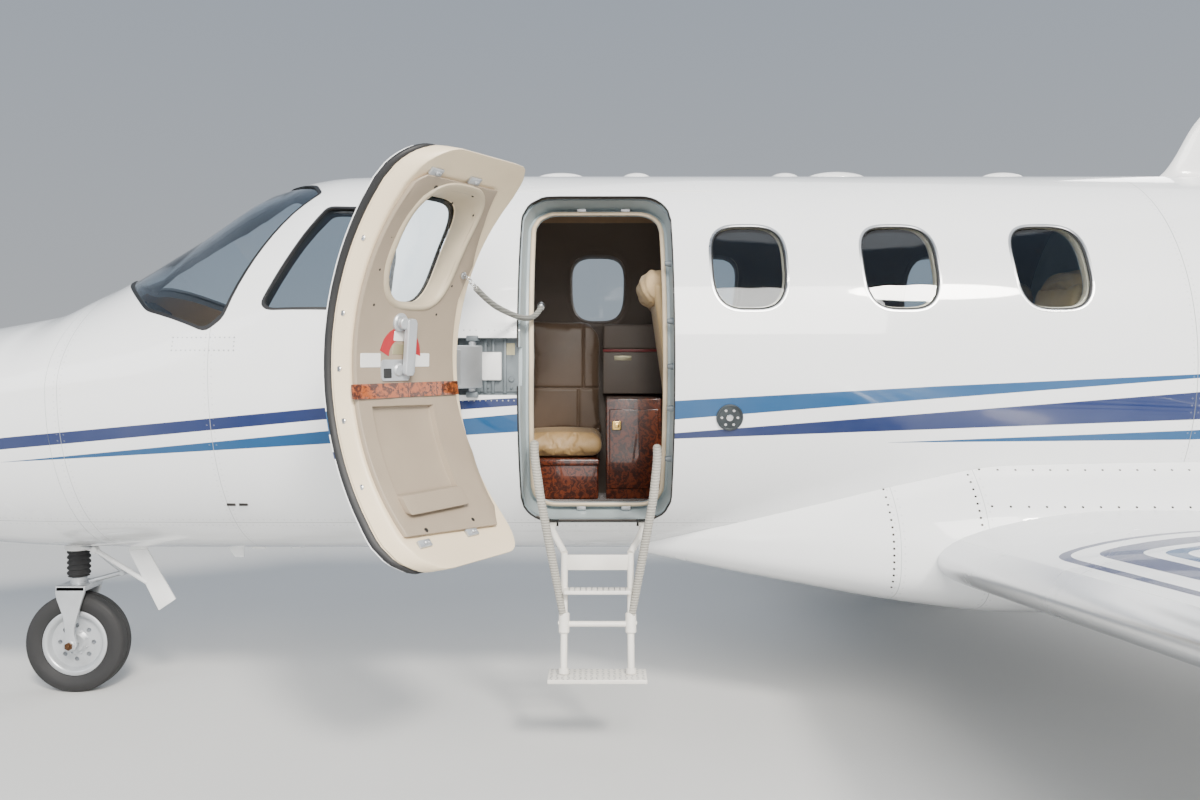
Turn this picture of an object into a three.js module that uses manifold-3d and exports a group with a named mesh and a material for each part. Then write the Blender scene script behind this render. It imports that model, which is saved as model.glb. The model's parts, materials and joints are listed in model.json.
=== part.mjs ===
// Light business jet with two fan engines, parked on its gear with the cabin door open.
// Millimetres. +X runs aft, +Y to starboard, +Z up. The origin is on the ground, under
// the middle of the bounding box.

import * as THREE from "three";
import { mergeVertices } from "three/addons/utils/BufferGeometryUtils.js";
import Module from "manifold-3d";

const wasm = await Module();
wasm.setup();

// Driving dimensions
const LENGTH = 12980;
const SPAN = 14260;
const NOSE_X = -LENGTH / 2;
const TAIL_X = LENGTH / 2;
const GAP = 0.3; // between pieces that sit on each other
const RUNNING_GAP = 6; // round moving surfaces
const WALL = 80; // whole thickness of cabin wall and door
const TAIL_WALL = 14;
const AROUND = 28; // facets round the fuselage
const WAIST_Z = 1530;

const NOSE_JOINT_X = -5750;
const COCKPIT_JOINT_X = -4660;
const CABIN_FRONT_X = -3100;
const CABIN_REAR_X = -200;
const BELLY_JOINT_Z = 820;
const CROWN_JOINT_Y = 330;
const FLOOR_Z = 868;

const DOORWAY = { front: -2805, rear: -2205, sill: 873, head: 2220, corner: 115 };
const DOOR_HINGE = { x: -2978, y: -831, low: 1420, high: 1612, open: 121.3 };
const HINGE_RECESS = { front: -3050, low: 1406, high: 1626, depth: 70 };
const WINDOW = { half: 147, low: 1734, high: 2080, first: -2500, pitch: 594 };

// Fuselage sections, nose to tail cone. The upper half is a superellipse of power "crown".
const FUSELAGE = {
  columns: ["x", "top", "waist", "bottom", "half", "crown"],
  rows: [
    [NOSE_X, 1205, 1170, 1135, 36, 2],
    [-6440, 1275, 1172, 1066, 108, 2],
    [-6300, 1375, 1185, 965, 225, 2],
    [-6050, 1490, 1215, 850, 368, 2],
    [-5700, 1587, 1265, 760, 510, 2],
    [-5290, 1672, 1330, 708, 625, 2],
    [-4950, 1732, 1385, 686, 700, 2],
    [-4866, 1750, 1400, 684, 715, 1.9],
    [COCKPIT_JOINT_X, 1860, 1430, 681, 748, 1.75],
    [-4614, 1884, 1437, 680, 754, 1.7],
    [-4300, 2090, 1475, 680, 786, 1.62],
    [-3914, 2320, 1510, 680, 812, 1.8],
    [-3600, 2372, WAIST_Z, 680, 824, 2],
    [-3200, 2380, WAIST_Z, 680, 825, 2],
    [300, 2380, WAIST_Z, 680, 825, 2],
    [900, 2378, 1535, 700, 812, 2],
    [1500, 2366, 1560, 770, 772, 2],
    [2200, 2348, 1620, 905, 690, 2],
    [3000, 2322, 1700, 1085, 565, 2],
    [3800, 2292, 1790, 1285, 428, 2],
    [4600, 2255, 1880, 1500, 298, 2],
    [5300, 2205, 1950, 1690, 185, 2],
    [5700, 2120, 1985, 1850, 95, 2],
  ],
};

// Fairing between belly and wings
const FAIRING = {
  columns: ["x", "half", "middle", "rise", "drop"],
  rows: [
    [-2320, 300, 760, 60, 85],
    [-2000, 520, 790, 150, 158],
    [-1600, 720, 800, 300, 225],
    [-1250, 850, 800, 430, 272],
    [-900, 930, 800, 520, 300],
    [0, 950, 800, 535, 305],
    [800, 930, 800, 520, 290],
    [1400, 800, 812, 430, 240],
    [2000, 560, 860, 250, 130],
    [2450, 300, 955, 90, 55],
  ],
};

// Lifting surfaces: one row for each section along the span
const WING = {
  columns: ["along", "nose", "chord", "height", "thickness"],
  rows: [
    [780, -1216, 2352, 768, 0.14],
    [6980, -966, 892, 1274, 0.12],
    [SPAN / 2, -900, 640, 1290, 0.07],
  ],
};
const TAILPLANE = {
  columns: ["along", "nose", "chord", "height", "thickness"],
  rows: [
    [0, 4960, 1420, 4105, 0.12],
    [2790, 5656, 834, 4105, 0.1],
    [2865, 5760, 720, 4105, 0.06],
  ],
};
const FIN = {
  columns: ["along", "nose", "chord", "height", "thickness"],
  rows: [
    [1980, 2820, 3030, 0, 0.075],
    [4110, 5000, 1180, 0, 0.11],
  ],
};

// Hinged surfaces: where along the span they run, share of the chord, and reach aft
const FLAP = { from: 1010, to: 3980, share: 0.76, reach: 900 };
const AILERON = { from: 4040, to: 6700, share: 0.76, reach: 700 };
const RUDDER = { from: 2345, to: 3800, share: 0.74, reach: 1000 };
const ELEVATOR = { half: 2780, x: 6060, radius: 43, reach: 700, notch: 130 };

const NACELLE = { x: 950, y: 1275, z: 2195, duct: 268, fan: 262, core: 1520, end: 3150 };
const MAIN_WHEEL = { x: -220, y: 1980, radius: 279.5, width: 197, rim: 150, axle: 26 };
const NOSE_WHEEL = { x: -4920, y: 0, radius: 228.5, width: 112, rim: 150, axle: 16 };
const WHEEL_FACETS = 24;
const COWL_FACETS = 20;

const COLOURS = {
  paint: { color: 0xf2f3f4, roughness: 0.22, metalness: 0 },
  glass: { color: 0x20262b, roughness: 0.05, metalness: 0 },
  leather: { color: 0x54453c, roughness: 0.55, metalness: 0 },
  beige: { color: 0xd8c9ae, roughness: 0.6, metalness: 0 },
  wood: { color: 0x6b3416, roughness: 0.2, metalness: 0 },
  carpet: { color: 0x3a2c24, roughness: 0.95, metalness: 0 },
  dark: { color: 0x16181a, roughness: 0.7, metalness: 0 },
  metal: { color: 0xb9bcbe, roughness: 0.35, metalness: 1 },
  rubber: { color: 0x151515, roughness: 0.85, metalness: 0 },
};

const part = new THREE.Group();
const vector = (x, y, z) => new THREE.Vector3(x, y, z);
const rowsOf = (table) =>
  table.rows.map((row) => Object.fromEntries(row.map((value, i) => [table.columns[i], value])));

// Turns a closed three.js geometry into a solid that can be joined and cut
function solid(geometry) {
  const open = geometry.index ? geometry.toNonIndexed() : geometry;
  const bare = new THREE.BufferGeometry().setAttribute("position", open.getAttribute("position"));
  const merged = mergeVertices(bare, 1e-3);
  const index = merged.index.array;
  const kept = [];
  for (let i = 0; i < index.length; i += 3) {
    const [a, b, c] = index.slice(i, i + 3);
    if (a !== b && b !== c && c !== a) kept.push(a, b, c);
  }
  return new wasm.Manifold(
    new wasm.Mesh({
      numProp: 3,
      vertProperties: merged.attributes.position.array,
      triVerts: new Uint32Array(kept),
    }),
  );
}

function geometryOf(body) {
  const mesh = body.getMesh();
  return new THREE.BufferGeometry()
    .setAttribute("position", new THREE.BufferAttribute(new Float32Array(mesh.vertProperties), 3))
    .setIndex(new THREE.BufferAttribute(new Uint32Array(mesh.triVerts), 1));
}

// The same solid on the other side of the middle plane
function mirrored(body) {
  const geometry = geometryOf(body).scale(1, -1, 1);
  const index = geometry.index.array;
  for (let i = 0; i < index.length; i += 3) [index[i + 1], index[i + 2]] = [index[i + 2], index[i + 1]];
  return solid(geometry);
}

function moved(body, x, y, z) {
  return solid(geometryOf(body).translate(x, y, z));
}

const joined = (...bodies) => bodies.reduce((whole, body) => whole.add(body));
const cut = (body, ...tools) => tools.reduce((rest, tool) => rest.subtract(tool), body);

function box(x0, x1, y0, y1, z0, z1) {
  const shape = new THREE.BoxGeometry(x1 - x0, y1 - y0, z1 - z0);
  return solid(shape.translate((x0 + x1) / 2, (y0 + y1) / 2, (z0 + z1) / 2));
}

// A solid through rings that all have the same number of points
function loft(rings) {
  const count = rings[0].length;
  const points = rings.flat();
  const faces = [];
  for (let ring = 0; ring < rings.length - 1; ring += 1) {
    for (let i = 0; i < count; i += 1) {
      const [a, b] = [ring * count + i, ring * count + ((i + 1) % count)];
      faces.push(a, b, b + count, a, b + count, a + count);
    }
  }
  for (const [first, ring] of [[0, rings[0]], [points.length - count, rings.at(-1)]]) {
    const middle = points.length;
    points.push(ring.reduce((sum, p) => sum.add(p), vector(0, 0, 0)).divideScalar(count));
    for (let i = 0; i < count; i += 1) {
      const [a, b] = [first + i, first + ((i + 1) % count)];
      faces.push(...(first === 0 ? [middle, b, a] : [middle, a, b]));
    }
  }
  const geometry = new THREE.BufferGeometry().setFromPoints(points);
  geometry.setIndex(volumeOf(points, faces) > 0 ? faces : faces.reverse());
  return solid(geometry);
}

function volumeOf(points, faces) {
  let volume = 0;
  for (let i = 0; i < faces.length; i += 3) {
    const [a, b, c] = faces.slice(i, i + 3).map((k) => points[k]);
    volume += a.dot(b.clone().cross(c)) / 6;
  }
  return volume;
}

// A round bar between two points
function rod(a, b, radius, sides = 10, farRadius = radius) {
  const length = a.distanceTo(b);
  const shape = new THREE.CylinderGeometry(farRadius, radius, length, sides);
  shape.applyQuaternion(
    new THREE.Quaternion().setFromUnitVectors(vector(0, 1, 0), b.clone().sub(a).normalize()),
  );
  const middle = a.clone().add(b).divideScalar(2);
  return solid(shape.translate(middle.x, middle.y, middle.z));
}

// A solid of revolution from [radius, along] pairs, about X or Y
function turned(profile, facets, axis, at) {
  const points = profile.map(([radius, along]) => new THREE.Vector2(radius, along));
  const shape = new THREE.LatheGeometry(points, facets, Math.PI / facets);
  if (axis === "x") shape.rotateZ(-Math.PI / 2);
  shape.translate(at.x, at.y, at.z);
  const body = solid(shape);
  return body.volume() > 0 ? body : turned(profile.slice().reverse(), facets, axis, at);
}

// A plate with an outline of [x, z] points between two values of y
function plate(outline, y0, y1) {
  return loft([y0, y1].map((y) => outline.map(([x, z]) => vector(x, y, z))));
}

// A rectangle with round corners, as [x, z] pairs, with more points up its sides if asked
function roundedOutline(x0, x1, z0, z1, radius, steps = 4, sideSteps = 1) {
  const corners = [
    [x1 - radius, z1 - radius, 0],
    [x0 + radius, z1 - radius, 90],
    [x0 + radius, z0 + radius, 180],
    [x1 - radius, z0 + radius, 270],
  ];
  return corners.flatMap(([x, z, start], corner) => {
    const arc = Array.from({ length: steps + 1 }, (_, i) => {
      const angle = THREE.MathUtils.degToRad(start + (90 * i) / steps);
      return [x + radius * Math.cos(angle), z + radius * Math.sin(angle)];
    });
    if (corner % 2 === 0) return arc;
    const [edge, from] = arc.at(-1);
    const to = z0 + z1 - from;
    const side = Array.from({ length: sideSteps - 1 }, (_, i) => [edge, from + ((to - from) * (i + 1)) / sideSteps]);
    return [...arc, ...side];
  });
}

// Fuselage

const STATIONS = rowsOf(FUSELAGE);

function sectionAt(x) {
  const after = STATIONS.findIndex((row) => row.x >= x);
  const b = STATIONS[after];
  const a = STATIONS[Math.max(after - 1, 0)];
  const share = b.x === a.x ? 0 : (x - a.x) / (b.x - a.x);
  const mix = (key) => a[key] + (b[key] - a[key]) * share;
  return Object.fromEntries(["top", "waist", "bottom", "half", "crown"].map((key) => [key, mix(key)]));
}

function sectionRing(x, inset) {
  const row = sectionAt(x);
  return Array.from({ length: AROUND }, (_, i) => {
    const angle = (2 * Math.PI * i) / AROUND;
    const upper = Math.sin(angle) > 0;
    const height = (upper ? row.top - row.waist : row.waist - row.bottom) - inset;
    const bend = (value) => Math.sign(value) * Math.abs(value) ** (upper ? 2 / row.crown : 1);
    return vector(x, (row.half - inset) * bend(Math.cos(angle)), row.waist + height * bend(Math.sin(angle)));
  });
}

// The fuselage between two stations, drawn in by inset all round
function hull(x0, x1, inset = 0) {
  const between = STATIONS.map((row) => row.x).filter((x) => x > x0 + 1 && x < x1 - 1);
  return loft([x0, ...between, x1].map((x) => sectionRing(x, inset)));
}

// Half width of the skin at a height
function skinY(x, z) {
  const row = sectionAt(x);
  const height = z > row.waist ? row.top - row.waist : row.waist - row.bottom;
  const power = z > row.waist ? row.crown : 2;
  return row.half * Math.max(0, 1 - (Math.abs(z - row.waist) / height) ** power) ** (1 / power);
}

// Windows

const BOTH_SIDES = [["port", -1], ["starboard", 1]];
const FAR = 1200; // past the skin

function windowOutline(middleX, shrink = 0) {
  const steps = 16;
  const halfHeight = (WINDOW.high - WINDOW.low) / 2 - shrink;
  const middleZ = (WINDOW.high + WINDOW.low) / 2;
  return Array.from({ length: steps }, (_, i) => {
    const angle = (2 * Math.PI * (i + 0.5)) / steps;
    const [c, s] = [Math.cos(angle), Math.sin(angle)];
    const across = (WINDOW.half - shrink) * Math.sign(c) * Math.abs(c) ** 0.62 * (1 + 0.05 * s);
    return [middleX + across, middleZ + halfHeight * Math.sign(s) * Math.abs(s) ** 0.62];
  });
}

function windowHole(middleX, side, shrink = 0) {
  return plate(windowOutline(middleX, shrink), side * 300, side * FAR);
}

const GLASS_OUTER = 10; // depth of the glass below the skin
const GLASS_INNER = 28;

function pane(middleX, side) {
  const [x0, x1] = [middleX - 200, middleX + 200];
  const sheet = cut(hull(x0, x1, GLASS_OUTER), hull(x0 - 1, x1 + 1, GLASS_INNER));
  return sheet.intersect(windowHole(middleX, side, GAP));
}

const windowX = (number) => WINDOW.first + number * WINDOW.pitch;

// A hole through the skin along a direction, from corners that lie on the port skin
function slantedHole(corners, direction, shrink = 0) {
  const middle = corners.reduce((sum, p) => sum.add(p), vector(0, 0, 0)).divideScalar(corners.length);
  const drawn = corners.map((p) => p.clone().add(middle.clone().sub(p).setLength(shrink)));
  return loft([-330, 330].map((reach) => drawn.map((p) => p.clone().addScaledVector(direction, reach))));
}

const onSkin = (x, z) => vector(x, -skinY(x, z), z);
const WINDSHIELD_CORNERS = [
  vector(-4606, -28, 1890),
  vector(-4470, -390, 1830),
  onSkin(-4304, 1738),
  onSkin(-4024, 1652),
  onSkin(-3955, 1708),
  onSkin(-3668, 2245),
  vector(-3720, -300, 2292),
  vector(-3914, -28, 2316),
];
const WINDSHIELD_SIGHT = vector(-0.45, -0.55, 0.7).normalize();
const SIDE_WINDOW_CORNERS = [
  onSkin(-3808, 1762),
  onSkin(-3780, 1735),
  onSkin(-3360, 1735),
  onSkin(-3305, 1790),
  onSkin(-3300, 1960),
  onSkin(-3345, 2110),
  onSkin(-3420, 2165),
  onSkin(-3610, 2172),
];
const SIDE_SIGHT = vector(0, -0.93, 0.36).normalize();

const cockpitSheet = cut(hull(-4650, CABIN_FRONT_X - 20, GLASS_OUTER), hull(-4652, CABIN_FRONT_X, GLASS_INNER));
const windshieldPort = cockpitSheet.intersect(slantedHole(WINDSHIELD_CORNERS, WINDSHIELD_SIGHT, 2 * GAP));
const sideWindowPort = cockpitSheet.intersect(slantedHole(SIDE_WINDOW_CORNERS, SIDE_SIGHT, 2 * GAP));
const windshieldHole = slantedHole(WINDSHIELD_CORNERS, WINDSHIELD_SIGHT);
const sideWindowHole = slantedHole(SIDE_WINDOW_CORNERS, SIDE_SIGHT);

// Shells

function noseCone() {
  return hull(NOSE_X, NOSE_JOINT_X - GAP / 2);
}

const WELL = { front: -5330, rear: -4800, half: 130, roof: 1000 };

function noseSection() {
  const shell = hull(NOSE_JOINT_X + GAP / 2, COCKPIT_JOINT_X - GAP / 2);
  return cut(shell, box(WELL.front, WELL.rear, -WELL.half, WELL.half, 500, WELL.roof));
}

const BLADE = { x: -4240, root: 90, tip: 40, drop: 66, half: 4 };

function bellyBlade() {
  const outline = [
    [BLADE.x, 720],
    [BLADE.x + BLADE.root, 720],
    [BLADE.x + BLADE.root, 684 - BLADE.drop],
    [BLADE.x + BLADE.root - BLADE.tip, 684 - BLADE.drop],
    [BLADE.x, 684],
  ];
  return plate(outline, -BLADE.half, BLADE.half);
}

const COCKPIT_BULKHEAD_X = -4600;
const JACK_PAD = { wingX: -620, wingY: 2400, wingZ: 772, noseX: -3900, noseZ: 664, radius: 35 };
const jackPad = (x, y, low, high) => rod(vector(x, y, high), vector(x, y, low), JACK_PAD.radius, 12);

function cockpitShell() {
  const pad = jackPad(JACK_PAD.noseX, 0, JACK_PAD.noseZ, 720);
  const shell = joined(hull(COCKPIT_JOINT_X + GAP / 2, CABIN_FRONT_X - GAP / 2), bellyBlade(), pad);
  const inside = hull(COCKPIT_BULKHEAD_X, CABIN_FRONT_X + 50, WALL);
  const holes = [windshieldHole, sideWindowHole].flatMap((hole) => [hole, mirrored(hole)]);
  return cut(shell, inside, ...holes);
}

const ANTENNAS = {
  columns: ["x", "length", "half", "height"],
  rows: [
    [-2672, 235, 50, 32],
    [-2320, 140, 55, 32],
    [-1630, 140, 55, 32],
    [-1390, 280, 75, 36],
    [-615, 210, 50, 34],
  ],
};

function antennaBlisters() {
  return rowsOf(ANTENNAS).map(({ x, length, half, height }) => {
    const shape = new THREE.SphereGeometry(1, 10, 6).rotateX(Math.PI / 2);
    return solid(shape.scale(length / 2, half, height + 8).translate(x, 0, 2372));
  });
}

const cabinBarrel = cut(
  hull(CABIN_FRONT_X + GAP / 2, CABIN_REAR_X - GAP / 2),
  hull(CABIN_FRONT_X - 50, CABIN_REAR_X + 50, WALL),
);
const CROWN_BOX = [CABIN_FRONT_X - 99, CABIN_REAR_X + 99, -CROWN_JOINT_Y, CROWN_JOINT_Y, WAIST_Z, 2600];

function cabinCrown() {
  return joined(cabinBarrel.intersect(box(...CROWN_BOX)), ...antennaBlisters());
}

function cabinBelly() {
  return cabinBarrel.intersect(box(-4000, 0, -FAR, FAR, 400, BELLY_JOINT_Z - GAP));
}

const doorwayOutline = roundedOutline(
  DOORWAY.front,
  DOORWAY.rear,
  DOORWAY.sill,
  DOORWAY.head,
  DOORWAY.corner,
);

// The steps' arms cross the sill in two notches, below the shut door
const STEPS = { arm: 184, rail: 130, x: -2500, notch: 22, armLow: 853, armHigh: 866 };

function cabinSide(side) {
  const reach = [[CROWN_JOINT_Y + GAP, FAR], [-FAR, -CROWN_JOINT_Y - GAP]][side > 0 ? 0 : 1];
  const upper = box(-4000, 0, ...reach, WAIST_Z, 2600);
  const lower = box(-4000, 0, ...(side > 0 ? [100, FAR] : [-FAR, -100]), BELLY_JOINT_Z, WAIST_Z);
  return cabinBarrel.intersect(joined(upper, lower));
}

function cabinSideStarboard() {
  return cut(cabinSide(1), ...[0, 1, 2, 3].map((number) => windowHole(windowX(number), 1)));
}

function cabinSidePort() {
  const recess = box(
    HINGE_RECESS.front,
    DOORWAY.front + 5,
    -FAR,
    -(825 - HINGE_RECESS.depth),
    HINGE_RECESS.low,
    HINGE_RECESS.high,
  );
  const notches = [-1, 1].map((hand) => {
    const x = STEPS.x + hand * STEPS.arm;
    return box(x - STEPS.notch, x + STEPS.notch, -FAR, -300, STEPS.armLow - RUNNING_GAP, 900);
  });
  const lugs = [
    [HINGE_RECESS.low - 8, DOOR_HINGE.low - GAP],
    [DOOR_HINGE.high + GAP, HINGE_RECESS.high + 8],
  ].map(([low, high]) => box(DOOR_HINGE.x - 22, DOOR_HINGE.x + 22, DOOR_HINGE.y - 17, -750, low, high));
  return cut(
    joined(cut(cabinSide(-1), recess), ...lugs),
    plate(doorwayOutline, -FAR, -250),
    ...notches,
    ...[1, 2, 3].map((number) => windowHole(windowX(number), -1)),
  );
}

const CROWN_FIN = {
  columns: ["z", "nose", "chord", "half"],
  rows: [
    [2360, 60, 640, 34],
    [2400, 130, 560, 22],
    [2640, 285, 330, 14],
    [2690, 330, 250, 6],
  ],
};

function crownFin() {
  return loft(
    rowsOf(CROWN_FIN).map(({ z, nose, chord, half }) => {
      const share = [[0, 0], [0.25, 1], [0.7, 0.8], [1, 0.1], [1, -0.1], [0.7, -0.8], [0.25, -1]];
      return share.map(([along, across]) => vector(nose + along * chord, across * half, z));
    }),
  );
}

function aftFuselage() {
  const shell = joined(hull(CABIN_REAR_X + GAP / 2, 5700), crownFin());
  const inside = hull(CABIN_REAR_X + 30, 5300, TAIL_WALL);
  const hatch = box(CABIN_REAR_X - 50, CABIN_REAR_X + 60, -250, 250, 1000, 1900);
  return cut(shell, inside, hatch);
}

function fairingBody(grow = 0) {
  const facets = 28;
  const power = (value, exponent) => Math.sign(value) * Math.abs(value) ** exponent;
  return loft(
    rowsOf(FAIRING).map(({ x, half, middle, rise, drop }) =>
      Array.from({ length: facets }, (_, i) => {
        const angle = (2 * Math.PI * i) / facets;
        const [c, s] = [Math.cos(angle), Math.sin(angle)];
        const exponent = s > 0 ? 1 : 0.62;
        const height = (s > 0 ? rise : drop) + grow;
        return vector(x, (half + grow) * power(c, exponent), middle + height * power(s, exponent));
      }),
    ),
  );
}

function wingFairing() {
  return cut(fairingBody(), hull(-2600, 2700, -GAP));
}

// Lifting surfaces

// Closed outline of an aerofoil as [along, across] pairs, with a blunt rear edge
function aerofoil(chord, thickness, camber) {
  const steps = 9;
  const side = (sign) =>
    Array.from({ length: steps }, (_, i) => {
      const u = (1 - Math.cos((Math.PI * (i + (sign > 0 ? 0 : 1))) / steps)) / 2;
      return [u * chord, camberAt(u, camber) * chord + sign * halfThickness(u, thickness) * chord];
    });
  return [...side(1).reverse(), ...side(-1)].concat([[chord, 2]]);
}

const camberAt = (u, camber) => 4 * camber * u * (1 - u);

function halfThickness(u, thickness) {
  const shape = 0.2969 * Math.sqrt(u) - 0.126 * u - 0.3516 * u ** 2 + 0.2843 * u ** 3 - 0.1036 * u ** 4;
  return 5 * thickness * shape + 0.0015 * u;
}

function surfaceRow(table, along) {
  const rows = rowsOf(table);
  const [a, b] = rows;
  const share = (along - a.along) / (b.along - a.along);
  const mix = (key) => a[key] + (b[key] - a[key]) * share;
  return { nose: mix("nose"), chord: mix("chord"), height: mix("height"), thickness: mix("thickness") };
}

// Both ends of a hinge line, with the nose radius of the moving piece at each
function hingeOf(table, camber, { from, to, share }, place) {
  return [from, to].map((along) => {
    const row = surfaceRow(table, along);
    const x = row.nose + share * row.chord;
    const height = row.height + camberAt(share, camber) * row.chord;
    return { point: place(x, height, along), radius: halfThickness(share, row.thickness) * row.chord };
  });
}

// A ring of [aft, across] pairs in the plane square to a hinge line
function hingeRings(hinge, outline, overrun) {
  const [a, b] = hinge;
  const line = b.point.clone().sub(a.point).normalize();
  const aft = vector(1, 0, 0).addScaledVector(line, -line.x).normalize();
  const across = line.clone().cross(aft);
  return [[a, -overrun], [b, overrun]].map(([end, past]) =>
    outline(end.radius).map(([u, v]) =>
      end.point.clone().addScaledVector(line, past).addScaledVector(aft, u).addScaledVector(across, v),
    ),
  );
}

const TALL = 160; // more than any surface is thick
const COVE_STEPS = 8;
const FITTING = { places: [0.08, 0.5, 0.92], width: 40 };

// Short noses on the moving piece that ride in the cove
function hingeFittings(hinge) {
  const [a, b] = hinge;
  const length = a.point.distanceTo(b.point);
  const step = Math.PI / COVE_STEPS;
  const outline = (radius) => {
    const reach = (radius + RUNNING_GAP) * Math.cos(step / 2) - GAP;
    const nose = [-1.5, -0.5, 0.5, 1.5].map((turn) => Math.PI + turn * step);
    return [...nose.map((angle) => [reach * Math.cos(angle), reach * Math.sin(angle)]), [0, 0]];
  };
  const endAt = (share) => ({
    point: a.point.clone().lerp(b.point, share),
    radius: a.radius + (b.radius - a.radius) * share,
  });
  return FITTING.places.map((share) => {
    const reach = FITTING.width / 2 / length;
    return loft(hingeRings([endAt(share - reach), endAt(share + reach)], outline, 0));
  });
}

function hingedSplit(surface, hinge, reach, lowerLip = 0) {
  const slab = () => [[0, -TALL], [reach, -TALL], [reach, TALL], [0, TALL]];
  const cove = (radius) => {
    const arc = Array.from({ length: COVE_STEPS + 1 }, (_, i) => {
      const angle = Math.PI / 2 + (Math.PI * i) / COVE_STEPS;
      return [(radius + RUNNING_GAP) * Math.cos(angle), (radius + RUNNING_GAP) * Math.sin(angle)];
    });
    return [[0, TALL], ...arc, ...slab().slice(0, 3)];
  };
  const round = (radius) =>
    Array.from({ length: 16 }, (_, i) => {
      const angle = (2 * Math.PI * i) / 16;
      return [0.985 * radius * Math.cos(angle), 0.985 * radius * Math.sin(angle)];
    });
  const lip = (radius) => {
    const front = -lowerLip * radius - RUNNING_GAP;
    return [[front, -TALL], [1, -TALL], [1, -0.4 * radius], [front, -0.4 * radius]];
  };
  const moving = joined(
    surface.intersect(loft(hingeRings(hinge, slab, 0))),
    loft(hingeRings(hinge, round, 0)),
    ...hingeFittings(hinge),
  );
  let fixed = surface.subtract(loft(hingeRings(hinge, cove, RUNNING_GAP)));
  if (lowerLip) fixed = fixed.subtract(loft(hingeRings(hinge, lip, RUNNING_GAP)));
  return { moving, fixed };
}

const WING_CAMBER = 0.018;
const wingPoint = (x, height, along) => vector(x, along, height);
const finPoint = (x, height, along) => vector(x, height, along);

function surfaceBody(table, camber, place) {
  return loft(
    rowsOf(table).map(({ along, nose, chord, height, thickness }) =>
      aerofoil(chord, thickness, camber).map(([u, v]) => place(nose + u, height + v, along)),
    ),
  );
}

function wingPieces() {
  const whole = surfaceBody(WING, WING_CAMBER, wingPoint).subtract(fairingBody(GAP)).subtract(hull(-2000, 2000, -1));
  const flapHinge = hingeOf(WING, WING_CAMBER, FLAP, wingPoint);
  const aileronHinge = hingeOf(WING, WING_CAMBER, AILERON, wingPoint);
  const flap = hingedSplit(whole, flapHinge, FLAP.reach, 0.8);
  const aileron = hingedSplit(flap.fixed, aileronHinge, AILERON.reach);
  const pad = jackPad(JACK_PAD.wingX, JACK_PAD.wingY, JACK_PAD.wingZ, 900);
  return { wing: aileron.fixed.add(pad), flap: flap.moving, aileron: aileron.moving };
}

function tailplanePieces() {
  const half = surfaceBody(TAILPLANE, 0, wingPoint);
  const whole = half.add(mirrored(half));
  const hinge = [-1, 1].map((hand) => ({
    point: vector(ELEVATOR.x, hand * ELEVATOR.half, 4105),
    radius: ELEVATOR.radius,
  }));
  const { moving, fixed } = hingedSplit(whole, hinge, ELEVATOR.reach);
  const notch = box(ELEVATOR.x + 26, TAIL_X + 99, -ELEVATOR.notch, ELEVATOR.notch, 3900, 4300);
  return { tailplane: fixed, elevator: cut(moving, notch) };
}

function finPieces() {
  const whole = cut(surfaceBody(FIN, 0, finPoint), hull(2000, 5700, -GAP));
  const hinge = hingeOf(FIN, 0, RUDDER, finPoint);
  const { moving, fixed } = hingedSplit(whole, hinge, RUDDER.reach);
  const half = surfaceBody(TAILPLANE, 0, wingPoint);
  const seat = moved(half.add(mirrored(half)), 0, 0, -GAP);
  const rearRoom = box(ELEVATOR.x - 70, 7000, -FAR, FAR, 3950, 4400);
  return { fin: cut(fixed, seat, rearRoom, box(2000, 7000, -FAR, FAR, 4100, 4400)), rudder: moving };
}

// Engines

const NACELLE_PROFILE = [
  [275, 950],
  [302, 985],
  [330, 1100],
  [352, 1500],
  [346, 2100],
  [303, 2700],
  [236, 3150],
  [222, 3150],
  [NACELLE.duct, 2700],
  [NACELLE.duct, 1300],
  [258, 1050],
  [258, 985],
  [275, 950],
];
const COWL_ROOM = [[0, 900], [285, 900], [285, 2690], [229, 3160], [0, 3160]];
const PYLON = {
  columns: ["y", "nose", "chord", "z", "half"],
  rows: [
    [380, 1330, 1780, 2140, 62],
    [1060, 1400, 1500, 2185, 62],
  ],
};

function nacelle() {
  const at = vector(0, NACELLE.y, NACELLE.z);
  const cowl = turned(NACELLE_PROFILE, COWL_FACETS, "x", at);
  const pylon = loft(
    rowsOf(PYLON).map(({ y, nose, chord, z, half }) => {
      const share = [[0, 0], [0.08, 0.75], [0.35, 1], [0.75, 0.7], [1, 0.08]];
      const lower = share.slice(1).reverse().map(([u, v]) => [u, -v]);
      return [...share, ...lower].map(([u, v]) => vector(nose + u * chord, y, z + v * half));
    }),
  );
  const room = turned(COWL_ROOM, COWL_FACETS, "x", at);
  return joined(cowl, cut(pylon, hull(900, 3600, -GAP), room));
}

function engineCore() {
  const block = NACELLE.duct - GAP;
  const profile = [
    [0, NACELLE.core],
    [block, NACELLE.core],
    [block, 2690],
    [196, 2700],
    [168, 2960],
    [60, 3190],
    [0, 3190],
  ];
  return turned(profile, COWL_FACETS, "x", vector(0, NACELLE.y, NACELLE.z));
}

const FAN = { tip: 1285, front: 1400, rear: 1460, hub: 78, blades: 16, pitch: 52 };

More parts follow.
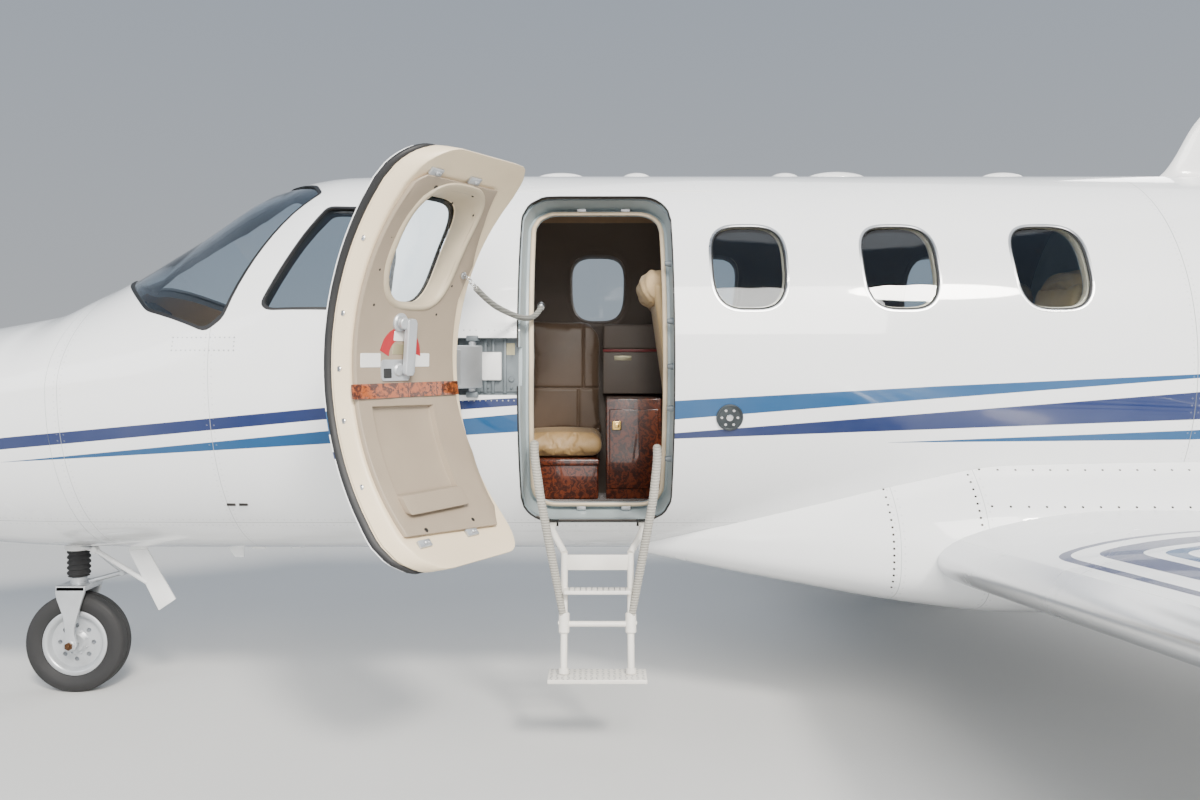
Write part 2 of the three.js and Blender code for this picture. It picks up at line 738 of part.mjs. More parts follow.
function fan() {
  const hub = turned(
    [
      [0, FAN.tip],
      [34, FAN.tip + 30],
      [FAN.hub, FAN.front],
      [FAN.hub, FAN.rear],
      [30, FAN.rear],
      [30, NACELLE.core - GAP],
      [0, NACELLE.core - GAP],
    ],
    12,
    "x",
    vector(0, 0, 0),
  );
  const blades = Array.from({ length: FAN.blades }, (_, i) => {
    const length = NACELLE.fan - FAN.hub + 12;
    const blade = new THREE.BoxGeometry(62, 5, length).rotateZ(THREE.MathUtils.degToRad(FAN.pitch));
    blade.translate((FAN.front + FAN.rear) / 2, 0, FAN.hub - 12 + length / 2);
    return solid(blade.rotateX((2 * Math.PI * i) / FAN.blades));
  });
  return joined(hub, ...blades);
}

// Door, drawn shut

const doorOutline = roundedOutline(
  DOORWAY.front + RUNNING_GAP,
  DOORWAY.rear - RUNNING_GAP,
  DOORWAY.sill + RUNNING_GAP,
  DOORWAY.head - RUNNING_GAP,
  DOORWAY.corner - RUNNING_GAP,
  4,
  8,
);
const DOOR_TAPER = { depth: 170, aft: 0.56, other: 0.2 }; // how far the edges draw in with depth

function doorBlank() {
  const middleX = (DOORWAY.front + DOORWAY.rear) / 2;
  const middleZ = (DOORWAY.sill + DOORWAY.head) / 2;
  const ring = (depth, flatY) =>
    doorOutline.map(([x, z]) => {
      const inward = Math.max(depth, 0);
      const side = Math.max(0, 1 - Math.abs(z - middleZ) / 1400);
      const drawX = inward * (x > middleX ? DOOR_TAPER.aft : DOOR_TAPER.other * side);
      const drawZ = inward * DOOR_TAPER.other * Math.min(1, Math.abs(z - middleZ) / 560) ** 4;
      return vector(
        x - Math.sign(x - middleX) * drawX,
        flatY ?? -skinY(x, z) + depth,
        z - Math.sign(z - middleZ) * drawZ,
      );
    });
  return loft([ring(0, -FAR), ring(0), ring(DOOR_TAPER.depth), ring(DOOR_TAPER.depth, -200)]);
}

function doorPanel() {
  const wall = cut(hull(-2900, -2100), hull(-2901, -2099, WALL));
  const panel = cut(wall.intersect(doorBlank()), windowHole(windowX(0), -1));
  const barrel = rod(
    vector(DOOR_HINGE.x, DOOR_HINGE.y, DOOR_HINGE.low),
    vector(DOOR_HINGE.x, DOOR_HINGE.y, DOOR_HINGE.high),
    14,
    12,
  );
  const arm = box(DOOR_HINGE.x - 8, -2826, -838, -786, 1436, 1596);
  const neck = box(-2834, -2770, -812, -768, 1450, 1582);
  return joined(panel, barrel, arm, neck);
}

// Cabin

const inside = hull(-4590, CABIN_REAR_X - 10, WALL + 2);

function cabinFloor() {
  const low = hull(-4590, CABIN_REAR_X - 10, WALL + GAP);
  return low.intersect(box(-4480, CABIN_REAR_X - 15, -350, 350, 790, FLOOR_Z));
}

function instrumentPanel() {
  const face = box(-4330, -4170, -640, 640, 1180, 1640);
  const shield = box(-4450, -4120, -640, 640, 1640, 1672);
  const pedestal = box(-4330, -3900, -110, 110, FLOOR_Z + GAP, 1300);
  return joined(face, shield, pedestal).intersect(inside);
}

// A seat facing forward with its cushion's front edge at x = 0
function seat({ width, cushion, back, depth, lean }) {
  const half = width / 2;
  const pad = box(0, depth, -half, half, cushion - 130, cushion);
  const base = box(60, depth - 60, -half * 0.55, half * 0.55, FLOOR_Z + GAP, cushion - 120);
  const outline = [
    [depth - 90, cushion - 110],
    [depth + 30, cushion - 110],
    [depth + 30 + lean, back],
    [depth - 60 + lean, back],
  ];
  return joined(pad, base, plate(outline, -half * 0.94, half * 0.94));
}

function placedSeat(measures, x, y, turn) {
  const shape = geometryOf(seat(measures)).rotateZ(THREE.MathUtils.degToRad(turn));
  return solid(shape.translate(x, y, 0)).intersect(inside);
}

const CREW_SEAT = { width: 430, cushion: 1190, back: 1880, depth: 440, lean: 70 };
const CLUB_SEAT = { width: 440, cushion: 1240, back: 1900, depth: 470, lean: 110 };

function sideSeat() {
  const cushion = box(-2866, -2480, 90, 520, 1060, 1200);
  const base = box(-2850, -2496, 120, 330, FLOOR_Z + GAP, 1070);
  const back = box(-2866, -2480, 470, 600, 1150, 1735);
  return joined(cushion, base, back).intersect(inside);
}

function cabinet() {
  return box(-2460, -2195, 140, 600, FLOOR_Z + GAP, 1350).intersect(inside);
}

// Landing gear

const wheelHeight = (wheel) => wheel.radius * Math.cos(Math.PI / WHEEL_FACETS);

function tyre(wheel) {
  const { radius, rim, width } = wheel;
  const half = width / 2;
  const side = [
    [rim + GAP, half * 0.72],
    [(rim + radius) / 2 + 4, half],
    [radius - half * 0.34, half * 0.86],
    [radius, half * 0.42],
  ];
  const otherSide = side.map(([r, y]) => [r, -y]).reverse();
  return turned([...side, ...otherSide, side[0]], WHEEL_FACETS, "y", vector(0, 0, 0));
}

function rim(wheel) {
  const { rim: edge, width, axle } = wheel;
  const half = width / 2;
  const side = [
    [axle + 1, half * 0.62],
    [axle + 30, half * 0.62],
    [edge - 34, half * 0.3],
    [edge - 22, half * 0.72],
    [edge, half * 0.72],
  ];
  const otherSide = side.map(([r, y]) => [r, -y]).reverse();
  return turned([...side, ...otherSide, side[0]], WHEEL_FACETS, "y", vector(0, 0, 0));
}

function mainLeg(wing) {
  const axle = vector(MAIN_WHEEL.x, 0, wheelHeight(MAIN_WHEEL));
  const at = (x, y, z) => vector(x, y, z);
  const legY = 1800;
  const leg = joined(
    rod(at(-470, legY, 930), at(-452, legY, 430), 48, 14),
    rod(at(-452, legY - 62, 430), at(-452, legY + 58, 430), 54, 14),
    rod(at(-452, legY, 430), at(axle.x, legY, axle.z), 40, 12, 46),
    rod(at(-330, legY, 900), at(axle.x - 10, legY, axle.z + 50), 30, 12),
    rod(at(axle.x, legY - 50, axle.z), at(axle.x, legY + 60, axle.z), 50, 14),
    rod(at(axle.x, legY, axle.z), at(axle.x, MAIN_WHEEL.y + 66, axle.z), MAIN_WHEEL.axle, 16),
    rod(at(-470, legY - 200, 930), at(-462, legY - 10, 560), 22, 10),
  );
  return cut(leg, moved(wing, 0, 0, -GAP));
}

const STRUT = { collar: 655, gaiterLow: 530, gaiter: 50, crown: 500 };
const GEAR_DOOR = [
  [-4644, 668],
  [-4600, 740],
  [-4540, 740],
  [-4560, 674],
  [-4430, 444],
  [-4506, 393],
];

const LINK_KNEE = vector(NOSE_WHEEL.x + 118, -86, 669);

function noseStrut() {
  const x = NOSE_WHEEL.x;
  const up = (z) => vector(x, 0, z);
  const door = joined(
    plate([GEAR_DOOR[0], GEAR_DOOR[3], GEAR_DOOR[4], GEAR_DOOR[5]], -96, -84),
    plate(GEAR_DOOR.slice(0, 4), -96, -84),
  );
  const skin = hull(COCKPIT_JOINT_X - 200, CABIN_FRONT_X, -GAP);
  return joined(
    rod(up(WELL.roof - GAP), up(STRUT.collar), 42, 16),
    rod(up(STRUT.collar + 30), up(STRUT.collar), 60, 16),
    rod(up(STRUT.collar), up(STRUT.gaiterLow), STRUT.gaiter, 16),
    rod(vector(x, -118, 930), vector(x, 118, 930), 30, 12),
    rod(vector(x + 30, -35, 674), LINK_KNEE, 11, 8),
    rod(LINK_KNEE, vector(-4560, -90, 520), 11, 8),
    cut(door, skin),
  );
}

const FORK_LEG = [
  [-66, 500],
  [70, 500],
  [56, 440],
  [18, 300],
  [30, 236],
  [14, 204],
  [-14, 204],
  [-30, 236],
  [-22, 300],
  [-62, 440],
];

function noseFork() {
  const x = NOSE_WHEEL.x;
  const z = wheelHeight(NOSE_WHEEL);
  const leg = FORK_LEG.map(([along, height]) => [x + along, height]);
  return joined(
    plate(leg, -84, -68),
    plate(leg, 68, 84),
    box(x - 66, x + 70, -84, 84, 474, STRUT.crown),
    rod(vector(x, 0, 490), vector(x, 0, STRUT.gaiterLow - GAP), 36, 16),
    rod(vector(x, -92, z), vector(x, 92, z), NOSE_WHEEL.axle, 16),
    rod(vector(x + 50, 0, 505), vector(x + 212, 0, 549), 11, 8),
    rod(vector(x + 212, 0, 545), vector(x + 92, 0, 640), 11, 8),
    rod(vector(x + 212, -30, 548), vector(x + 212, 30, 548), 13, 8),
  );
}

// Folding steps, hung over the sill

function steps() {
  const { x, arm, rail } = STEPS;
  const side = (hand) => {
    const upper = vector(x + hand * arm, -612, 860);
    const knee = vector(x + hand * rail, -722, 782);
    const fold = vector(x + hand * rail, -756, 515);
    const foot = vector(x + hand * rail, -802, 322);
    return joined(
      box(x + hand * arm - 14, x + hand * arm + 14, -380, -322, FLOOR_Z + GAP, 888),
      box(x + hand * arm - 14, x + hand * arm + 14, -380, -366, STEPS.armLow, 888),
      box(x + hand * arm - 14, x + hand * arm + 14, -618, -366, STEPS.armLow, STEPS.armHigh),
      rod(upper, knee, 14, 8),
      rod(knee, fold, 14, 8),
      rod(fold, foot, 13, 8),
      rod(vector(fold.x, -750, 555), vector(fold.x, -765, 478), 21, 10),
    );
  };
  return joined(
    side(-1),
    side(1),
    box(x - rail, x + rail, -734, -722, 716, 776),
    box(x - rail, x + rail, -800, -736, 636, 650),
    rod(vector(x - rail, -757, 512), vector(x + rail, -757, 512), 11, 8),
    box(x - 190, x + 190, -872, -736, 314, 331),
  );
}

// Assembly

function place(name, body, look, parent = part) {
  const geometry = geometryOf(body);
  geometry.computeVertexNormals();
  const mesh = new THREE.Mesh(geometry, new THREE.MeshStandardMaterial(COLOURS[look]));
  mesh.name = name;
  parent.add(mesh);
  return mesh;
}

place("nose_cone", noseCone(), "paint");
place("nose_section", noseSection(), "paint");
place("cockpit_shell", cockpitShell(), "paint");
place("cabin_crown", cabinCrown(), "paint");
place("cabin_side_port", cabinSidePort(), "paint");
place("cabin_side_starboard", cabinSideStarboard(), "paint");
place("cabin_belly", cabinBelly(), "paint");
place("aft_fuselage", aftFuselage(), "paint");
place("wing_fairing", wingFairing(), "paint");

const { wing, flap, aileron } = wingPieces();
const leg = mainLeg(wing);
const { tailplane, elevator } = tailplanePieces();
const { fin, rudder } = finPieces();
place("fin", fin, "paint");
place("rudder", rudder, "paint");
place("tailplane", tailplane, "paint");
place("elevator", elevator, "paint");

const cowl = nacelle();
const core = engineCore();
const engineFan = fan();
const crewSeat = placedSeat(CREW_SEAT, -3950, 340, 0);

for (const [name, side] of BOTH_SIDES) {
  const sided = (body) => (side > 0 ? body : mirrored(body));
  place("wing_" + name, sided(wing), "paint");
  place("flap_" + name, sided(flap), "paint");
  place("aileron_" + name, sided(aileron), "paint");
  place("nacelle_" + name, sided(cowl), "paint");
  place("engine_" + name, sided(core), "metal");
  place("fan_" + name, engineFan, "metal").position.set(0, side * NACELLE.y, NACELLE.z);
  place("windshield_" + name, side < 0 ? windshieldPort : mirrored(windshieldPort), "glass");
  place("cockpit_window_" + name, side < 0 ? sideWindowPort : mirrored(sideWindowPort), "glass");
  const first = side < 0 ? 1 : 0;
  for (let number = first; number <= 3; number += 1) {
    place("cabin_window_" + name + "_" + (number + 1), pane(windowX(number), side), "glass");
  }
  place("crew_seat_" + name, sided(crewSeat), "leather");
  const frontSeatX = side > 0 ? -1625 : -1700;
  place("club_seat_front_" + name, placedSeat(CLUB_SEAT, frontSeatX, side * 350, 180), "beige");
  place("club_seat_rear_" + name, placedSeat(CLUB_SEAT, -1010, side * 350, 0), "beige");
  place("main_leg_" + name, sided(leg), "metal");
  const axle = [MAIN_WHEEL.x, side * MAIN_WHEEL.y, wheelHeight(MAIN_WHEEL)];
  place("main_rim_" + name, rim(MAIN_WHEEL), "metal").position.set(...axle);
  place("main_tyre_" + name, tyre(MAIN_WHEEL), "rubber").position.set(...axle);
}

place("nose_strut", noseStrut(), "metal");
place("nose_fork", noseFork(), "metal");
const noseAxle = [NOSE_WHEEL.x, 0, wheelHeight(NOSE_WHEEL)];
place("nose_rim", rim(NOSE_WHEEL), "metal").position.set(...noseAxle);
place("nose_tyre", tyre(NOSE_WHEEL), "rubber").position.set(...noseAxle);

place("cabin_floor", cabinFloor(), "carpet");
place("instrument_panel", instrumentPanel(), "dark");
place("side_seat", sideSeat(), "leather");
place("cabinet", cabinet(), "wood");
place("folding_steps", steps(), "metal");

const doorHinge = new THREE.Group();
doorHinge.position.set(DOOR_HINGE.x, DOOR_HINGE.y, 0);
doorHinge.rotation.z = -THREE.MathUtils.degToRad(DOOR_HINGE.open);
part.add(doorHinge);
for (const [name, body, look] of [["door_panel", doorPanel(), "paint"], ["door_window", pane(windowX(0), -1), "glass"]]) {
  place(name, body, look, doorHinge).geometry.translate(-DOOR_HINGE.x, -DOOR_HINGE.y, 0);
}

export default part;
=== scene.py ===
import math

import bmesh
import bpy
import json
from mathutils import Matrix, Vector

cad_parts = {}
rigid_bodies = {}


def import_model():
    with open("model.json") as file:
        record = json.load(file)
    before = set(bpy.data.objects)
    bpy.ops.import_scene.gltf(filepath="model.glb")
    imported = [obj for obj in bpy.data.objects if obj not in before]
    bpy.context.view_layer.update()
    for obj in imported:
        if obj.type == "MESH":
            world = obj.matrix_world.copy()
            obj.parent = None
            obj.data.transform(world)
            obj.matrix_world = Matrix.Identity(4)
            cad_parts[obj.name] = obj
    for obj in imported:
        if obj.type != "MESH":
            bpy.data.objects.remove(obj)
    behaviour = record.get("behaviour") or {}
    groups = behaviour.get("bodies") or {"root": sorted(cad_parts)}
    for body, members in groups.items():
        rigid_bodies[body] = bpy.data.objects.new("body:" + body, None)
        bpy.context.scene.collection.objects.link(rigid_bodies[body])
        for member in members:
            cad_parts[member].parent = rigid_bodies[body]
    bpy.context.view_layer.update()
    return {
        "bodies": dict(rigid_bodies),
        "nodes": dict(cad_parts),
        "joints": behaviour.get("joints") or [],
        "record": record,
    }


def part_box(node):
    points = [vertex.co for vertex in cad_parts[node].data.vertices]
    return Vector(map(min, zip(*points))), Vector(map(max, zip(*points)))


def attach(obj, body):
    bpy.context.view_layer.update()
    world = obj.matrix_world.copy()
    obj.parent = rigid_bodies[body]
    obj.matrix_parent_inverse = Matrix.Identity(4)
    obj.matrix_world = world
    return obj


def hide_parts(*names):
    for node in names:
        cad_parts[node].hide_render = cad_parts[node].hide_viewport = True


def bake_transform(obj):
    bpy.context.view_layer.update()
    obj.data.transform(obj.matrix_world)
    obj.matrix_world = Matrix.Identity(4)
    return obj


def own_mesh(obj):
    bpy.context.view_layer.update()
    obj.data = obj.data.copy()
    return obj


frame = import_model()

bl_info = {
    "name": "Light business jet",
    "version": (1, 0, 0),
    "blender": (4, 5, 0),
    "location": "3D View > Sidebar > Jet",
    "description": "Skins, glass, cabin, gear and finishes of a light business jet on its CAD frame",
    "category": "Add Mesh",
}

# Metres. +X runs aft, +Y to starboard, +Z up.
SIDES = (("port", -1), ("starboard", 1))
WALL = 0.08
TAIL_WALL = 0.014
JOINTS_X = {"nose": -5.75, "cockpit": -4.66, "cabin": -3.1, "rear": -0.2, "end": 5.7}
BELLY_Z = 0.82
CROWN_Y = 0.33
WAIST_Z = 1.53
CABIN_ENDS = (-4.59, -0.21)
FLOOR_Z = 0.868
GAP = 0.0006
AFT = Vector((1, 0, 0))
ACROSS = Vector((0, 1, 0))
UP = Vector((0, 0, 1))
NOSE_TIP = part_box("nose_cone")[0].x
DOORWAY = {"front": -2.805, "rear": -2.205, "sill": 0.873, "head": 2.22, "corner": 0.115}
DOOR_HINGE = Vector((-2.978, -0.831, 0))
DOOR_OPEN = math.radians(121.3)
WINDOW = {"half": 0.147, "low": 1.734, "high": 2.08, "first": -2.5, "pitch": 0.594}
NACELLE = Vector((0.95, 1.275, 2.195))
MAIN_WHEEL = {"at": Vector((-0.22, 1.98, 0.27711)), "radius": 0.2795, "width": 0.197, "rim": 0.15}
NOSE_WHEEL = {"at": Vector((-4.92, 0, 0.22655)), "radius": 0.2285, "width": 0.112, "rim": 0.15}

# Fuselage sections: x, top, waist, bottom, half width, power of the upper half's superellipse
SECTIONS = [
    (-6.300, 1.375, 1.185, 0.965, 0.225, 2.0),
    (-6.050, 1.490, 1.215, 0.850, 0.368, 2.0),
    (-5.700, 1.587, 1.265, 0.760, 0.510, 2.0),
    (-5.290, 1.672, 1.330, 0.708, 0.625, 2.0),
    (-4.950, 1.732, 1.385, 0.686, 0.700, 2.0),
    (-4.866, 1.750, 1.400, 0.684, 0.715, 1.9),
    (-4.660, 1.860, 1.430, 0.681, 0.748, 1.75),
    (-4.614, 1.884, 1.437, 0.680, 0.754, 1.7),
    (-4.300, 2.090, 1.475, 0.680, 0.786, 1.62),
    (-3.914, 2.320, 1.510, 0.680, 0.812, 1.8),
    (-3.600, 2.372, 1.530, 0.680, 0.824, 2.0),
    (-3.200, 2.380, 1.530, 0.680, 0.825, 2.0),
    (0.300, 2.380, 1.530, 0.680, 0.825, 2.0),
    (0.900, 2.378, 1.535, 0.700, 0.812, 2.0),
    (1.500, 2.366, 1.560, 0.770, 0.772, 2.0),
    (2.200, 2.348, 1.620, 0.905, 0.690, 2.0),
    (3.000, 2.322, 1.700, 1.085, 0.565, 2.0),
    (3.800, 2.292, 1.790, 1.285, 0.428, 2.0),
    (4.600, 2.255, 1.880, 1.500, 0.298, 2.0),
    (5.300, 2.205, 1.950, 1.690, 0.185, 2.0),
    (5.700, 2.120, 1.985, 1.850, 0.095, 2.0),
]


# Curves through tables
def slopes_through(xs, ys):
    """Slopes of a smooth curve that never overshoots its points."""
    steps = [(ys[i + 1] - ys[i]) / (xs[i + 1] - xs[i]) for i in range(len(xs) - 1)]
    slopes = [steps[0]]
    for before, after in zip(steps, steps[1:]):
        slopes.append(0.0 if before * after <= 0 else 2 * before * after / (before + after))
    return slopes + [steps[-1]]


def smooth_value(xs, ys, slopes, x):
    """The curve's height at x."""
    if x <= xs[0]:
        return ys[0]
    if x >= xs[-1]:
        return ys[-1]
    i = max(k for k in range(len(xs) - 1) if xs[k] <= x)
    span = xs[i + 1] - xs[i]
    t = (x - xs[i]) / span
    return (
        ys[i] * (2 * t**3 - 3 * t**2 + 1)
        + slopes[i] * span * (t**3 - 2 * t**2 + t)
        + ys[i + 1] * (3 * t**2 - 2 * t**3)
        + slopes[i + 1] * span * (t**3 - t**2)
    )


SECTION_X = [row[0] for row in SECTIONS]
SECTION_CURVES = [
    (
        [row[k] for row in SECTIONS], slopes_through(SECTION_X, [row[k] for row in SECTIONS])
    ) for k in range(1, 6)
]
NOSE_BLUNTNESS = 0.55


def section_row(x):
    """Top, waist, bottom, half width and crown power of the fuselage at x, from the curves."""
    row = [smooth_value(SECTION_X, ys, slopes, x) for ys, slopes in SECTION_CURVES]
    if x < SECTION_X[0]:
        share = max(0.0, (x - NOSE_TIP) / (SECTION_X[0] - NOSE_TIP)) ** NOSE_BLUNTNESS
        top, waist, bottom, half, crown = row
        centre = waist - 0.08 * (SECTION_X[0] - x)
        row = [centre + (top - waist) * share, centre, centre + (bottom - waist) * share, half * share, crown]
    return row


STATION_STEP = 0.004
STATION_COUNT = 3060
STATION_ROWS = [section_row(NOSE_TIP + STATION_STEP * i) for i in range(STATION_COUNT)]


def section_at(x):
    """The same, read from closely spaced rows."""
    place = min(max((x - NOSE_TIP) / STATION_STEP, 0.0), len(STATION_ROWS) - 1.001)
    i = int(place)
    share = place - i
    return [a + (b - a) * share for a, b in zip(STATION_ROWS[i], STATION_ROWS[i + 1])]


def skin_point(x, angle, inset=0.0):
    """A point of the fuselage skin, drawn in by inset; angle 0 is starboard and a quarter turn is the top."""
    top, waist, bottom, half, crown = section_at(x)
    upper = math.sin(angle) > 0
    height = (top - waist if upper else waist - bottom) - inset
    power = 2 / crown if upper else 1.0
    across = math.copysign(abs(math.cos(angle)) ** power, math.cos(angle))
    rise = math.copysign(abs(math.sin(angle)) ** power, math.sin(angle))
    return Vector((x, (half - inset) * across, waist + height * rise))


def skin_y(x, z, inset=0.0):
    """Half width of the skin at x and z."""
    top, waist, bottom, half, crown = section_at(x)
    height = (top - waist if z > waist else waist - bottom) - inset
    power = crown if z > waist else 2
    return (half - inset) * max(0.0, 1 - (abs(z - waist) / height) ** power) ** (1 / power)


def skin_level(x, y, z):
    """Below 1 inside the skin and above 1 outside it."""
    top, waist, bottom, half, crown = section_at(x)
    power = crown if z > waist else 2
    height = max(top - waist if z > waist else waist - bottom, 0.002)
    return (abs(y) / max(half, 0.002)) ** power + (abs(z - waist) / height) ** power


def skin_normal(point):
    """Outward direction of the fuselage skin near a point."""
    x, y, z = point
    step = 0.002
    along = skin_level(x + step, y, z) - skin_level(x - step, y, z)
    across = skin_level(x, y + step, z) - skin_level(x, y - step, z)
    rise = skin_level(x, y, z + step) - skin_level(x, y, z - step)
    return Vector((along, across, rise)).normalized()


# Modelling tools
def select_only(*objects):
    """Selects these objects, the first one active."""
    if bpy.context.object and bpy.context.object.mode != "OBJECT":
        bpy.ops.object.mode_set(mode="OBJECT")
    bpy.ops.object.select_all(action="DESELECT")
    for obj in objects:
        obj.hide_set(False)
        obj.select_set(True)
    bpy.context.view_layer.objects.active = objects[0]
    return objects[0]


def named(name):
    """The active object under a new name, as the primitive operators leave it."""
    obj = bpy.context.object
    obj.name = name
    obj.data.name = name
    return obj


def bake_place(obj):
    """Puts the object's place, turn and scale into its mesh."""
    select_only(obj)
    bpy.ops.object.transform_apply(location=True, rotation=True, scale=True)
    return obj


def edit_all():
    """Enters edit mode with the whole mesh selected."""
    bpy.ops.object.mode_set(mode="EDIT")
    bpy.ops.mesh.select_all(action="SELECT")


def leave_edit():
    """Goes back to object mode."""
    bpy.ops.object.mode_set(mode="OBJECT")


def shown(name, data):
    """A new selected object that holds this mesh or curve."""
    obj = bpy.data.objects.new(name, data)
    bpy.context.collection.objects.link(obj)
    return select_only(obj)


def closed(obj):
    """Merges doubles and points all faces outwards."""
    select_only(obj)
    edit_all()
    bpy.ops.mesh.remove_doubles(threshold=1e-5)
    bpy.ops.mesh.normals_make_consistent(inside=False)
    leave_edit()
    return obj


def tube_of(name, rings, around, place, ends="NGON"):
    """A closed tube of rings whose corners are laid by place(ring number, angle)."""
    bpy.ops.mesh.primitive_cylinder_add(vertices=around, radius=1, depth=1, end_fill_type=ends)
    obj = named(name)
    if rings > 2:
        bpy.ops.object.mode_set(mode="EDIT")
        bpy.ops.mesh.select_mode(type="EDGE")
        bpy.ops.mesh.select_all(action="DESELECT")
        leave_edit()
        corners = obj.data.vertices
        for edge in obj.data.edges:
            low, high = (corners[k].co.z for k in edge.vertices)
            edge.select = abs(low - high) > 0.5
        bpy.ops.object.mode_set(mode="EDIT")
        bpy.ops.mesh.subdivide(number_cuts=rings - 2)
        bpy.ops.mesh.select_mode(type="VERT")
        leave_edit()
    for vertex in obj.data.vertices:
        ring = round((vertex.co.z + 0.5) * (rings - 1))
        vertex.co = place(ring, math.atan2(vertex.co.y, vertex.co.x))
    return closed(obj)


def lofted(name, rings, ends="NGON"):
    """A tube through rings of points."""
    count = len(rings[0])

    def place(ring, angle):
        return rings[ring][round(angle * count / (2 * math.pi)) % count]

    return tube_of(name, len(rings), count, place, ends)


def block(name, low, high, bevel=0.0, segments=2):
    """A box between two corners with rounded edges."""
    middle = (Vector(low) + Vector(high)) / 2
    bpy.ops.mesh.primitive_cube_add(size=1, location=middle, scale=Vector(high) - Vector(low))
    obj = bake_place(named(name))
    if bevel:
        edit_all()
        bpy.ops.mesh.bevel(offset=bevel, segments=segments, affect="EDGES")
        leave_edit()
    return obj


def extruded(name, outline, depth, bevel=0.0, segments=2):
    """A prism: outline points in space are filled, then extruded by the depth vector."""
    mesh = bpy.data.meshes.new(name)
    mesh.from_pydata([Vector(p) for p in outline], [], [list(range(len(outline)))])
    obj = shown(name, mesh)
    edit_all()
    bpy.ops.mesh.extrude_region_move(TRANSFORM_OT_translate={"value": depth})
    bpy.ops.mesh.select_all(action="SELECT")
    bpy.ops.mesh.normals_make_consistent(inside=False)
    if bevel:
        bpy.ops.mesh.bevel(offset=bevel, segments=segments, affect="EDGES")
    leave_edit()
    return obj


def spun(name, profile, axis, at, steps=48):
    """A solid turned about an axis through at, from (radius, along) pairs; its poles are merged."""
    side = UP if abs(axis.z) < 0.9 else AFT
    side = (side - axis * side.dot(axis)).normalized()
    mesh = bpy.data.meshes.new(name)
    points = [at + axis * along + side * radius for radius, along in profile]
    mesh.from_pydata(points, [(i, i + 1) for i in range(len(points) - 1)], [])
    obj = shown(name, mesh)
    edit_all()
    bpy.ops.mesh.spin(steps=steps, angle=2 * math.pi, center=at, axis=axis)
    bpy.ops.mesh.select_all(action="SELECT")
    bpy.ops.mesh.remove_doubles(threshold=2e-5)
    bpy.ops.mesh.normals_make_consistent(inside=False)
    leave_edit()
    return obj


def bar(name, points, radius, resolution=6, around=4, radii=None):
    """A round bar or cord along points, as a mesh with closed ends."""
    curve = bpy.data.curves.new(name, "CURVE")
    curve.dimensions = "3D"
    curve.bevel_depth = radius
    curve.bevel_resolution = around
    curve.use_fill_caps = True
    curve.resolution_u = resolution
    spline = curve.splines.new("NURBS" if resolution > 1 else "POLY")
    spline.points.add(len(points) - 1)
    for k, (point, target) in enumerate(zip(points, spline.points)):
        target.co = (*point, 1)
        target.radius = radii[k] if radii else 1
    if resolution > 1:
        spline.use_endpoint_u = True
        spline.order_u = 4 if len(points) > 3 else 3
    shown(name, curve)
    bpy.ops.object.convert(target="MESH")
    return closed(bpy.context.object)


def modify(obj, kind, **values):
    """Adds a modifier with these values and applies it."""
    select_only(obj)
    bpy.ops.object.modifier_add(type=kind)
    modifier = obj.modifiers[-1]
    for key, value in values.items():
        setattr(modifier, key, value)
    bpy.ops.object.modifier_apply(modifier=modifier.name)
    return obj


def drop(*objects):
    """Deletes helper objects."""
    select_only(*objects)
    bpy.ops.object.delete()


def combine(obj, tool, operation="DIFFERENCE", keep=False):
    """Cuts, joins or intersects obj with a closed tool."""
    modify(obj, "BOOLEAN", operation=operation, object=tool, solver="EXACT")
    if not keep:
        drop(tool)
    return select_only(obj)


def merged(name, *objects):
    """One object from several, without joining their surfaces."""
    kept = select_only(*objects)
    if len(objects) > 1:
        bpy.ops.object.join()
    kept.name = name
    kept.data.name = name
    return kept


def copy_of(obj, name):
    """A separate copy with its own mesh."""
    twin = obj.copy()
    twin.data = obj.data.copy()
    twin.name = name
    twin.data.name = name
    bpy.context.collection.objects.link(twin)
    return twin


def mirrored(obj, name):
    """A copy on the other side of the middle plane."""
    twin = copy_of(obj, name)
    for vertex in twin.data.vertices:
        vertex.co.y = -vertex.co.y
    twin.data.flip_normals()
    return twin


def turned(obj, axis, angle, about):
    """Turns the mesh itself about an axis through a point."""
    turn = Matrix.Translation(about) @ Matrix.Rotation(angle, 4, axis) @ Matrix.Translation(-about)
    obj.data.transform(turn)
    return obj


def rounded_outline(x0, x1, z0, z1, corner, steps=6):
    """A rectangle with round corners as (x, z) pairs, anticlockwise from its lower right corner."""
    corners = (
        (x1 - corner, z0 + corner, -90),
        (x1 - corner, z1 - corner, 0),
        (x0 + corner, z1 - corner, 90),
        (x0 + corner, z0 + corner, 180),
    )
    points = []
    for x, z, start in corners:
        for i in range(steps + 1):
            angle = math.radians(start + 90 * i / steps)
            points.append((x + corner * math.cos(angle), z + corner * math.sin(angle)))
    return points


def smooth(obj, degrees=30):
    """Smooth shading that keeps edges sharper than the angle."""
    select_only(obj)
    bpy.ops.object.shade_smooth_by_angle(angle=math.radians(degrees))
    return obj


def fair_normals(obj, normal_at, agree=0.96):
    """Takes the shading of faces that lie on a known surface from that surface."""
    mesh = obj.data
    normals = [(0.0, 0.0, 0.0)] * len(mesh.loops)
    for face in mesh.polygons:
        if face.normal.dot(normal_at(face.center)) < agree:
            continue
        for k in face.loop_indices:
            normals[k] = tuple(normal_at(mesh.vertices[mesh.loops[k].vertex_index].co))
    mesh.normals_split_custom_set(normals)
    return obj


def dress(obj, body, slot, *materials, replaces=()):
    """Gives a finished piece its materials and body and hides the nodes it stands for; the slot is not used.
    """
    if materials:
        obj.data.materials.clear()
        for material in materials:
            obj.data.materials.append(material)
    if body:
        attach(obj, body)
    if replaces:
        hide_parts(*replaces)
    return obj


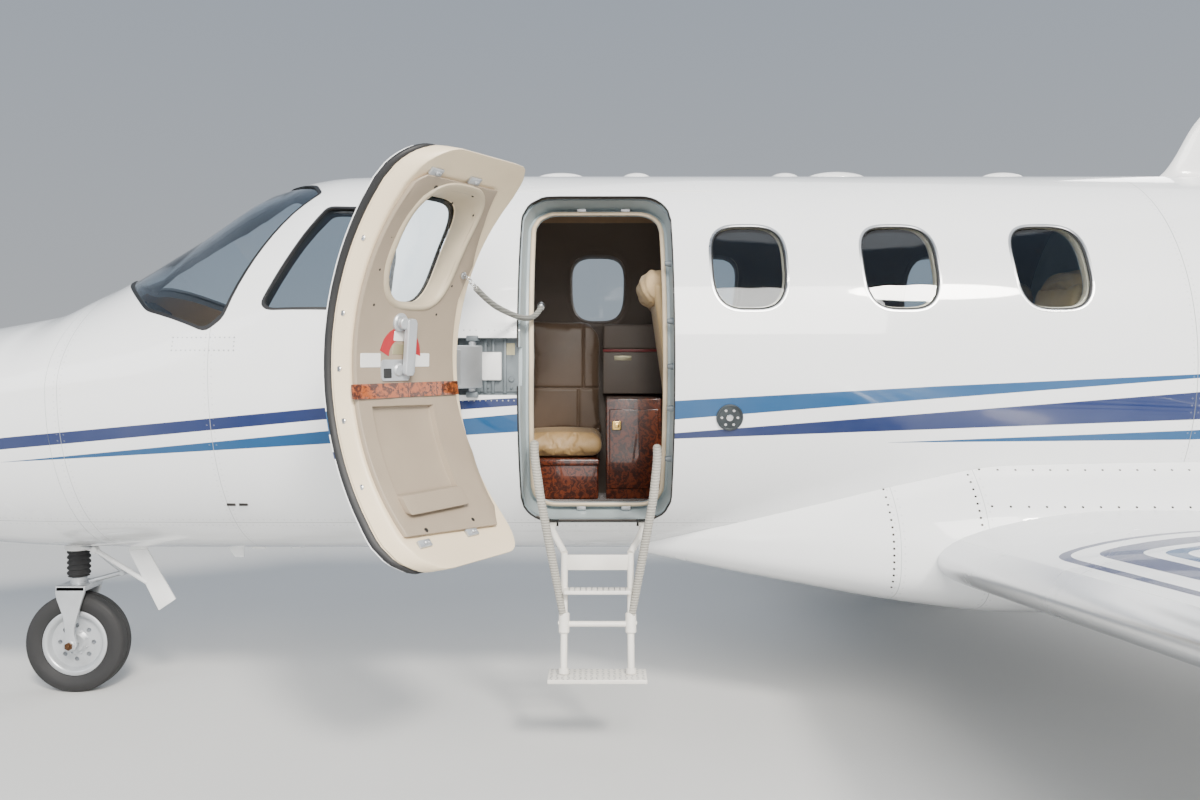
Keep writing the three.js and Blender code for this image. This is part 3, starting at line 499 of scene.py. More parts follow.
# Shader tools
def fill_sockets(tree, node, inputs):
    """Links or sets a node's input sockets."""
    for key, value in dict(inputs).items():
        if isinstance(value, bpy.types.NodeSocket):
            tree.links.new(value, node.inputs[key])
        else:
            node.inputs[key].default_value = value
    return node


def add_node(tree, kind, inputs=(), **values):
    """A shader node with its values and links: inputs maps a socket to a number, colour or output socket."""
    node = tree.nodes.new(kind)
    for key, value in values.items():
        setattr(node, key, value)
    return fill_sockets(tree, node, inputs)


def math_node(tree, operation, *values):
    """A Math node's output."""
    return add_node(tree, "ShaderNodeMath", dict(enumerate(values)), operation=operation).outputs[0]


def times(tree, first, second):
    """The product of two values."""
    return math_node(tree, "MULTIPLY", first, second)


def plus(tree, first, second):
    """The sum of two values."""
    return math_node(tree, "ADD", first, second)


def minus(tree, first, second):
    """The difference of two values."""
    return math_node(tree, "SUBTRACT", first, second)


def strongest(tree, values):
    """The greatest of several values."""
    top = values[0]
    for value in values[1:]:
        top = math_node(tree, "MAXIMUM", top, value)
    return top


def relief(tree, shader, height, distance, strength):
    """Small relief on a finish."""
    node = add_node(tree, "ShaderNodeBump", {"Height": height, "Distance": distance, "Strength": strength})
    tree.links.new(node.outputs[0], shader.inputs["Normal"])


def shaded(colour, share):
    """A darker colour."""
    return tuple(part * share for part in colour[:3]) + (1,)


def mix_colour(tree, amount, first, second):
    """A colour between two."""
    node = tree.nodes.new("ShaderNodeMix")
    node.data_type = "RGBA"
    return fill_sockets(tree, node, {0: amount, 6: first, 7: second}).outputs[2]


def ramp(tree, value, low, high, to_low=0.0, to_high=1.0):
    """Maps a value between two limits, clamped."""
    node = add_node(
        tree,
        "ShaderNodeMapRange",
        {"Value": value, "From Min": low, "From Max": high, "To Min": to_low, "To Max": to_high},
    )
    return node.outputs[0]


def group_of(name, inputs, outputs):
    """A node group with named sockets, its input node and its output node."""
    group = bpy.data.node_groups.new(name, "ShaderNodeTree")
    for label, kind, value in inputs:
        socket = group.interface.new_socket(label, in_out="INPUT", socket_type="NodeSocket" + kind)
        if value is not None:
            socket.default_value = value
    for label, kind in outputs:
        group.interface.new_socket(label, in_out="OUTPUT", socket_type="NodeSocket" + kind)
    entry = group.nodes.new("NodeGroupInput")
    leave = group.nodes.new("NodeGroupOutput")
    return group, entry, leave


def use_group(tree, group, inputs=()):
    """Places a node group in a tree."""
    node = tree.nodes.new("ShaderNodeGroup")
    node.node_tree = group
    return fill_sockets(tree, node, inputs)


def new_material(name):
    """A material with only its Principled shader; returns it with its tree, shader and object coordinates."""
    material = bpy.data.materials.new(name)
    material.use_nodes = True
    tree = material.node_tree
    shader = tree.nodes["Principled BSDF"]
    place = tree.nodes.new("ShaderNodeTexCoord").outputs["Object"]
    return material, tree, shader, place


def set_shader(shader, **values):
    """Sets the shader's own sockets by name, with underscores for spaces."""
    for key, value in values.items():
        shader.inputs[key.replace("_", " ")].default_value = value


# Shared effects
def make_grain():
    """Fine and broad unevenness: a height for bump and a mask for colour and roughness."""
    group, entry, leave = group_of(
        "grain",
        [("Position", "Vector", None), ("Fine", "Float", 200.0), ("Broad", "Float", 2.0)],
        [("Height", "Float"), ("Mottle", "Float")],
    )
    fine = add_node(
        group, "ShaderNodeTexNoise", {
            "Vector": entry.outputs["Position"], "Scale": entry.outputs["Fine"], "Detail": 3.0
        }
    )
    broad = add_node(
        group,
        "ShaderNodeTexNoise",
        {
            "Vector": entry.outputs["Position"], "Scale": entry.outputs["Broad"], "Detail": 4.0,
            "Roughness": 0.55,
        },
    )
    group.links.new(fine.outputs["Fac"], leave.inputs["Height"])
    group.links.new(broad.outputs["Fac"], leave.inputs["Mottle"])
    return group


def make_seam():
    """A skin joint across one coordinate with a row of flush rivets on both sides of it."""
    group, entry, leave = group_of(
        "skin_joint",
        [
            ("Across", "Float", 0.0),
            ("Along", "Float", 0.0),
            ("Place", "Float", 0.0),
            ("Start", "Float", -99.0),
            ("End", "Float", 99.0),
            ("Rivets", "Float", 1.0),
            ("Row Offset", "Float", 0.014),
            ("Pitch", "Float", 0.028),
        ],
        [("Line", "Float"), ("Rivet", "Float")],
    )
    at = {socket.name: socket for socket in entry.outputs if socket.name}
    away = math_node(group, "ABSOLUTE", minus(group, at["Across"], at["Place"]))
    inside = math_node(
        group,
        "MULTIPLY",
        math_node(group, "GREATER_THAN", at["Along"], at["Start"]),
        math_node(group, "LESS_THAN", at["Along"], at["End"]),
    )
    line = times(group, ramp(group, away, 0.0007, 0.0016, 1.0, 0.0), inside)
    from_row = minus(group, away, at["Row Offset"])
    step = math_node(group, "DIVIDE", at["Along"], at["Pitch"])
    from_head = math_node(
        group, "MULTIPLY", minus(group, math_node(group, "FRACT", step), 0.5), at["Pitch"]
    )
    apart = math_node(
        group,
        "SQRT",
        math_node(
            group,
            "ADD",
            times(group, from_row, from_row),
            times(group, from_head, from_head),
        ),
    )
    ring = math_node(group, "ABSOLUTE", minus(group, apart, 0.0024))
    head = math_node(
        group,
        "MULTIPLY",
        times(group, ramp(group, ring, 0.0003, 0.0009, 1.0, 0.0), inside),
        at["Rivets"],
    )
    group.links.new(line, leave.inputs["Line"])
    group.links.new(head, leave.inputs["Rivet"])
    return group


def make_band():
    """A painted band between two edges that are heights against length."""
    group, entry, leave = group_of(
        "band",
        [("Height", "Float", 0.0), ("Low Edge", "Float", 0.0), ("High Edge", "Float", 0.0)],
        [("Mask", "Float")],
    )
    above = minus(group, entry.outputs["Height"], entry.outputs["Low Edge"])
    below = minus(group, entry.outputs["High Edge"], entry.outputs["Height"])
    nearest = math_node(group, "MINIMUM", above, below)
    group.links.new(ramp(group, nearest, -0.0004, 0.0004), leave.inputs["Mask"])
    return group


def make_edge_wear():
    """Grime that gathers low down and in streaks."""
    group, entry, leave = group_of(
        "grime",
        [
            ("Position", "Vector", None), ("Low", "Float", 0.7), ("High", "Float", 1.1),
            ("Amount", "Float", 0.3),
        ],
        [("Mask", "Float")],
    )
    split = add_node(group, "ShaderNodeSeparateXYZ", {0: entry.outputs["Position"]})
    low = ramp(group, split.outputs["Z"], entry.outputs["Low"], entry.outputs["High"], 1.0, 0.0)
    stretch = add_node(
        group, "ShaderNodeMapping", {"Vector": entry.outputs["Position"], "Scale": (3.0, 9.0, 14.0)}
    )
    streaks = add_node(
        group, "ShaderNodeTexNoise", {"Vector": stretch.outputs[0], "Scale": 1.0, "Detail": 6.0}
    )
    patches = ramp(group, streaks.outputs["Fac"], 0.42, 0.75)
    group.links.new(
        times(group, times(group, low, patches), entry.outputs["Amount"]),
        leave.inputs["Mask"],
    )
    return group


GRAIN = make_grain()
SEAM = make_seam()
BAND = make_band()
GRIME = make_edge_wear()

SEAM_GREY = (0.34, 0.35, 0.36, 1)
BARE_METAL = (0.72, 0.73, 0.75, 1)
DULLED = (0.7, 0.72, 0.74, 1)
DIRT = (0.23, 0.21, 0.19, 1)


def colour_of(name):
    """A colour from the settings."""
    return tuple(round(share, 6) for share in getattr(bpy.context.scene.jet_colours, name))


def size_of(name):
    """A size from the settings, in metres."""
    return round(getattr(bpy.context.scene.jet_sizes, name), 6)


# Stripes: colour, then (x, low edge, high edge) down the length
STRIPES = {
    "dark_forward": (
        "dark_blue",
        [
            (-6.49, 1.020, 1.030),
            (-5.60, 1.105, 1.130),
            (-4.86, 1.185, 1.232),
            (-3.57, 1.310, 1.356),
            (-2.80, 1.366, 1.396),
            (-2.25, 1.405, 1.405),
        ],
    ),
    "mid": (
        "mid_blue",
        [
            (-4.90, 1.130, 1.130),
            (-3.57, 1.214, 1.264),
            (-2.80, 1.263, 1.334),
            (-2.20, 1.311, 1.384),
            (-1.20, 1.392, 1.440),
            (-0.19, 1.472, 1.487),
            (0.80, 1.535, 1.535),
        ],
    ),
    "dark_rear": (
        "dark_blue",
        [
            (-2.40, 1.226, 1.238),
            (-2.20, 1.2345, 1.2575),
            (-0.19, 1.311, 1.418),
            (1.40, 1.420, 1.575),
            (2.80, 1.600, 1.730),
            (4.40, 1.880, 1.930),
            (5.30, 2.060, 2.060),
        ],
    ),
    "thin_rear": (
        "mid_blue",
        [
            (-1.39, 1.219, 1.219),
            (-0.19, 1.231, 1.269),
            (1.40, 1.320, 1.375),
            (2.80, 1.500, 1.545),
            (4.40, 1.790, 1.805),
            (4.90, 1.870, 1.870),
        ],
    ),
}
STRIPE_START, STRIPE_END, STRIPE_TOP = -6.6, 6.6, 3.0


def edge_curve(tree, along, points):
    """A height read from a smooth curve through (x, height) points."""
    node = add_node(tree, "ShaderNodeFloatCurve", {"Value": ramp(tree, along, STRIPE_START, STRIPE_END)})
    curve = node.mapping.curves[0]
    marks = [((x - STRIPE_START) / (STRIPE_END - STRIPE_START), height / STRIPE_TOP) for x, height in points]
    while len(curve.points) < len(marks):
        curve.points.new(0.5, 0.5)
    for point, (x, height) in zip(curve.points, marks):
        point.location = (x, height)
        point.handle_type = "VECTOR"
    node.mapping.update()
    return times(tree, node.outputs[0], STRIPE_TOP)


def paint_stripes(tree, colour, along, height):
    """Lays the fuselage bands over a colour."""
    for band_colour, points in STRIPES.values():
        low = edge_curve(tree, along, [(x, z) for x, z, _ in points])
        high = edge_curve(tree, along, [(x, z) for x, _, z in points])
        wide = math_node(tree, "GREATER_THAN", minus(tree, high, low), 0.0006)
        band = use_group(tree, BAND, {"Height": height, "Low Edge": low, "High Edge": high})
        mask = times(tree, band.outputs["Mask"], wide)
        colour = mix_colour(tree, mask, colour, colour_of(band_colour))
    return colour


def finish_paint(tree, shader, place, colour, seams, wear):
    """Gloss clear coat with waviness, joints, rivets and light grime over a colour."""
    joints = [use_group(tree, SEAM, seam) for seam in seams]
    lines, heads = (strongest(tree, [joint.outputs[key] for joint in joints]) for key in ("Line", "Rivet"))
    grain = use_group(tree, GRAIN, {"Position": place, "Fine": 34.0, "Broad": 1.1})
    colour = mix_colour(tree, ramp(tree, grain.outputs["Mottle"], 0.3, 0.7, 0.0, 0.05), colour, DULLED)
    grime = use_group(tree, GRIME, {"Position": place, **wear})
    colour = mix_colour(tree, grime.outputs["Mask"], colour, DIRT)
    waviness = plus(
        tree, times(tree, grain.outputs["Height"], 0.12), times(tree, grain.outputs["Mottle"], 0.5)
    )
    colour = mix_colour(tree, times(tree, lines, 0.75), colour, SEAM_GREY)
    colour = mix_colour(tree, times(tree, heads, 0.5), colour, SEAM_GREY)
    cut = times(tree, math_node(tree, "MAXIMUM", lines, times(tree, heads, 0.3)), 1.2)
    tree.links.new(colour, shader.inputs["Base Color"])
    relief(tree, shader, minus(tree, waviness, cut), 0.0006, 0.6)
    rough = ramp(tree, plus(tree, grain.outputs["Mottle"], grime.outputs["Mask"]), 0.3, 1.2, 0.2, 0.42)
    tree.links.new(rough, shader.inputs["Roughness"])
    set_shader(shader, Coat_Weight=0.85, Coat_Roughness=0.035, IOR=1.5, Specular_IOR_Level=0.15)


# Skin joints: (x, rivets or none) on the fuselage, places along the span, x on the fairing
FUSELAGE_SEAMS = ((-5.75, 1), (-5.12, 0), (-4.61, 1), (-4.0, 1), (-0.2, 1), (1.3, 1), (2.75, 1), (4.15, 1))
SPAN_SEAMS = (1.75, 2.6, 4.01, 5.4, 6.78)
FAIRING_SEAMS = (-1.335, -1.025, 0.9)
GIRTH_RADIUS = 0.83
# Noses and planes across the span: (slope, start)
WING_NOSE = (0.0403, -1.248)
TAIL_NOSE = (0.2495, 4.96)
PATTERN_NOSE = (0.0403, -1.135)
WING_PLANE = (0.0816, 0.704)
PATTERN_ROOT = 1.5


def slanting(tree, span, line):
    """A straight line's value at a place along the span."""
    slope, start = line
    return plus(tree, times(tree, span, slope), start)


def girth(tree, split):
    """Distance round the fuselage from its crown, for rivet rows."""
    drop_from = minus(tree, split.outputs["Z"], WAIST_Z)
    angle = math_node(tree, "ARCTAN2", split.outputs["Y"], drop_from)
    return times(tree, angle, GIRTH_RADIUS)


def fuselage_paint(name, on_door=False):
    """Gloss white skin with its bands, joints and rivets; the open door's are laid out as if shut."""
    material, tree, shader, place = new_material(name)
    if on_door:
        shut = Matrix.Rotation(DOOR_OPEN, 3, "Z")
        shift = DOOR_HINGE - shut @ DOOR_HINGE
        place = add_node(
            tree, "ShaderNodeMapping", {"Vector": place, "Location": shift, "Rotation": (0, 0, DOOR_OPEN)}
        ).outputs[0]
    split = add_node(tree, "ShaderNodeSeparateXYZ", {0: place})
    along, height = split.outputs["X"], split.outputs["Z"]
    round_way = girth(tree, split)
    colour = paint_stripes(tree, colour_of("white"), along, height)
    seams = [
        {"Across": along, "Along": round_way, "Place": x, "Rivets": rivets} for x, rivets in FUSELAGE_SEAMS
    ]
    seams.append({"Across": height, "Along": along, "Place": 0.865, "Start": -5.7, "End": 3.0, "Rivets": 1.0})
    seams.append(
        {"Across": height, "Along": along, "Place": 2.252, "Start": -3.0, "End": -1.99, "Rivets": 0.0}
    )
    finish_paint(tree, shader, place, colour, seams, {"Low": 0.66, "High": 0.95, "Amount": 0.3})
    return material


def flying_surface_paint(name, leading_edge):
    """Gloss white wing and tail skin; leading_edge gives (slope, start, width) of a polished nose."""
    material, tree, shader, place = new_material(name)
    split = add_node(tree, "ShaderNodeSeparateXYZ", {0: place})
    along, across, height = (split.outputs[key] for key in "XYZ")
    span = math_node(tree, "ABSOLUTE", across)
    colour = colour_of("white")
    if name == "wing_paint":
        colour = wing_pattern(tree, along, span, height)
    seams = [{"Across": span, "Along": along, "Place": y, "Rivets": 1.0} for y in SPAN_SEAMS]
    if name == "fairing_paint":
        seams = [{"Across": along, "Along": height, "Place": x, "Rivets": 1.0} for x in FAIRING_SEAMS]
    finish_paint(tree, shader, place, colour, seams, {"Low": 0.2, "High": 0.5, "Amount": 0.1})
    if leading_edge:
        slope, start, width = leading_edge
        nose = slanting(tree, span, (slope, start))
        back = minus(tree, along, nose)
        bare = ramp(tree, back, width, width + 0.0015, 1.0, 0.0)
        shader_colour = shader.inputs["Base Color"].links[0].from_socket
        tree.links.new(mix_colour(tree, bare, shader_colour, BARE_METAL), shader.inputs["Base Color"])
        tree.links.new(bare, shader.inputs["Metallic"])
        thin_coat = times(tree, minus(tree, 1.0, bare), 0.3)
        tree.links.new(thin_coat, shader.inputs["Coat Weight"])
        set_shader(shader, Specular_IOR_Level=0.25)
    return material


def wing_pattern(tree, along, span, height):
    """Nested blue lines on the upper skin: forward beside the root, then outboard behind the nose."""
    nose = slanting(tree, span, PATTERN_NOSE)
    behind = times(tree, minus(tree, along, nose), 1.5)
    outboard = minus(tree, span, PATTERN_ROOT)
    depth = math_node(tree, "SMOOTH_MIN", outboard, behind, 0.14)
    plane = slanting(tree, span, WING_PLANE)
    upper = math_node(tree, "GREATER_THAN", height, plane)
    thin_out = math_node(tree, "MAXIMUM", ramp(tree, span, 1.9, 5.2), ramp(tree, along, -0.7, 1.0))
    colour = colour_of("white")
    for blue, low, wide in (("dark_blue", 0.0, 0.032), ("dark_blue", 0.105, 0.105), ("mid_blue", 0.26, 0.05)):
        reach = times(tree, minus(tree, 1.0, thin_out), wide)
        high = plus(tree, reach, low)
        band = use_group(tree, BAND, {"Height": depth, "Low Edge": low, "High Edge": high})
        colour = mix_colour(tree, times(tree, band.outputs["Mask"], upper), colour, colour_of(blue))
    return colour


def plain_finish(
    name, colour, roughness, metallic=0.0, fine=260.0, broad=5.0, bump=0.0002, vary=0.25, **more
):
    """A finish with grain, colour variation and uneven gloss."""
    material, tree, shader, place = new_material(name)
    grain = use_group(tree, GRAIN, {"Position": place, "Fine": fine, "Broad": broad})
    dark = shaded(colour, 1 - vary)
    light = tuple(min(1.0, c * (1 + vary * 0.5)) for c in colour[:3]) + (1,)
    shade = mix_colour(tree, ramp(tree, grain.outputs["Mottle"], 0.3, 0.7), dark, light)
    tree.links.new(shade, shader.inputs["Base Color"])
    tree.links.new(
        ramp(tree, grain.outputs["Mottle"], 0.25, 0.75, roughness * 0.75, min(1.0, roughness * 1.25)),
        shader.inputs["Roughness"],
    )
    relief(tree, shader, grain.outputs["Height"], bump, 0.7)
    set_shader(shader, Metallic=metallic, **more)
    return material


def leather(name, colour, gloss=0.42):
    """Creased leather: cells of grain with darker creases and a soft sheen."""
    material, tree, shader, place = new_material(name)
    cells = add_node(
        tree, "ShaderNodeTexVoronoi", {"Vector": place, "Scale": 420.0}, feature="DISTANCE_TO_EDGE"
    )
    grain = use_group(tree, GRAIN, {"Position": place, "Fine": 90.0, "Broad": 7.0})
    crease = ramp(tree, cells.outputs["Distance"], 0.0, 0.18)
    dark = shaded(colour, 0.62)
    shade = mix_colour(tree, ramp(tree, grain.outputs["Mottle"], 0.28, 0.72), dark, colour)
    shade = mix_colour(tree, crease, shaded(colour, 0.7), shade)
    tree.links.new(shade, shader.inputs["Base Color"])
    height = plus(tree, crease, times(tree, grain.outputs["Height"], 1.5))
    relief(tree, shader, height, 0.0004, 0.55)
    tree.links.new(
        ramp(tree, grain.outputs["Mottle"], 0.3, 0.7, gloss * 0.8, gloss * 1.2), shader.inputs["Roughness"]
    )
    set_shader(shader, Sheen_Weight=0.12, Sheen_Roughness=0.4)
    return material


def burl(name, dark, light):
    """Glossy burl veneer: swirled dark knots in red brown under a clear lacquer."""
    material, tree, shader, place = new_material(name)
    warp = add_node(
        tree, "ShaderNodeTexNoise", {"Vector": place, "Scale": 9.0, "Detail": 5.0, "Roughness": 0.6}
    )
    bent = add_node(
        tree, "ShaderNodeMixRGB", {0: 0.16, 1: place, 2: warp.outputs["Color"]}, blend_type="LINEAR_LIGHT"
    )
    wave = add_node(
        tree,
        "ShaderNodeTexWave",
        {"Vector": bent.outputs[0], "Scale": 7.0, "Distortion": 11.0, "Detail": 5.0, "Detail Scale": 2.2},
    )
    knots = add_node(tree, "ShaderNodeTexVoronoi", {"Vector": bent.outputs[0], "Scale": 16.0})
    tone = mix_colour(tree, wave.outputs["Fac"], dark, light)
    tone = mix_colour(
        tree, ramp(tree, knots.outputs["Distance"], 0.02, 0.22, 0.75, 0.0), tone, (0.028, 0.007, 0.003, 1)
    )
    tree.links.new(tone, shader.inputs["Base Color"])
    set_shader(shader, Roughness=0.32, Coat_Weight=1.0, Coat_Roughness=0.03)
    return material


def carpet_finish(name, colour):
    """Cut pile."""
    material, tree, shader, place = new_material(name)
    pile = add_node(tree, "ShaderNodeTexNoise", {"Vector": place, "Scale": 520.0, "Detail": 2.0})
    broad = add_node(tree, "ShaderNodeTexNoise", {"Vector": place, "Scale": 6.0, "Detail": 3.0})
    dark = shaded(colour, 0.4)
    tone = mix_colour(tree, ramp(tree, pile.outputs["Fac"], 0.35, 0.65), dark, colour)
    tone = mix_colour(tree, ramp(tree, broad.outputs["Fac"], 0.4, 0.7, 0.0, 0.4), tone, dark)
    tree.links.new(tone, shader.inputs["Base Color"])
    relief(tree, shader, pile.outputs["Fac"], 0.003, 0.9)
    set_shader(shader, Roughness=0.95, Sheen_Weight=0.3)
    return material


def clear_glass(name, tint, roughness=0.0):
    """Stretched acrylic pane, see-through with a faint tint."""
    material, tree, shader, place = new_material(name)
    noise = add_node(tree, "ShaderNodeTexNoise", {"Vector": place, "Scale": 2.5, "Detail": 2.0})
    relief(tree, shader, noise.outputs["Fac"], 0.0006, 0.25)
    light = tree.nodes.new("ShaderNodeLightPath")
    tree.links.new(
        minus(tree, 1.0, times(tree, light.outputs["Is Shadow Ray"], 0.85)), shader.inputs["Alpha"]
    )
    set_shader(shader, Base_Color=tint, Roughness=roughness, Transmission_Weight=1.0, IOR=1.42)
    return material


def wrapped_rope_finish(name, colour):
    """Cloth tape wound round a rope."""
    material, tree, shader, place = new_material(name)
    wave = add_node(
        tree,
        "ShaderNodeTexWave",
        {"Vector": place, "Scale": 30.0, "Distortion": 1.2, "Detail": 2.0},
        bands_direction="Z",
    )
    weave = add_node(tree, "ShaderNodeTexNoise", {"Vector": place, "Scale": 600.0, "Detail": 2.0})
    dark = shaded(colour, 0.6)
    tone = mix_colour(tree, ramp(tree, wave.outputs["Fac"], 0.1, 0.55), dark, colour)
    tone = mix_colour(tree, ramp(tree, weave.outputs["Fac"], 0.4, 0.7, 0.0, 0.3), tone, dark)
    tree.links.new(tone, shader.inputs["Base Color"])
    height = plus(tree, wave.outputs["Fac"], times(tree, weave.outputs["Fac"], 0.3))
    relief(tree, shader, height, 0.0025, 0.8)
    set_shader(shader, Roughness=0.85, Sheen_Weight=0.2)
    return material


FINISHES = {}


def recipe(maker, *values, **more):
    """How a finish is made; a value that is a word names a colour in the settings."""
    return maker, values, more


def finish(name):
    """A finish by name, made on first use."""
    if name not in FINISHES:
        maker, values, more = FINISH_TABLE[name]
        chosen = [colour_of(value) if isinstance(value, str) else value for value in values]
        FINISHES[name] = maker(name, *chosen, **more)
    return FINISHES[name]


FINISH_TABLE = {
    "fuselage_paint": recipe(fuselage_paint),
    "door_paint": recipe(fuselage_paint, True),
    "wing_paint": recipe(flying_surface_paint, (*WING_NOSE, 0.075)),
    "tail_paint": recipe(flying_surface_paint, (*TAIL_NOSE, 0.05)),
    "fin_paint": recipe(flying_surface_paint, None),
    "fairing_paint": recipe(flying_surface_paint, None),
    "nacelle_paint": recipe(flying_surface_paint, None),
    "fan_metal": recipe(plain_finish, (0.62, 0.63, 0.65, 1), 0.2, 1.0, fine=420.0, vary=0.15),
    "door_cream": recipe(plain_finish, "door_lining", 0.42, broad=3.0, vary=0.08),
    "door_trim": recipe(plain_finish, (0.33, 0.265, 0.195, 1), 0.5, fine=700.0, bump=0.0003, vary=0.08),
    "frame_grey": recipe(plain_finish, (0.33, 0.39, 0.41, 1), 0.4, broad=6.0, vary=0.15),
    "bay_grey": recipe(plain_finish, (0.15, 0.175, 0.19, 1), 0.42, 0.2, broad=9.0, vary=0.3),
    "port_grey": recipe(plain_finish, (0.06, 0.07, 0.075, 1), 0.4, 0.5, broad=12.0, vary=0.3),
    "black_seal": recipe(plain_finish, (0.012, 0.012, 0.013, 1), 0.55, fine=500.0, bump=0.0003),
    "cream_seal": recipe(plain_finish, (0.66, 0.53, 0.37, 1), 0.6, fine=420.0, bump=0.0004),
    "chrome": recipe(plain_finish, (0.8, 0.8, 0.8, 1), 0.14, 1.0, vary=0.1),
    "bare_metal": recipe(plain_finish, (0.55, 0.56, 0.57, 1), 0.32, 1.0, fine=420.0, vary=0.2),
    "silver_paint": recipe(plain_finish, "silver_paint", 0.35, 0.55, vary=0.2),
    "white_enamel": recipe(plain_finish, (0.8, 0.8, 0.79, 1), 0.3, vary=0.12, Coat_Weight=0.5),
    "step_cream": recipe(plain_finish, "steps", 0.38, vary=0.12),
    "dark_steel": recipe(plain_finish, (0.05, 0.045, 0.042, 1), 0.4, 0.8, vary=0.4),
    "bronze": recipe(plain_finish, (0.12, 0.06, 0.03, 1), 0.38, 0.9, vary=0.4),
    "brass": recipe(plain_finish, (0.75, 0.5, 0.18, 1), 0.22, 1.0, vary=0.15),
    "headliner": recipe(plain_finish, (0.30, 0.20, 0.12, 1), 0.85, fine=900.0, bump=0.0005, vary=0.12),
    "side_wall": recipe(plain_finish, (0.105, 0.083, 0.068, 1), 0.6, fine=700.0, bump=0.0004, vary=0.12),
    "window_liner": recipe(plain_finish, (0.5, 0.42, 0.3, 1), 0.5, vary=0.1),
    "dark_plastic": recipe(plain_finish, (0.02, 0.021, 0.022, 1), 0.62, fine=800.0, bump=0.0004),
    "screen": recipe(plain_finish, (0.004, 0.005, 0.007, 1), 0.1, Coat_Weight=1.0),
    "rubber": recipe(plain_finish, (0.02, 0.02, 0.021, 1), 0.78, fine=380.0, bump=0.0005, vary=0.35),
    "red_line": recipe(plain_finish, (0.18, 0.01, 0.012, 1), 0.4),
    "blank_plate": recipe(plain_finish, (0.42, 0.38, 0.24, 1), 0.35, 0.4),
    "plate_white": recipe(plain_finish, (0.8, 0.79, 0.77, 1), 0.4, vary=0.05),
    "plate_red": recipe(plain_finish, (0.42, 0.012, 0.02, 1), 0.4, vary=0.1),
    "hot_metal": recipe(plain_finish, (0.3, 0.24, 0.19, 1), 0.4, 1.0, broad=9.0, vary=0.4),
    "polished": recipe(plain_finish, (0.78, 0.79, 0.8, 1), 0.09, 1.0, vary=0.06),
    "red_lens": recipe(plain_finish, (0.5, 0.005, 0.005, 1), 0.06, Coat_Weight=1.0),
    "green_lens": recipe(plain_finish, (0.004, 0.35, 0.06, 1), 0.06, Coat_Weight=1.0),
    "brown_leather": recipe(leather, "brown_leather"),
    # brown leather lightened with painted sunlight, for the side seat cushion
    "tan_leather": recipe(leather, "tan_leather"),
    "beige_leather": recipe(leather, "beige_leather"),
    "cream_cloth": recipe(leather, "headrest_cloth", 0.7),
    "blue_leather": recipe(leather, "blue_leather"),
    "burl_wood": recipe(burl, "dark_wood", "light_wood"),
    # burl darkened with painted shade, for the cabinet and the side seat base
    "dark_burl": recipe(burl, (0.022, 0.004, 0.002, 1), (0.135, 0.028, 0.009, 1)),
    "carpet": recipe(carpet_finish, "carpet"),
    "cabin_glass": recipe(clear_glass, (0.72, 0.8, 0.86, 1)),
    "windshield_glass": recipe(clear_glass, (0.8, 0.87, 0.92, 1)),
    "rope_cloth": recipe(wrapped_rope_finish, "hand_rope"),
    "grey_rope": recipe(wrapped_rope_finish, "hold_cord"),
}


# Stage: name, place, size, power and colour of each fill light
FILL_LIGHTS = (
    ("front_light", (-12.0, -7.0, 5.0), 6.0, 450.0, (0.94, 0.97, 1.0)),
    ("port_light", (-2.6, -13.0, 2.2), 11.0, 420.0, (1.0, 0.98, 0.95)),
    ("rear_light", (9.0, 9.0, 7.0), 7.0, 1100.0, (1.0, 0.98, 0.95)),
    ("overhead_light", (0.0, 2.0, 9.5), 9.0, 350.0, (1.0, 1.0, 1.0)),
)
CAMERA = {"place": (-2.49, -4.6, 1.56), "sensor": 36, "lens": 29.58, "shift": -45 / 1200}


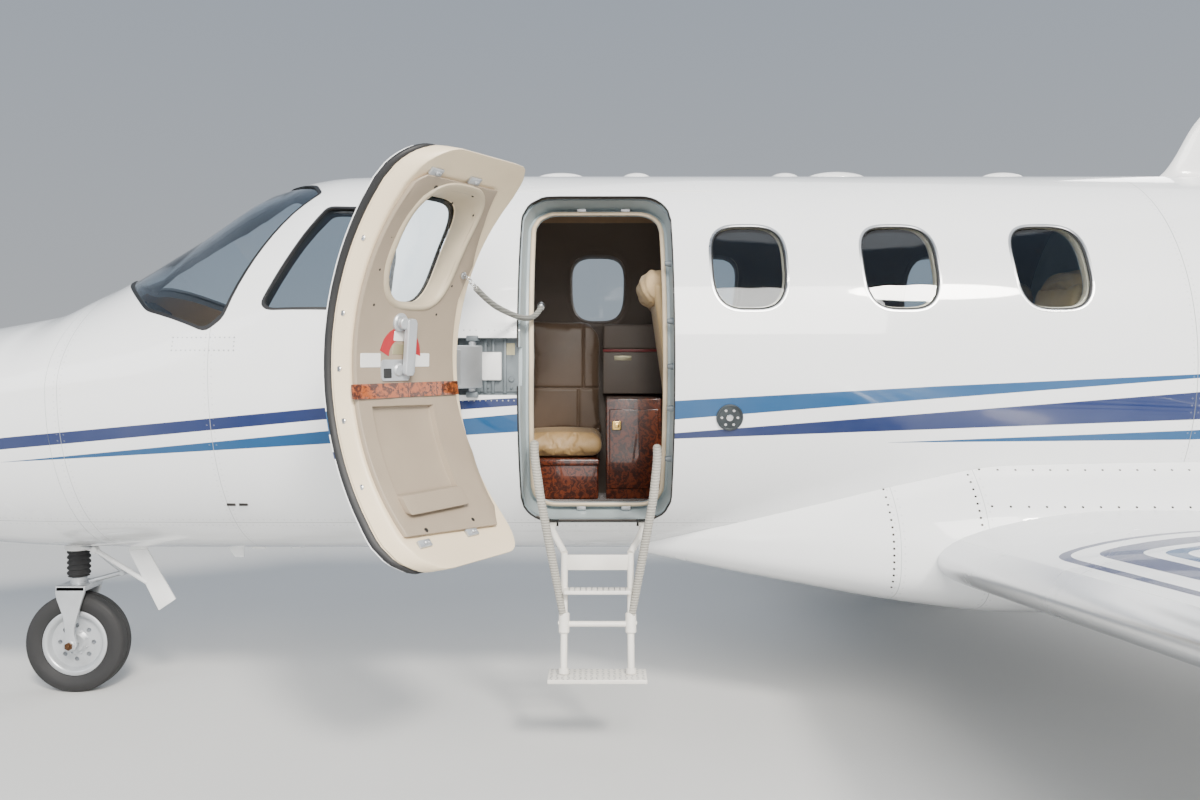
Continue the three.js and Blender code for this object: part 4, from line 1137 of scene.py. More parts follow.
def place_stage(scene):
    """Pale floor and backdrop light, softboxes and the photograph's camera."""
    bpy.ops.mesh.primitive_plane_add(size=160)
    floor = named("floor")
    material, tree, shader, place = new_material("pale_floor")
    noise = add_node(tree, "ShaderNodeTexNoise", {"Vector": place, "Scale": 0.35, "Detail": 3.0})
    tone = mix_colour(
        tree, ramp(tree, noise.outputs["Fac"], 0.3, 0.7), (0.56, 0.56, 0.55, 1), (0.6, 0.6, 0.59, 1)
    )
    tree.links.new(tone, shader.inputs["Base Color"])
    set_shader(shader, Roughness=0.7)
    floor.data.materials.append(material)
    world = bpy.data.worlds.new("studio")
    world.use_nodes = True
    sky = world.node_tree
    background = sky.nodes["Background"]
    direction = add_node(
        sky, "ShaderNodeSeparateXYZ", {0: sky.nodes.new("ShaderNodeTexCoord").outputs["Generated"]}
    )
    level = add_node(
        sky, "ShaderNodeMapRange", {"Value": direction.outputs["Z"], "From Min": -0.1, "From Max": 0.75}
    )
    tone = mix_colour(sky, level.outputs[0], (0.86, 0.88, 0.9, 1), (0.42, 0.55, 0.74, 1))
    sky.links.new(tone, background.inputs["Color"])
    background.inputs["Strength"].default_value = scene.jet_stage.sky_strength
    scene.world = world
    aim = Vector((-1.5, 0, 1.2))
    key = ("key_light", (-1.0, -11.0, 7.5), 6.0, scene.jet_stage.key_power, (1.0, 0.96, 0.9))
    for name, at, size, power, colour in (key, *FILL_LIGHTS):
        bpy.ops.object.light_add(type="AREA", location=at)
        light = bpy.context.object
        light.name = name
        light.data.size = size
        light.data.energy = power
        light.data.color = colour
        light.rotation_euler = (aim - Vector(at)).to_track_quat("-Z", "Y").to_euler()
    bpy.ops.object.light_add(type="SUN", rotation=(math.radians(52), 0, math.radians(24)))
    sun = bpy.context.object
    sun.name = "low_sun"
    sun.data.energy = scene.jet_stage.sun_strength
    sun.data.angle = math.radians(9)
    sun.data.color = (1.0, 0.95, 0.87)
    bpy.ops.object.camera_add(location=CAMERA["place"], rotation=(math.radians(90), 0, 0))
    camera = bpy.context.object
    camera.name = "camera"
    camera.data.sensor_width = CAMERA["sensor"]
    camera.data.lens = CAMERA["lens"]
    camera.data.shift_y = CAMERA["shift"]
    camera.data.clip_start = 0.05
    camera.data.clip_end = 300
    scene.camera = camera


# Forms on the skin
def stations_between(x0, x1):
    """Ring places: close together where the skin bends."""
    xs = [x0]
    while xs[-1] < x1 - 1e-6:
        x = xs[-1]
        if x < SECTION_X[0]:
            step = max(0.004, 0.35 * (x - NOSE_TIP))
        elif -3.25 < x < 0.25:
            step = 0.29
        else:
            step = 0.07
        xs.append(min(x1, x + step))
    if len(xs) > 2 and xs[-1] - xs[-2] < 0.01:
        xs.pop(-2)
    return xs


def hull(name, x0, x1, inset=0.0, around=96):
    """The fuselage between two stations as a closed tube."""
    xs = stations_between(x0, x1)
    return tube_of(name, len(xs), around, lambda ring, angle: skin_point(xs[ring], angle, inset))


def sort_faces(obj):
    """Material 0 on the outer skin, 1 on inner faces, 2 on cut edges."""
    for face in obj.data.polygons:
        agree = face.normal.dot(skin_normal(face.center))
        face.material_index = 0 if agree > 0.75 else 1 if agree < -0.6 else 2
    return obj


def finish_skin(obj, node, lining="side_wall", edge="frame_grey", body="airframe"):
    """Shading, materials and body of a fuselage skin that replaces its node."""
    sort_faces(obj)
    indices = [face.material_index for face in obj.data.polygons]
    smooth(obj, 35)
    fair_normals(obj, skin_normal)
    dress(obj, body, "white_paint", finish("fuselage_paint"), finish(lining), finish(edge), replaces=(node,))
    for face, index in zip(obj.data.polygons, indices):
        face.material_index = index
    return obj


def window_outline(middle_x, grow=0.0, steps=56):
    """The cabin window's outline as (x, z) pairs."""
    points = []
    middle_z = (WINDOW["high"] + WINDOW["low"]) / 2
    half_high = (WINDOW["high"] - WINDOW["low"]) / 2
    for i in range(steps):
        angle = 2 * math.pi * (i + 0.5) / steps
        c, s = math.cos(angle), math.sin(angle)
        across = (WINDOW["half"] + grow) * math.copysign(abs(c) ** 0.62, c) * (1 + 0.05 * s)
        points.append((middle_x + across, middle_z + (half_high + grow) * math.copysign(abs(s) ** 0.62, s)))
    return points


def offset_outline(points, grow):
    """An anticlockwise outline moved outwards by grow."""
    moved = []
    count = len(points)
    for i, (x, z) in enumerate(points):
        before, after = points[i - 1], points[(i + 1) % count]
        along = Vector((after[0] - before[0], after[1] - before[1])).normalized()
        moved.append((x + along.y * grow, z - along.x * grow))
    return moved


def loop_on_skin(name, outline, side, profile):
    """A closed moulding that follows an outline on the skin, from (grow, inset) pairs of its section."""
    rings = [
        [Vector((x, side * skin_y(x, z, inset), z)) for x, z in offset_outline(outline, grow)]
        for grow, inset in profile
    ]
    return lofted(name, rings, "NOTHING")


def round_profile(grow, inset, radius, steps=10):
    """A round moulding section."""
    turns = [2 * math.pi * i / steps for i in range(steps + 1)]
    return [(grow + radius * math.cos(t), inset + radius * math.sin(t)) for t in turns]


def patch_on_skin(name, outline, side, profile, middle):
    """A closed panel that follows the skin, from (scale, inset) rings about a middle point."""
    rings = []
    for scale, inset in profile:
        drawn = [
            (middle[0] + (x - middle[0]) * scale, middle[1] + (z - middle[1]) * scale) for x, z in outline
        ]
        rings.append([Vector((x, side * skin_y(x, z, inset), z)) for x, z in drawn])
    return lofted(name, rings)


def through(name, outline, y0, y1):
    """A straight cutter with an outline in X and Z."""
    return extruded(name, [(x, y0, z) for x, z in outline], (0, y1 - y0, 0))


def window_cutter(number, side, grow=0.0):
    """A straight hole for cabin window 0 to 3."""
    middle = WINDOW["first"] + number * WINDOW["pitch"]
    return through("cutter", window_outline(middle, grow), side * 0.35, side * 1.2)


def slanted(name, corners, direction, reach=0.33, round_by=0.03):
    """A prism through the skin along a direction, with round corners."""
    rounded = []
    count = len(corners)
    for i, corner in enumerate(corners):
        before, after = corners[i - 1], corners[(i + 1) % count]
        near_before = corner + (before - corner).normalized() * min(round_by, (before - corner).length * 0.45)
        near_after = corner + (after - corner).normalized() * min(round_by, (after - corner).length * 0.45)
        for t in (0.0, 0.33, 0.67, 1.0):
            rounded.append(near_before.lerp(corner, t).lerp(corner.lerp(near_after, t), t))
    return lofted(name, [[p + direction * k for p in rounded] for k in (-reach, reach)])


def on_skin(x, z):
    """A point of the port skin."""
    return Vector((x, -skin_y(x, z), z))


WINDSHIELD_CORNERS = [
    Vector((-4.606, -0.028, 1.890)),
    Vector((-4.470, -0.390, 1.830)),
    on_skin(-4.304, 1.738),
    on_skin(-4.024, 1.652),
    on_skin(-3.955, 1.708),
    on_skin(-3.668, 2.245),
    Vector((-3.720, -0.300, 2.292)),
    Vector((-3.914, -0.028, 2.316)),
]
WINDSHIELD_SIGHT = Vector((-0.45, -0.55, 0.7)).normalized()
SIDE_WINDOW_CORNERS = [
    on_skin(x, z)
    for x, z in (
        (-3.808, 1.762),
        (-3.780, 1.735),
        (-3.360, 1.735),
        (-3.305, 1.790),
        (-3.300, 1.960),
        (-3.345, 2.110),
        (-3.420, 2.165),
        (-3.610, 2.172),
    )
]
SIDE_SIGHT = Vector((0, -0.93, 0.36)).normalized()


def cockpit_cutters(shrink=0.0):
    """Cutters of both windshields and both side windows."""
    cutters = []
    for corners, sight in ((WINDSHIELD_CORNERS, WINDSHIELD_SIGHT), (SIDE_WINDOW_CORNERS, SIDE_SIGHT)):
        middle = sum(corners, Vector()) / len(corners)
        drawn = [p + (middle - p).normalized() * shrink for p in corners]
        port = slanted("cutter", drawn, sight)
        cutters += [port, mirrored(port, "cutter")]
    return cutters


DOORWAY_OUTLINE = rounded_outline(
    DOORWAY["front"], DOORWAY["rear"], DOORWAY["sill"], DOORWAY["head"], DOORWAY["corner"], 8
)
STEPS = {"x": -2.5, "arm": 0.184, "rail": 0.13, "notch": 0.022}
RECESS = {"front": -3.05, "rear": -2.8, "low": 1.406, "high": 1.626, "depth": 0.07}
WELL = {"front": -5.33, "rear": -4.8, "half": 0.13, "roof": 1.0}


def along_x(name, outline, x0, x1):
    """A straight block with an outline in Y and Z."""
    return extruded(name, [(x0, y, z) for y, z in outline], (x1 - x0, 0, 0))


def cabin_barrel(name):
    """Cabin wall ring between its two joints."""
    shell = hull(name, JOINTS_X["cabin"] + GAP, JOINTS_X["rear"] - GAP)
    return combine(shell, hull("cutter", JOINTS_X["cabin"] - 0.05, JOINTS_X["rear"] + 0.05, WALL))


def side_region(side):
    """Where a cabin side lies, seen along the fuselage."""
    outline = [
        (side * 1.2, BELLY_Z),
        (side * 0.1, BELLY_Z),
        (side * 0.1, WAIST_Z),
        (side * (CROWN_Y + GAP), WAIST_Z),
        (side * (CROWN_Y + GAP), 2.6),
        (side * 1.2, 2.6),
    ]
    return along_x("cutter", outline, -4.0, 0.0)


def build_nose():
    """Nose cone and nose section with the wheel well."""
    cone = hull("nose_cone_skin", NOSE_TIP + 0.0015, JOINTS_X["nose"] - GAP)
    finish_skin(cone, "nose_cone")
    section = hull("nose_section_skin", JOINTS_X["nose"] + GAP, JOINTS_X["cockpit"] - GAP)
    well = block("cutter", (WELL["front"], -WELL["half"], 0.5), (WELL["rear"], WELL["half"], WELL["roof"]))
    finish_skin(combine(section, well), "nose_section", edge="frame_grey")


BELLY_BLADE = [(-4.24, 0.70), (-4.15, 0.70), (-4.15, 0.618), (-4.19, 0.618), (-4.24, 0.684)]


def build_cockpit_shell():
    """Cockpit skin with its window openings, belly blade and jack pad."""
    shell = hull("cockpit_skin", JOINTS_X["cockpit"] + GAP, JOINTS_X["cabin"] - GAP)
    combine(shell, hull("cutter", -4.6, JOINTS_X["cabin"] + 0.05, WALL))
    for cutter in cockpit_cutters():
        combine(shell, cutter)
    blade = extruded("blade", [(x, -0.004, z) for x, z in BELLY_BLADE], (0, 0.008, 0), 0.0015)
    pad = spun(
        "pad", [(0, 0.664), (0.032, 0.664), (0.035, 0.667), (0.035, 0.72), (0, 0.72)], UP,
        Vector((-3.9, 0, 0)), 28,
    )
    for face in list(blade.data.polygons) + list(pad.data.polygons):
        face.material_index = 0
    count = len(shell.data.polygons)
    shell = merged("cockpit_skin", shell, blade, pad)
    finish_skin(shell, "cockpit_shell", lining="headliner", edge="black_seal")
    for face in shell.data.polygons[count:]:
        face.material_index = 0


ANTENNAS = (
    (-2.672, 0.235, 0.050, 0.032),
    (-2.320, 0.140, 0.055, 0.032),
    (-1.630, 0.140, 0.055, 0.032),
    (-1.390, 0.280, 0.075, 0.036),
    (-0.615, 0.210, 0.050, 0.034),
)


def build_cabin_shell():
    """Top skin with its antenna blisters, belly and both cabin sides."""
    crown = cabin_barrel("crown_skin")
    region = block("cutter", (-4, -CROWN_Y, WAIST_Z), (0, CROWN_Y, 2.6))
    combine(crown, region, "INTERSECT")
    finish_skin(crown, "cabin_crown", lining="headliner")
    blisters = []
    for x, length, half, height in ANTENNAS:
        bpy.ops.mesh.primitive_uv_sphere_add(
            segments=40, ring_count=20, radius=1, location=(x, 0, 2.376), scale=(length / 2, half, height)
        )
        blister = bake_place(named("blister"))
        edit_all()
        bpy.ops.mesh.bisect(plane_co=(0, 0, 2.366), plane_no=(0, 0, 1), clear_inner=True, use_fill=True)
        leave_edit()
        blisters.append(blister)
    dress(smooth(merged("crown_antennas", *blisters)), "airframe", "white_paint", finish("white_enamel"))

    belly = cabin_barrel("belly_skin")
    region = block("cutter", (-4, -1.2, 0.4), (0, 1.2, BELLY_Z - GAP))
    finish_skin(combine(belly, region, "INTERSECT"), "cabin_belly")

    starboard = cabin_barrel("starboard_skin")
    combine(starboard, side_region(1), "INTERSECT")
    for number in range(4):
        combine(starboard, window_cutter(number, 1))
    finish_skin(starboard, "cabin_side_starboard", edge="window_liner")

    port = cabin_barrel("port_skin")
    combine(port, side_region(-1), "INTERSECT")
    combine(port, through("cutter", DOORWAY_OUTLINE, -1.2, -0.25))
    depth = 0.825 - RECESS["depth"]
    combine(
        port,
        block("cutter", (RECESS["front"], -1.2, RECESS["low"]), (RECESS["rear"], -depth, RECESS["high"])),
    )
    for hand in (-1, 1):
        middle = STEPS["x"] + hand * STEPS["arm"]
        notch = (middle - STEPS["notch"], -1.2, 0.847), (middle + STEPS["notch"], -0.3, 0.9)
        combine(port, block("cutter", *notch))
    for number in (1, 2, 3):
        combine(port, window_cutter(number, -1))
    finish_skin(port, "cabin_side_port", edge="frame_grey")


CROWN_FIN = (
    (2.360, 0.060, 0.640, 0.034), (2.400, 0.130, 0.560, 0.022), (2.640, 0.285, 0.330, 0.014),
    (2.690, 0.330, 0.250, 0.006),
)


def build_aft_fuselage():
    """Tail skin with its rounded end and the swept crown blade."""
    shell = hull("aft_skin", JOINTS_X["rear"] + GAP, JOINTS_X["end"])
    combine(shell, hull("cutter", JOINTS_X["rear"] + 0.03, 5.3, TAIL_WALL))
    combine(shell, block("cutter", (-0.25, -0.25, 1.0), (-0.14, 0.25, 1.9)))
    finish_skin(shell, "aft_fuselage", lining="frame_grey")

    def blade_point(ring, angle):
        t = ring / 12
        z = 2.36 + 0.33 * t
        heights = [row[0] for row in CROWN_FIN]
        nose, chord, half = (
            smooth_value(
                heights,
                [row[k] for row in CROWN_FIN],
                slopes_through(heights, [row[k] for row in CROWN_FIN]), z,
            )
            for k in (1, 2, 3)
        )
        u = (1 + math.cos(angle)) / 2
        return Vector((nose + u * chord, half * 2.2 * math.sin(angle) * (1 - u) ** 0.5, z))

    blade = tube_of("crown_blade", 13, 40, blade_point)
    dress(smooth(blade), "airframe", "white_paint", finish("white_enamel"))
    top, _, bottom, half, _ = section_at(JOINTS_X["end"])
    middle = Vector((JOINTS_X["end"], 0, (top + bottom) / 2))
    half_high = (top - bottom) / 2

    def cap_point(ring, angle):
        reach = math.sin(math.pi / 2 * ring / 7)
        size = math.cos(math.pi / 2 * ring / 7) * 0.999
        return middle + Vector(
            (0.11 * reach, half * size * math.cos(angle), half_high * size * math.sin(angle))
        )

    dress(smooth(tube_of("tail_cap", 8, 64, cap_point)), "airframe", "white_paint", finish("white_enamel"))


def build_fuselage():
    """All fuselage skins."""
    build_nose()
    build_cockpit_shell()
    build_cabin_shell()
    build_aft_fuselage()


# Glass
def pane_solid(name, outline, side, middle):
    """A cabin pane 14 mm thick, 10 mm below the skin."""
    profile = [(s, 0.010) for s in (0.03, 0.35, 0.65, 0.88, 1.0)]
    profile += [(s, 0.024) for s in (1.0, 0.88, 0.65, 0.35, 0.03)]
    return patch_on_skin(name, outline, side, profile, middle)


# Window mouldings: (grow, inset) pairs of their sections
BEZEL = [
    (0.009, 0.0002), (0.0085, -0.0012), (0.001, -0.0014), (-0.0015, 0.0), (-0.0015, 0.006), (0.002, 0.009)
]
LINER = [(0.0, 0.026), (-0.010, 0.027), (-0.011, 0.045), (-0.006, 0.066), (0.006, 0.080), (0.022, 0.0845)]
LINER += [(0.030, 0.083), (0.030, 0.078), (0.002, 0.070)]


def window_mouldings(middle_x, side, tag):
    """Outer bezel and dark gasket of one cabin window."""
    outline = window_outline(middle_x)
    bezel = loop_on_skin("window_bezel_" + tag, outline, side, BEZEL + BEZEL[:1])
    gasket = loop_on_skin("window_gasket_" + tag, outline, side, round_profile(-0.0035, 0.0085, 0.0045))
    return bezel, gasket


def build_cabin_windows():
    """Panes and mouldings of the seven fixed cabin windows."""
    for name, side in SIDES:
        for number in range(0 if side > 0 else 1, 4):
            middle_x = WINDOW["first"] + number * WINDOW["pitch"]
            tag = name + "_" + str(number + 1)
            middle = (middle_x, (WINDOW["low"] + WINDOW["high"]) / 2)
            pane = smooth(pane_solid("pane_" + tag, window_outline(middle_x, -0.001), side, middle))
            dress(pane, "airframe", "window_glass", finish("cabin_glass"), replaces=("cabin_window_" + tag,))
            bezel, gasket = window_mouldings(middle_x, side, tag)
            liner = loop_on_skin("window_surround_" + tag, window_outline(middle_x), side, LINER + LINER[:1])
            dress(smooth(bezel), "airframe", "gear_metal", finish("bare_metal"))
            dress(smooth(gasket, 80), "airframe", "window_glass", finish("black_seal"))
            dress(
                smooth(liner, 50), "airframe", "white_paint",
                finish("window_liner" if side < 0 else "side_wall"),
            )


def build_cockpit_glass():
    """Windshields and side windows with their seals."""
    sheet = hull("cockpit_sheet", -4.65, JOINTS_X["cabin"] - 0.02, 0.006)
    combine(sheet, hull("cutter", -4.66, JOINTS_X["cabin"], 0.020))
    names = ("windshield_port", "windshield_starboard", "cockpit_window_port", "cockpit_window_starboard")
    for node, cutter in zip(names, cockpit_cutters(0.0035)):
        pane = combine(copy_of(sheet, node + "_pane"), cutter, "INTERSECT")
        smooth(pane, 35)
        fair_normals(pane, skin_normal, 0.9)
        glass = "windshield_glass" if "shield" in node else "cabin_glass"
        dress(pane, "airframe", "window_glass", finish(glass), replaces=(node,))
    drop(sheet)
    band = hull("seal_band", -4.66, JOINTS_X["cabin"] - 0.01, -0.0012)
    combine(band, hull("cutter", -4.67, JOINTS_X["cabin"], 0.030))
    for node, wide, thin in zip(names, cockpit_cutters(-0.004), cockpit_cutters(0.011)):
        seal = combine(copy_of(band, node + "_seal"), wide, "INTERSECT")
        combine(seal, thin)
        dress(smooth(seal, 35), "airframe", "window_glass", finish("black_seal"))
    drop(band)


# Wings and tail
FAIRING_ROWS = [
    (-2.320, 0.300, 0.760, 0.060, 0.085),
    (-2.000, 0.520, 0.790, 0.150, 0.158),
    (-1.600, 0.720, 0.800, 0.300, 0.225),
    (-1.250, 0.850, 0.800, 0.430, 0.272),
    (-0.900, 0.930, 0.800, 0.520, 0.300),
    (0.000, 0.950, 0.800, 0.535, 0.305),
    (0.800, 0.930, 0.800, 0.520, 0.290),
    (1.400, 0.800, 0.812, 0.430, 0.240),
    (2.000, 0.560, 0.860, 0.250, 0.130),
    (2.450, 0.300, 0.955, 0.090, 0.055),
]
# Sections of the lifting surfaces: place along the span, nose, chord, height, thickness
WING_ROWS = [
    (0.780, -1.216, 2.352, 0.768, 0.14), (6.980, -0.966, 0.892, 1.274, 0.12),
    (7.130, -0.900, 0.640, 1.290, 0.07),
]
TAILPLANE_Z = 4.105
TAILPLANE_ROWS = [
    (0.000, 4.960, 1.420, TAILPLANE_Z, 0.12),
    (2.790, 5.656, 0.834, TAILPLANE_Z, 0.10),
    (2.865, 5.760, 0.720, TAILPLANE_Z, 0.06),
]
FIN_ROWS = [(1.980, 2.820, 3.030, 0.0, 0.075), (4.110, 5.000, 1.180, 0.0, 0.11)]
FLAP = {"from": 1.010, "to": 3.980, "share": 0.76, "reach": 0.900}
AILERON = {"from": 4.040, "to": 6.700, "share": 0.76, "reach": 0.700}
RUDDER = {"from": 2.345, "to": 3.800, "share": 0.74, "reach": 1.000}
ELEVATOR = {"half": 2.780, "x": 6.060, "radius": 0.043, "reach": 0.700, "notch": 0.130}
RUNNING_GAP = 0.006
CAMBER = 0.018
TALL = 0.16


def fairing_body(name, grow=0.0):
    """The belly and wing root fairing as a closed body."""
    xs = [row[0] for row in FAIRING_ROWS]
    curves = [
        ([row[k] for row in FAIRING_ROWS], slopes_through(xs, [row[k] for row in FAIRING_ROWS]))
        for k in (1, 2, 3, 4)
    ]
    count = 60
    rings = []
    for i in range(count + 1):
        x = xs[0] + (xs[-1] - xs[0]) * i / count
        half, middle, rise, fall = (smooth_value(xs, ys, slopes, x) for ys, slopes in curves)
        ring = []
        for k in range(72):
            c, s = math.cos(2 * math.pi * k / 72), math.sin(2 * math.pi * k / 72)
            power = 1 if s > 0 else 0.62
            across = (half + grow) * math.copysign(abs(c) ** power, c)
            height = (rise if s > 0 else fall) + grow
            ring.append(Vector((x, across, middle + height * math.copysign(abs(s) ** power, s))))
        rings.append(ring)
    return lofted(name, rings)


def half_thickness(u, thickness):
    """Half the depth of an aerofoil of chord 1 at u."""
    shape = 0.2969 * math.sqrt(u) - 0.126 * u - 0.3516 * u**2 + 0.2843 * u**3 - 0.1036 * u**4
    return 5 * thickness * shape + 0.0015 * u


def aerofoil(chord, thickness, camber, steps=30):
    """A closed aerofoil outline as (along, across) pairs."""
    upper, lower = [], []
    for i in range(steps):
        u = (1 - math.cos(math.pi * i / steps)) / 2
        upper.append((u * chord, (4 * camber * u * (1 - u) + half_thickness(u, thickness)) * chord))
        u = (1 - math.cos(math.pi * (i + 1) / steps)) / 2
        lower.append((u * chord, (4 * camber * u * (1 - u) - half_thickness(u, thickness)) * chord))
    return upper[::-1] + lower + [(chord, 0.002)]


def wing_place(x, height, along):
    """Wings and tailplane run out along Y."""
    return Vector((x, along, height))


def fin_place(x, height, along):
    """The fin runs up along Z."""
    return Vector((x, height, along))


def surface_body(name, rows, camber, place, spans=24):
    """A lifting surface through its section rows, with a rounded tip when it has a third row."""
    sections = []
    first, last = rows[0], rows[1]
    for i in range(spans + 1):
        sections.append([a + (b - a) * i / spans for a, b in zip(first, last)])
    for tip in rows[2:]:
        for i in range(1, 7):
            t = math.sin(math.pi / 2 * i / 6)
            row = [a + (b - a) * t for a, b in zip(last, tip)]
            row[4] = last[4] * max(0.16, math.cos(math.pi / 2 * i / 6))
            sections.append(row)
    rings = [
        [place(nose + u, height + v, along) for u, v in aerofoil(chord, thickness, camber)]
        for along, nose, chord, height, thickness in sections
    ]
    return lofted(name, rings)


def hinge_of(rows, camber, spec, place):
    """Both ends of a hinge line with the nose radius of the moving piece."""
    ends = []
    for along in (spec["from"], spec["to"]):
        share = (along - rows[0][0]) / (rows[1][0] - rows[0][0])
        _, nose, chord, height, thickness = (a + (b - a) * share for a, b in zip(rows[0], rows[1]))
        u = spec["share"]
        point = place(nose + u * chord, height + 4 * camber * u * (1 - u) * chord, along)
        ends.append((point, half_thickness(u, thickness) * chord))
    return ends


def hinge_body(name, hinge, outline, overrun=0.0):
    """A prism of (aft, across) pairs that runs along a hinge line."""
    (a, _), (b, _) = hinge
    line = (b - a).normalized()
    aft = (AFT - line * line.x).normalized()
    across = line.cross(aft)
    rings = [
        [point + line * past + aft * u + across * v for u, v in outline(radius)]
        for (point, radius), past in zip(hinge, (-overrun, overrun))
    ]
    return lofted(name, rings)


def hinged_split(surface, name, hinge, reach, lower_lip=0.0):
    """Cuts the moving piece out of a surface; the surface keeps a round cove for its nose."""

    def slab(_):
        return [(0, -TALL), (reach, -TALL), (reach, TALL), (0, TALL)]

    def cove(radius):
        turns = [math.pi / 2 + math.pi * i / 16 for i in range(17)]
        arc = [((radius + RUNNING_GAP) * math.cos(t), (radius + RUNNING_GAP) * math.sin(t)) for t in turns]
        return [(0, TALL)] + arc + [(0, -TALL), (reach, -TALL), (reach, TALL)]

    def nose(radius):
        turns = [2 * math.pi * i / 36 for i in range(36)]
        return [(0.985 * radius * math.cos(t), 0.985 * radius * math.sin(t)) for t in turns]

    def lip(radius):
        front = -lower_lip * radius - RUNNING_GAP
        return [(front, -TALL), (0.001, -TALL), (0.001, -0.4 * radius), (front, -0.4 * radius)]

    def fitting(radius):
        turns = [math.pi + (i - 2) * math.pi / 12 for i in range(5)]
        return [((radius + 0.0052) * math.cos(t), (radius + 0.0052) * math.sin(t)) for t in turns] + [(0, 0)]

    moving = combine(copy_of(surface, name), hinge_body("cutter", hinge, slab), "INTERSECT")
    combine(moving, hinge_body("cutter", hinge, nose), "UNION")
    (a, near), (b, far) = hinge
    half = 0.02 / (b - a).length
    for share in (0.08, 0.5, 0.92):
        ends = [(a.lerp(b, t), near + (far - near) * t) for t in (share - half, share + half)]
        combine(moving, hinge_body("cutter", ends, fitting), "UNION")
    combine(surface, hinge_body("cutter", hinge, cove, RUNNING_GAP))
    if lower_lip:
        combine(surface, hinge_body("cutter", hinge, lip, RUNNING_GAP))
    return moving


def dress_pair(obj, name, body, slot, *materials):
    """Dresses a starboard piece and its port copy, which replace the nodes of that name."""
    twin = mirrored(obj, name + "_port_skin")
    obj.name = name + "_starboard_skin"
    for side, piece in (("port", twin), ("starboard", obj)):
        ridden = body + "_" + side if body != "airframe" else body
        dress(piece, ridden, slot, *materials, replaces=(name + "_" + side,))
    return twin


def build_wings():
    """Fairing, wings, flaps and ailerons."""
    fairing = fairing_body("fairing")
    combine(fairing, hull("cutter", -2.6, 2.7, -GAP))
    dress(
        smooth(fairing, 40), "airframe", "fairing_paint", finish("fairing_paint"), replaces=("wing_fairing",)
    )
    wing = surface_body("wing", WING_ROWS, CAMBER, wing_place, 40)
    combine(wing, fairing_body("cutter", GAP))
    combine(wing, hull("cutter", -2.0, 2.0, -0.001))
    flap = hinged_split(wing, "flap", hinge_of(WING_ROWS, CAMBER, FLAP, wing_place), FLAP["reach"], 0.8)
    aileron = hinged_split(
        wing, "aileron", hinge_of(WING_ROWS, CAMBER, AILERON, wing_place), AILERON["reach"]
    )
    pad = spun(
        "pad",
        [(0, 0.772), (0.031, 0.772), (0.035, 0.776), (0.035, 0.9), (0, 0.9)],
        UP,
        Vector((-0.62, 2.4, 0)),
        28,
    )
    combine(wing, pad, "UNION")
    for piece, name, body in (
        (wing, "wing", "airframe"), (flap, "flap", "flap"), (aileron, "aileron", "aileron")
    ):
        dress_pair(smooth(piece, 32), name, body, "white_paint", finish("wing_paint"))


def build_tail():
    """Tailplane, elevator, fin and rudder."""
    half = surface_body("tailplane_skin", TAILPLANE_ROWS, 0, wing_place, 30)
    combine(half, mirrored(half, "cutter"), "UNION")
    hinge = [
        (
            Vector((ELEVATOR["x"], hand * ELEVATOR["half"], TAILPLANE_Z)), ELEVATOR["radius"]
        ) for hand in (-1, 1)
    ]
    whole = copy_of(half, "seat")
    elevator = hinged_split(half, "elevator_skin", hinge, ELEVATOR["reach"])
    notch = ELEVATOR["notch"]
    combine(elevator, block("cutter", (ELEVATOR["x"] + 0.026, -notch, 3.9), (6.6, notch, 4.3)))
    dress(smooth(half, 32), "airframe", "white_paint", finish("tail_paint"), replaces=("tailplane",))
    dress(smooth(elevator, 32), "elevator", "white_paint", finish("tail_paint"), replaces=("elevator",))
    fin = surface_body("fin_skin", FIN_ROWS, 0, fin_place, 24)
    combine(fin, hull("cutter", 2.0, 5.7, -GAP))
    rudder = hinged_split(fin, "rudder_skin", hinge_of(FIN_ROWS, 0, RUDDER, fin_place), RUDDER["reach"])
    whole.data.transform(Matrix.Translation((0, 0, -GAP / 2)))
    combine(fin, whole)
    combine(fin, block("cutter", (ELEVATOR["x"] - 0.07, -1.2, 3.95), (7, 1.2, 4.4)))
    combine(fin, block("cutter", (2, -1.2, 4.1), (7, 1.2, 4.4)))
    dress(smooth(fin, 32), "airframe", "white_paint", finish("fin_paint"), replaces=("fin",))
    dress(smooth(rudder, 32), "rudder", "white_paint", finish("fin_paint"), replaces=("rudder",))


# Engines
COWL_ROWS = [(0.985, 0.302), (1.1, 0.330), (1.5, 0.352), (2.1, 0.346), (2.7, 0.303), (3.15, 0.236)]
PYLON_ROWS = [(0.38, 1.33, 1.78, 2.14, 0.062), (1.06, 1.40, 1.50, 2.185, 0.062)]


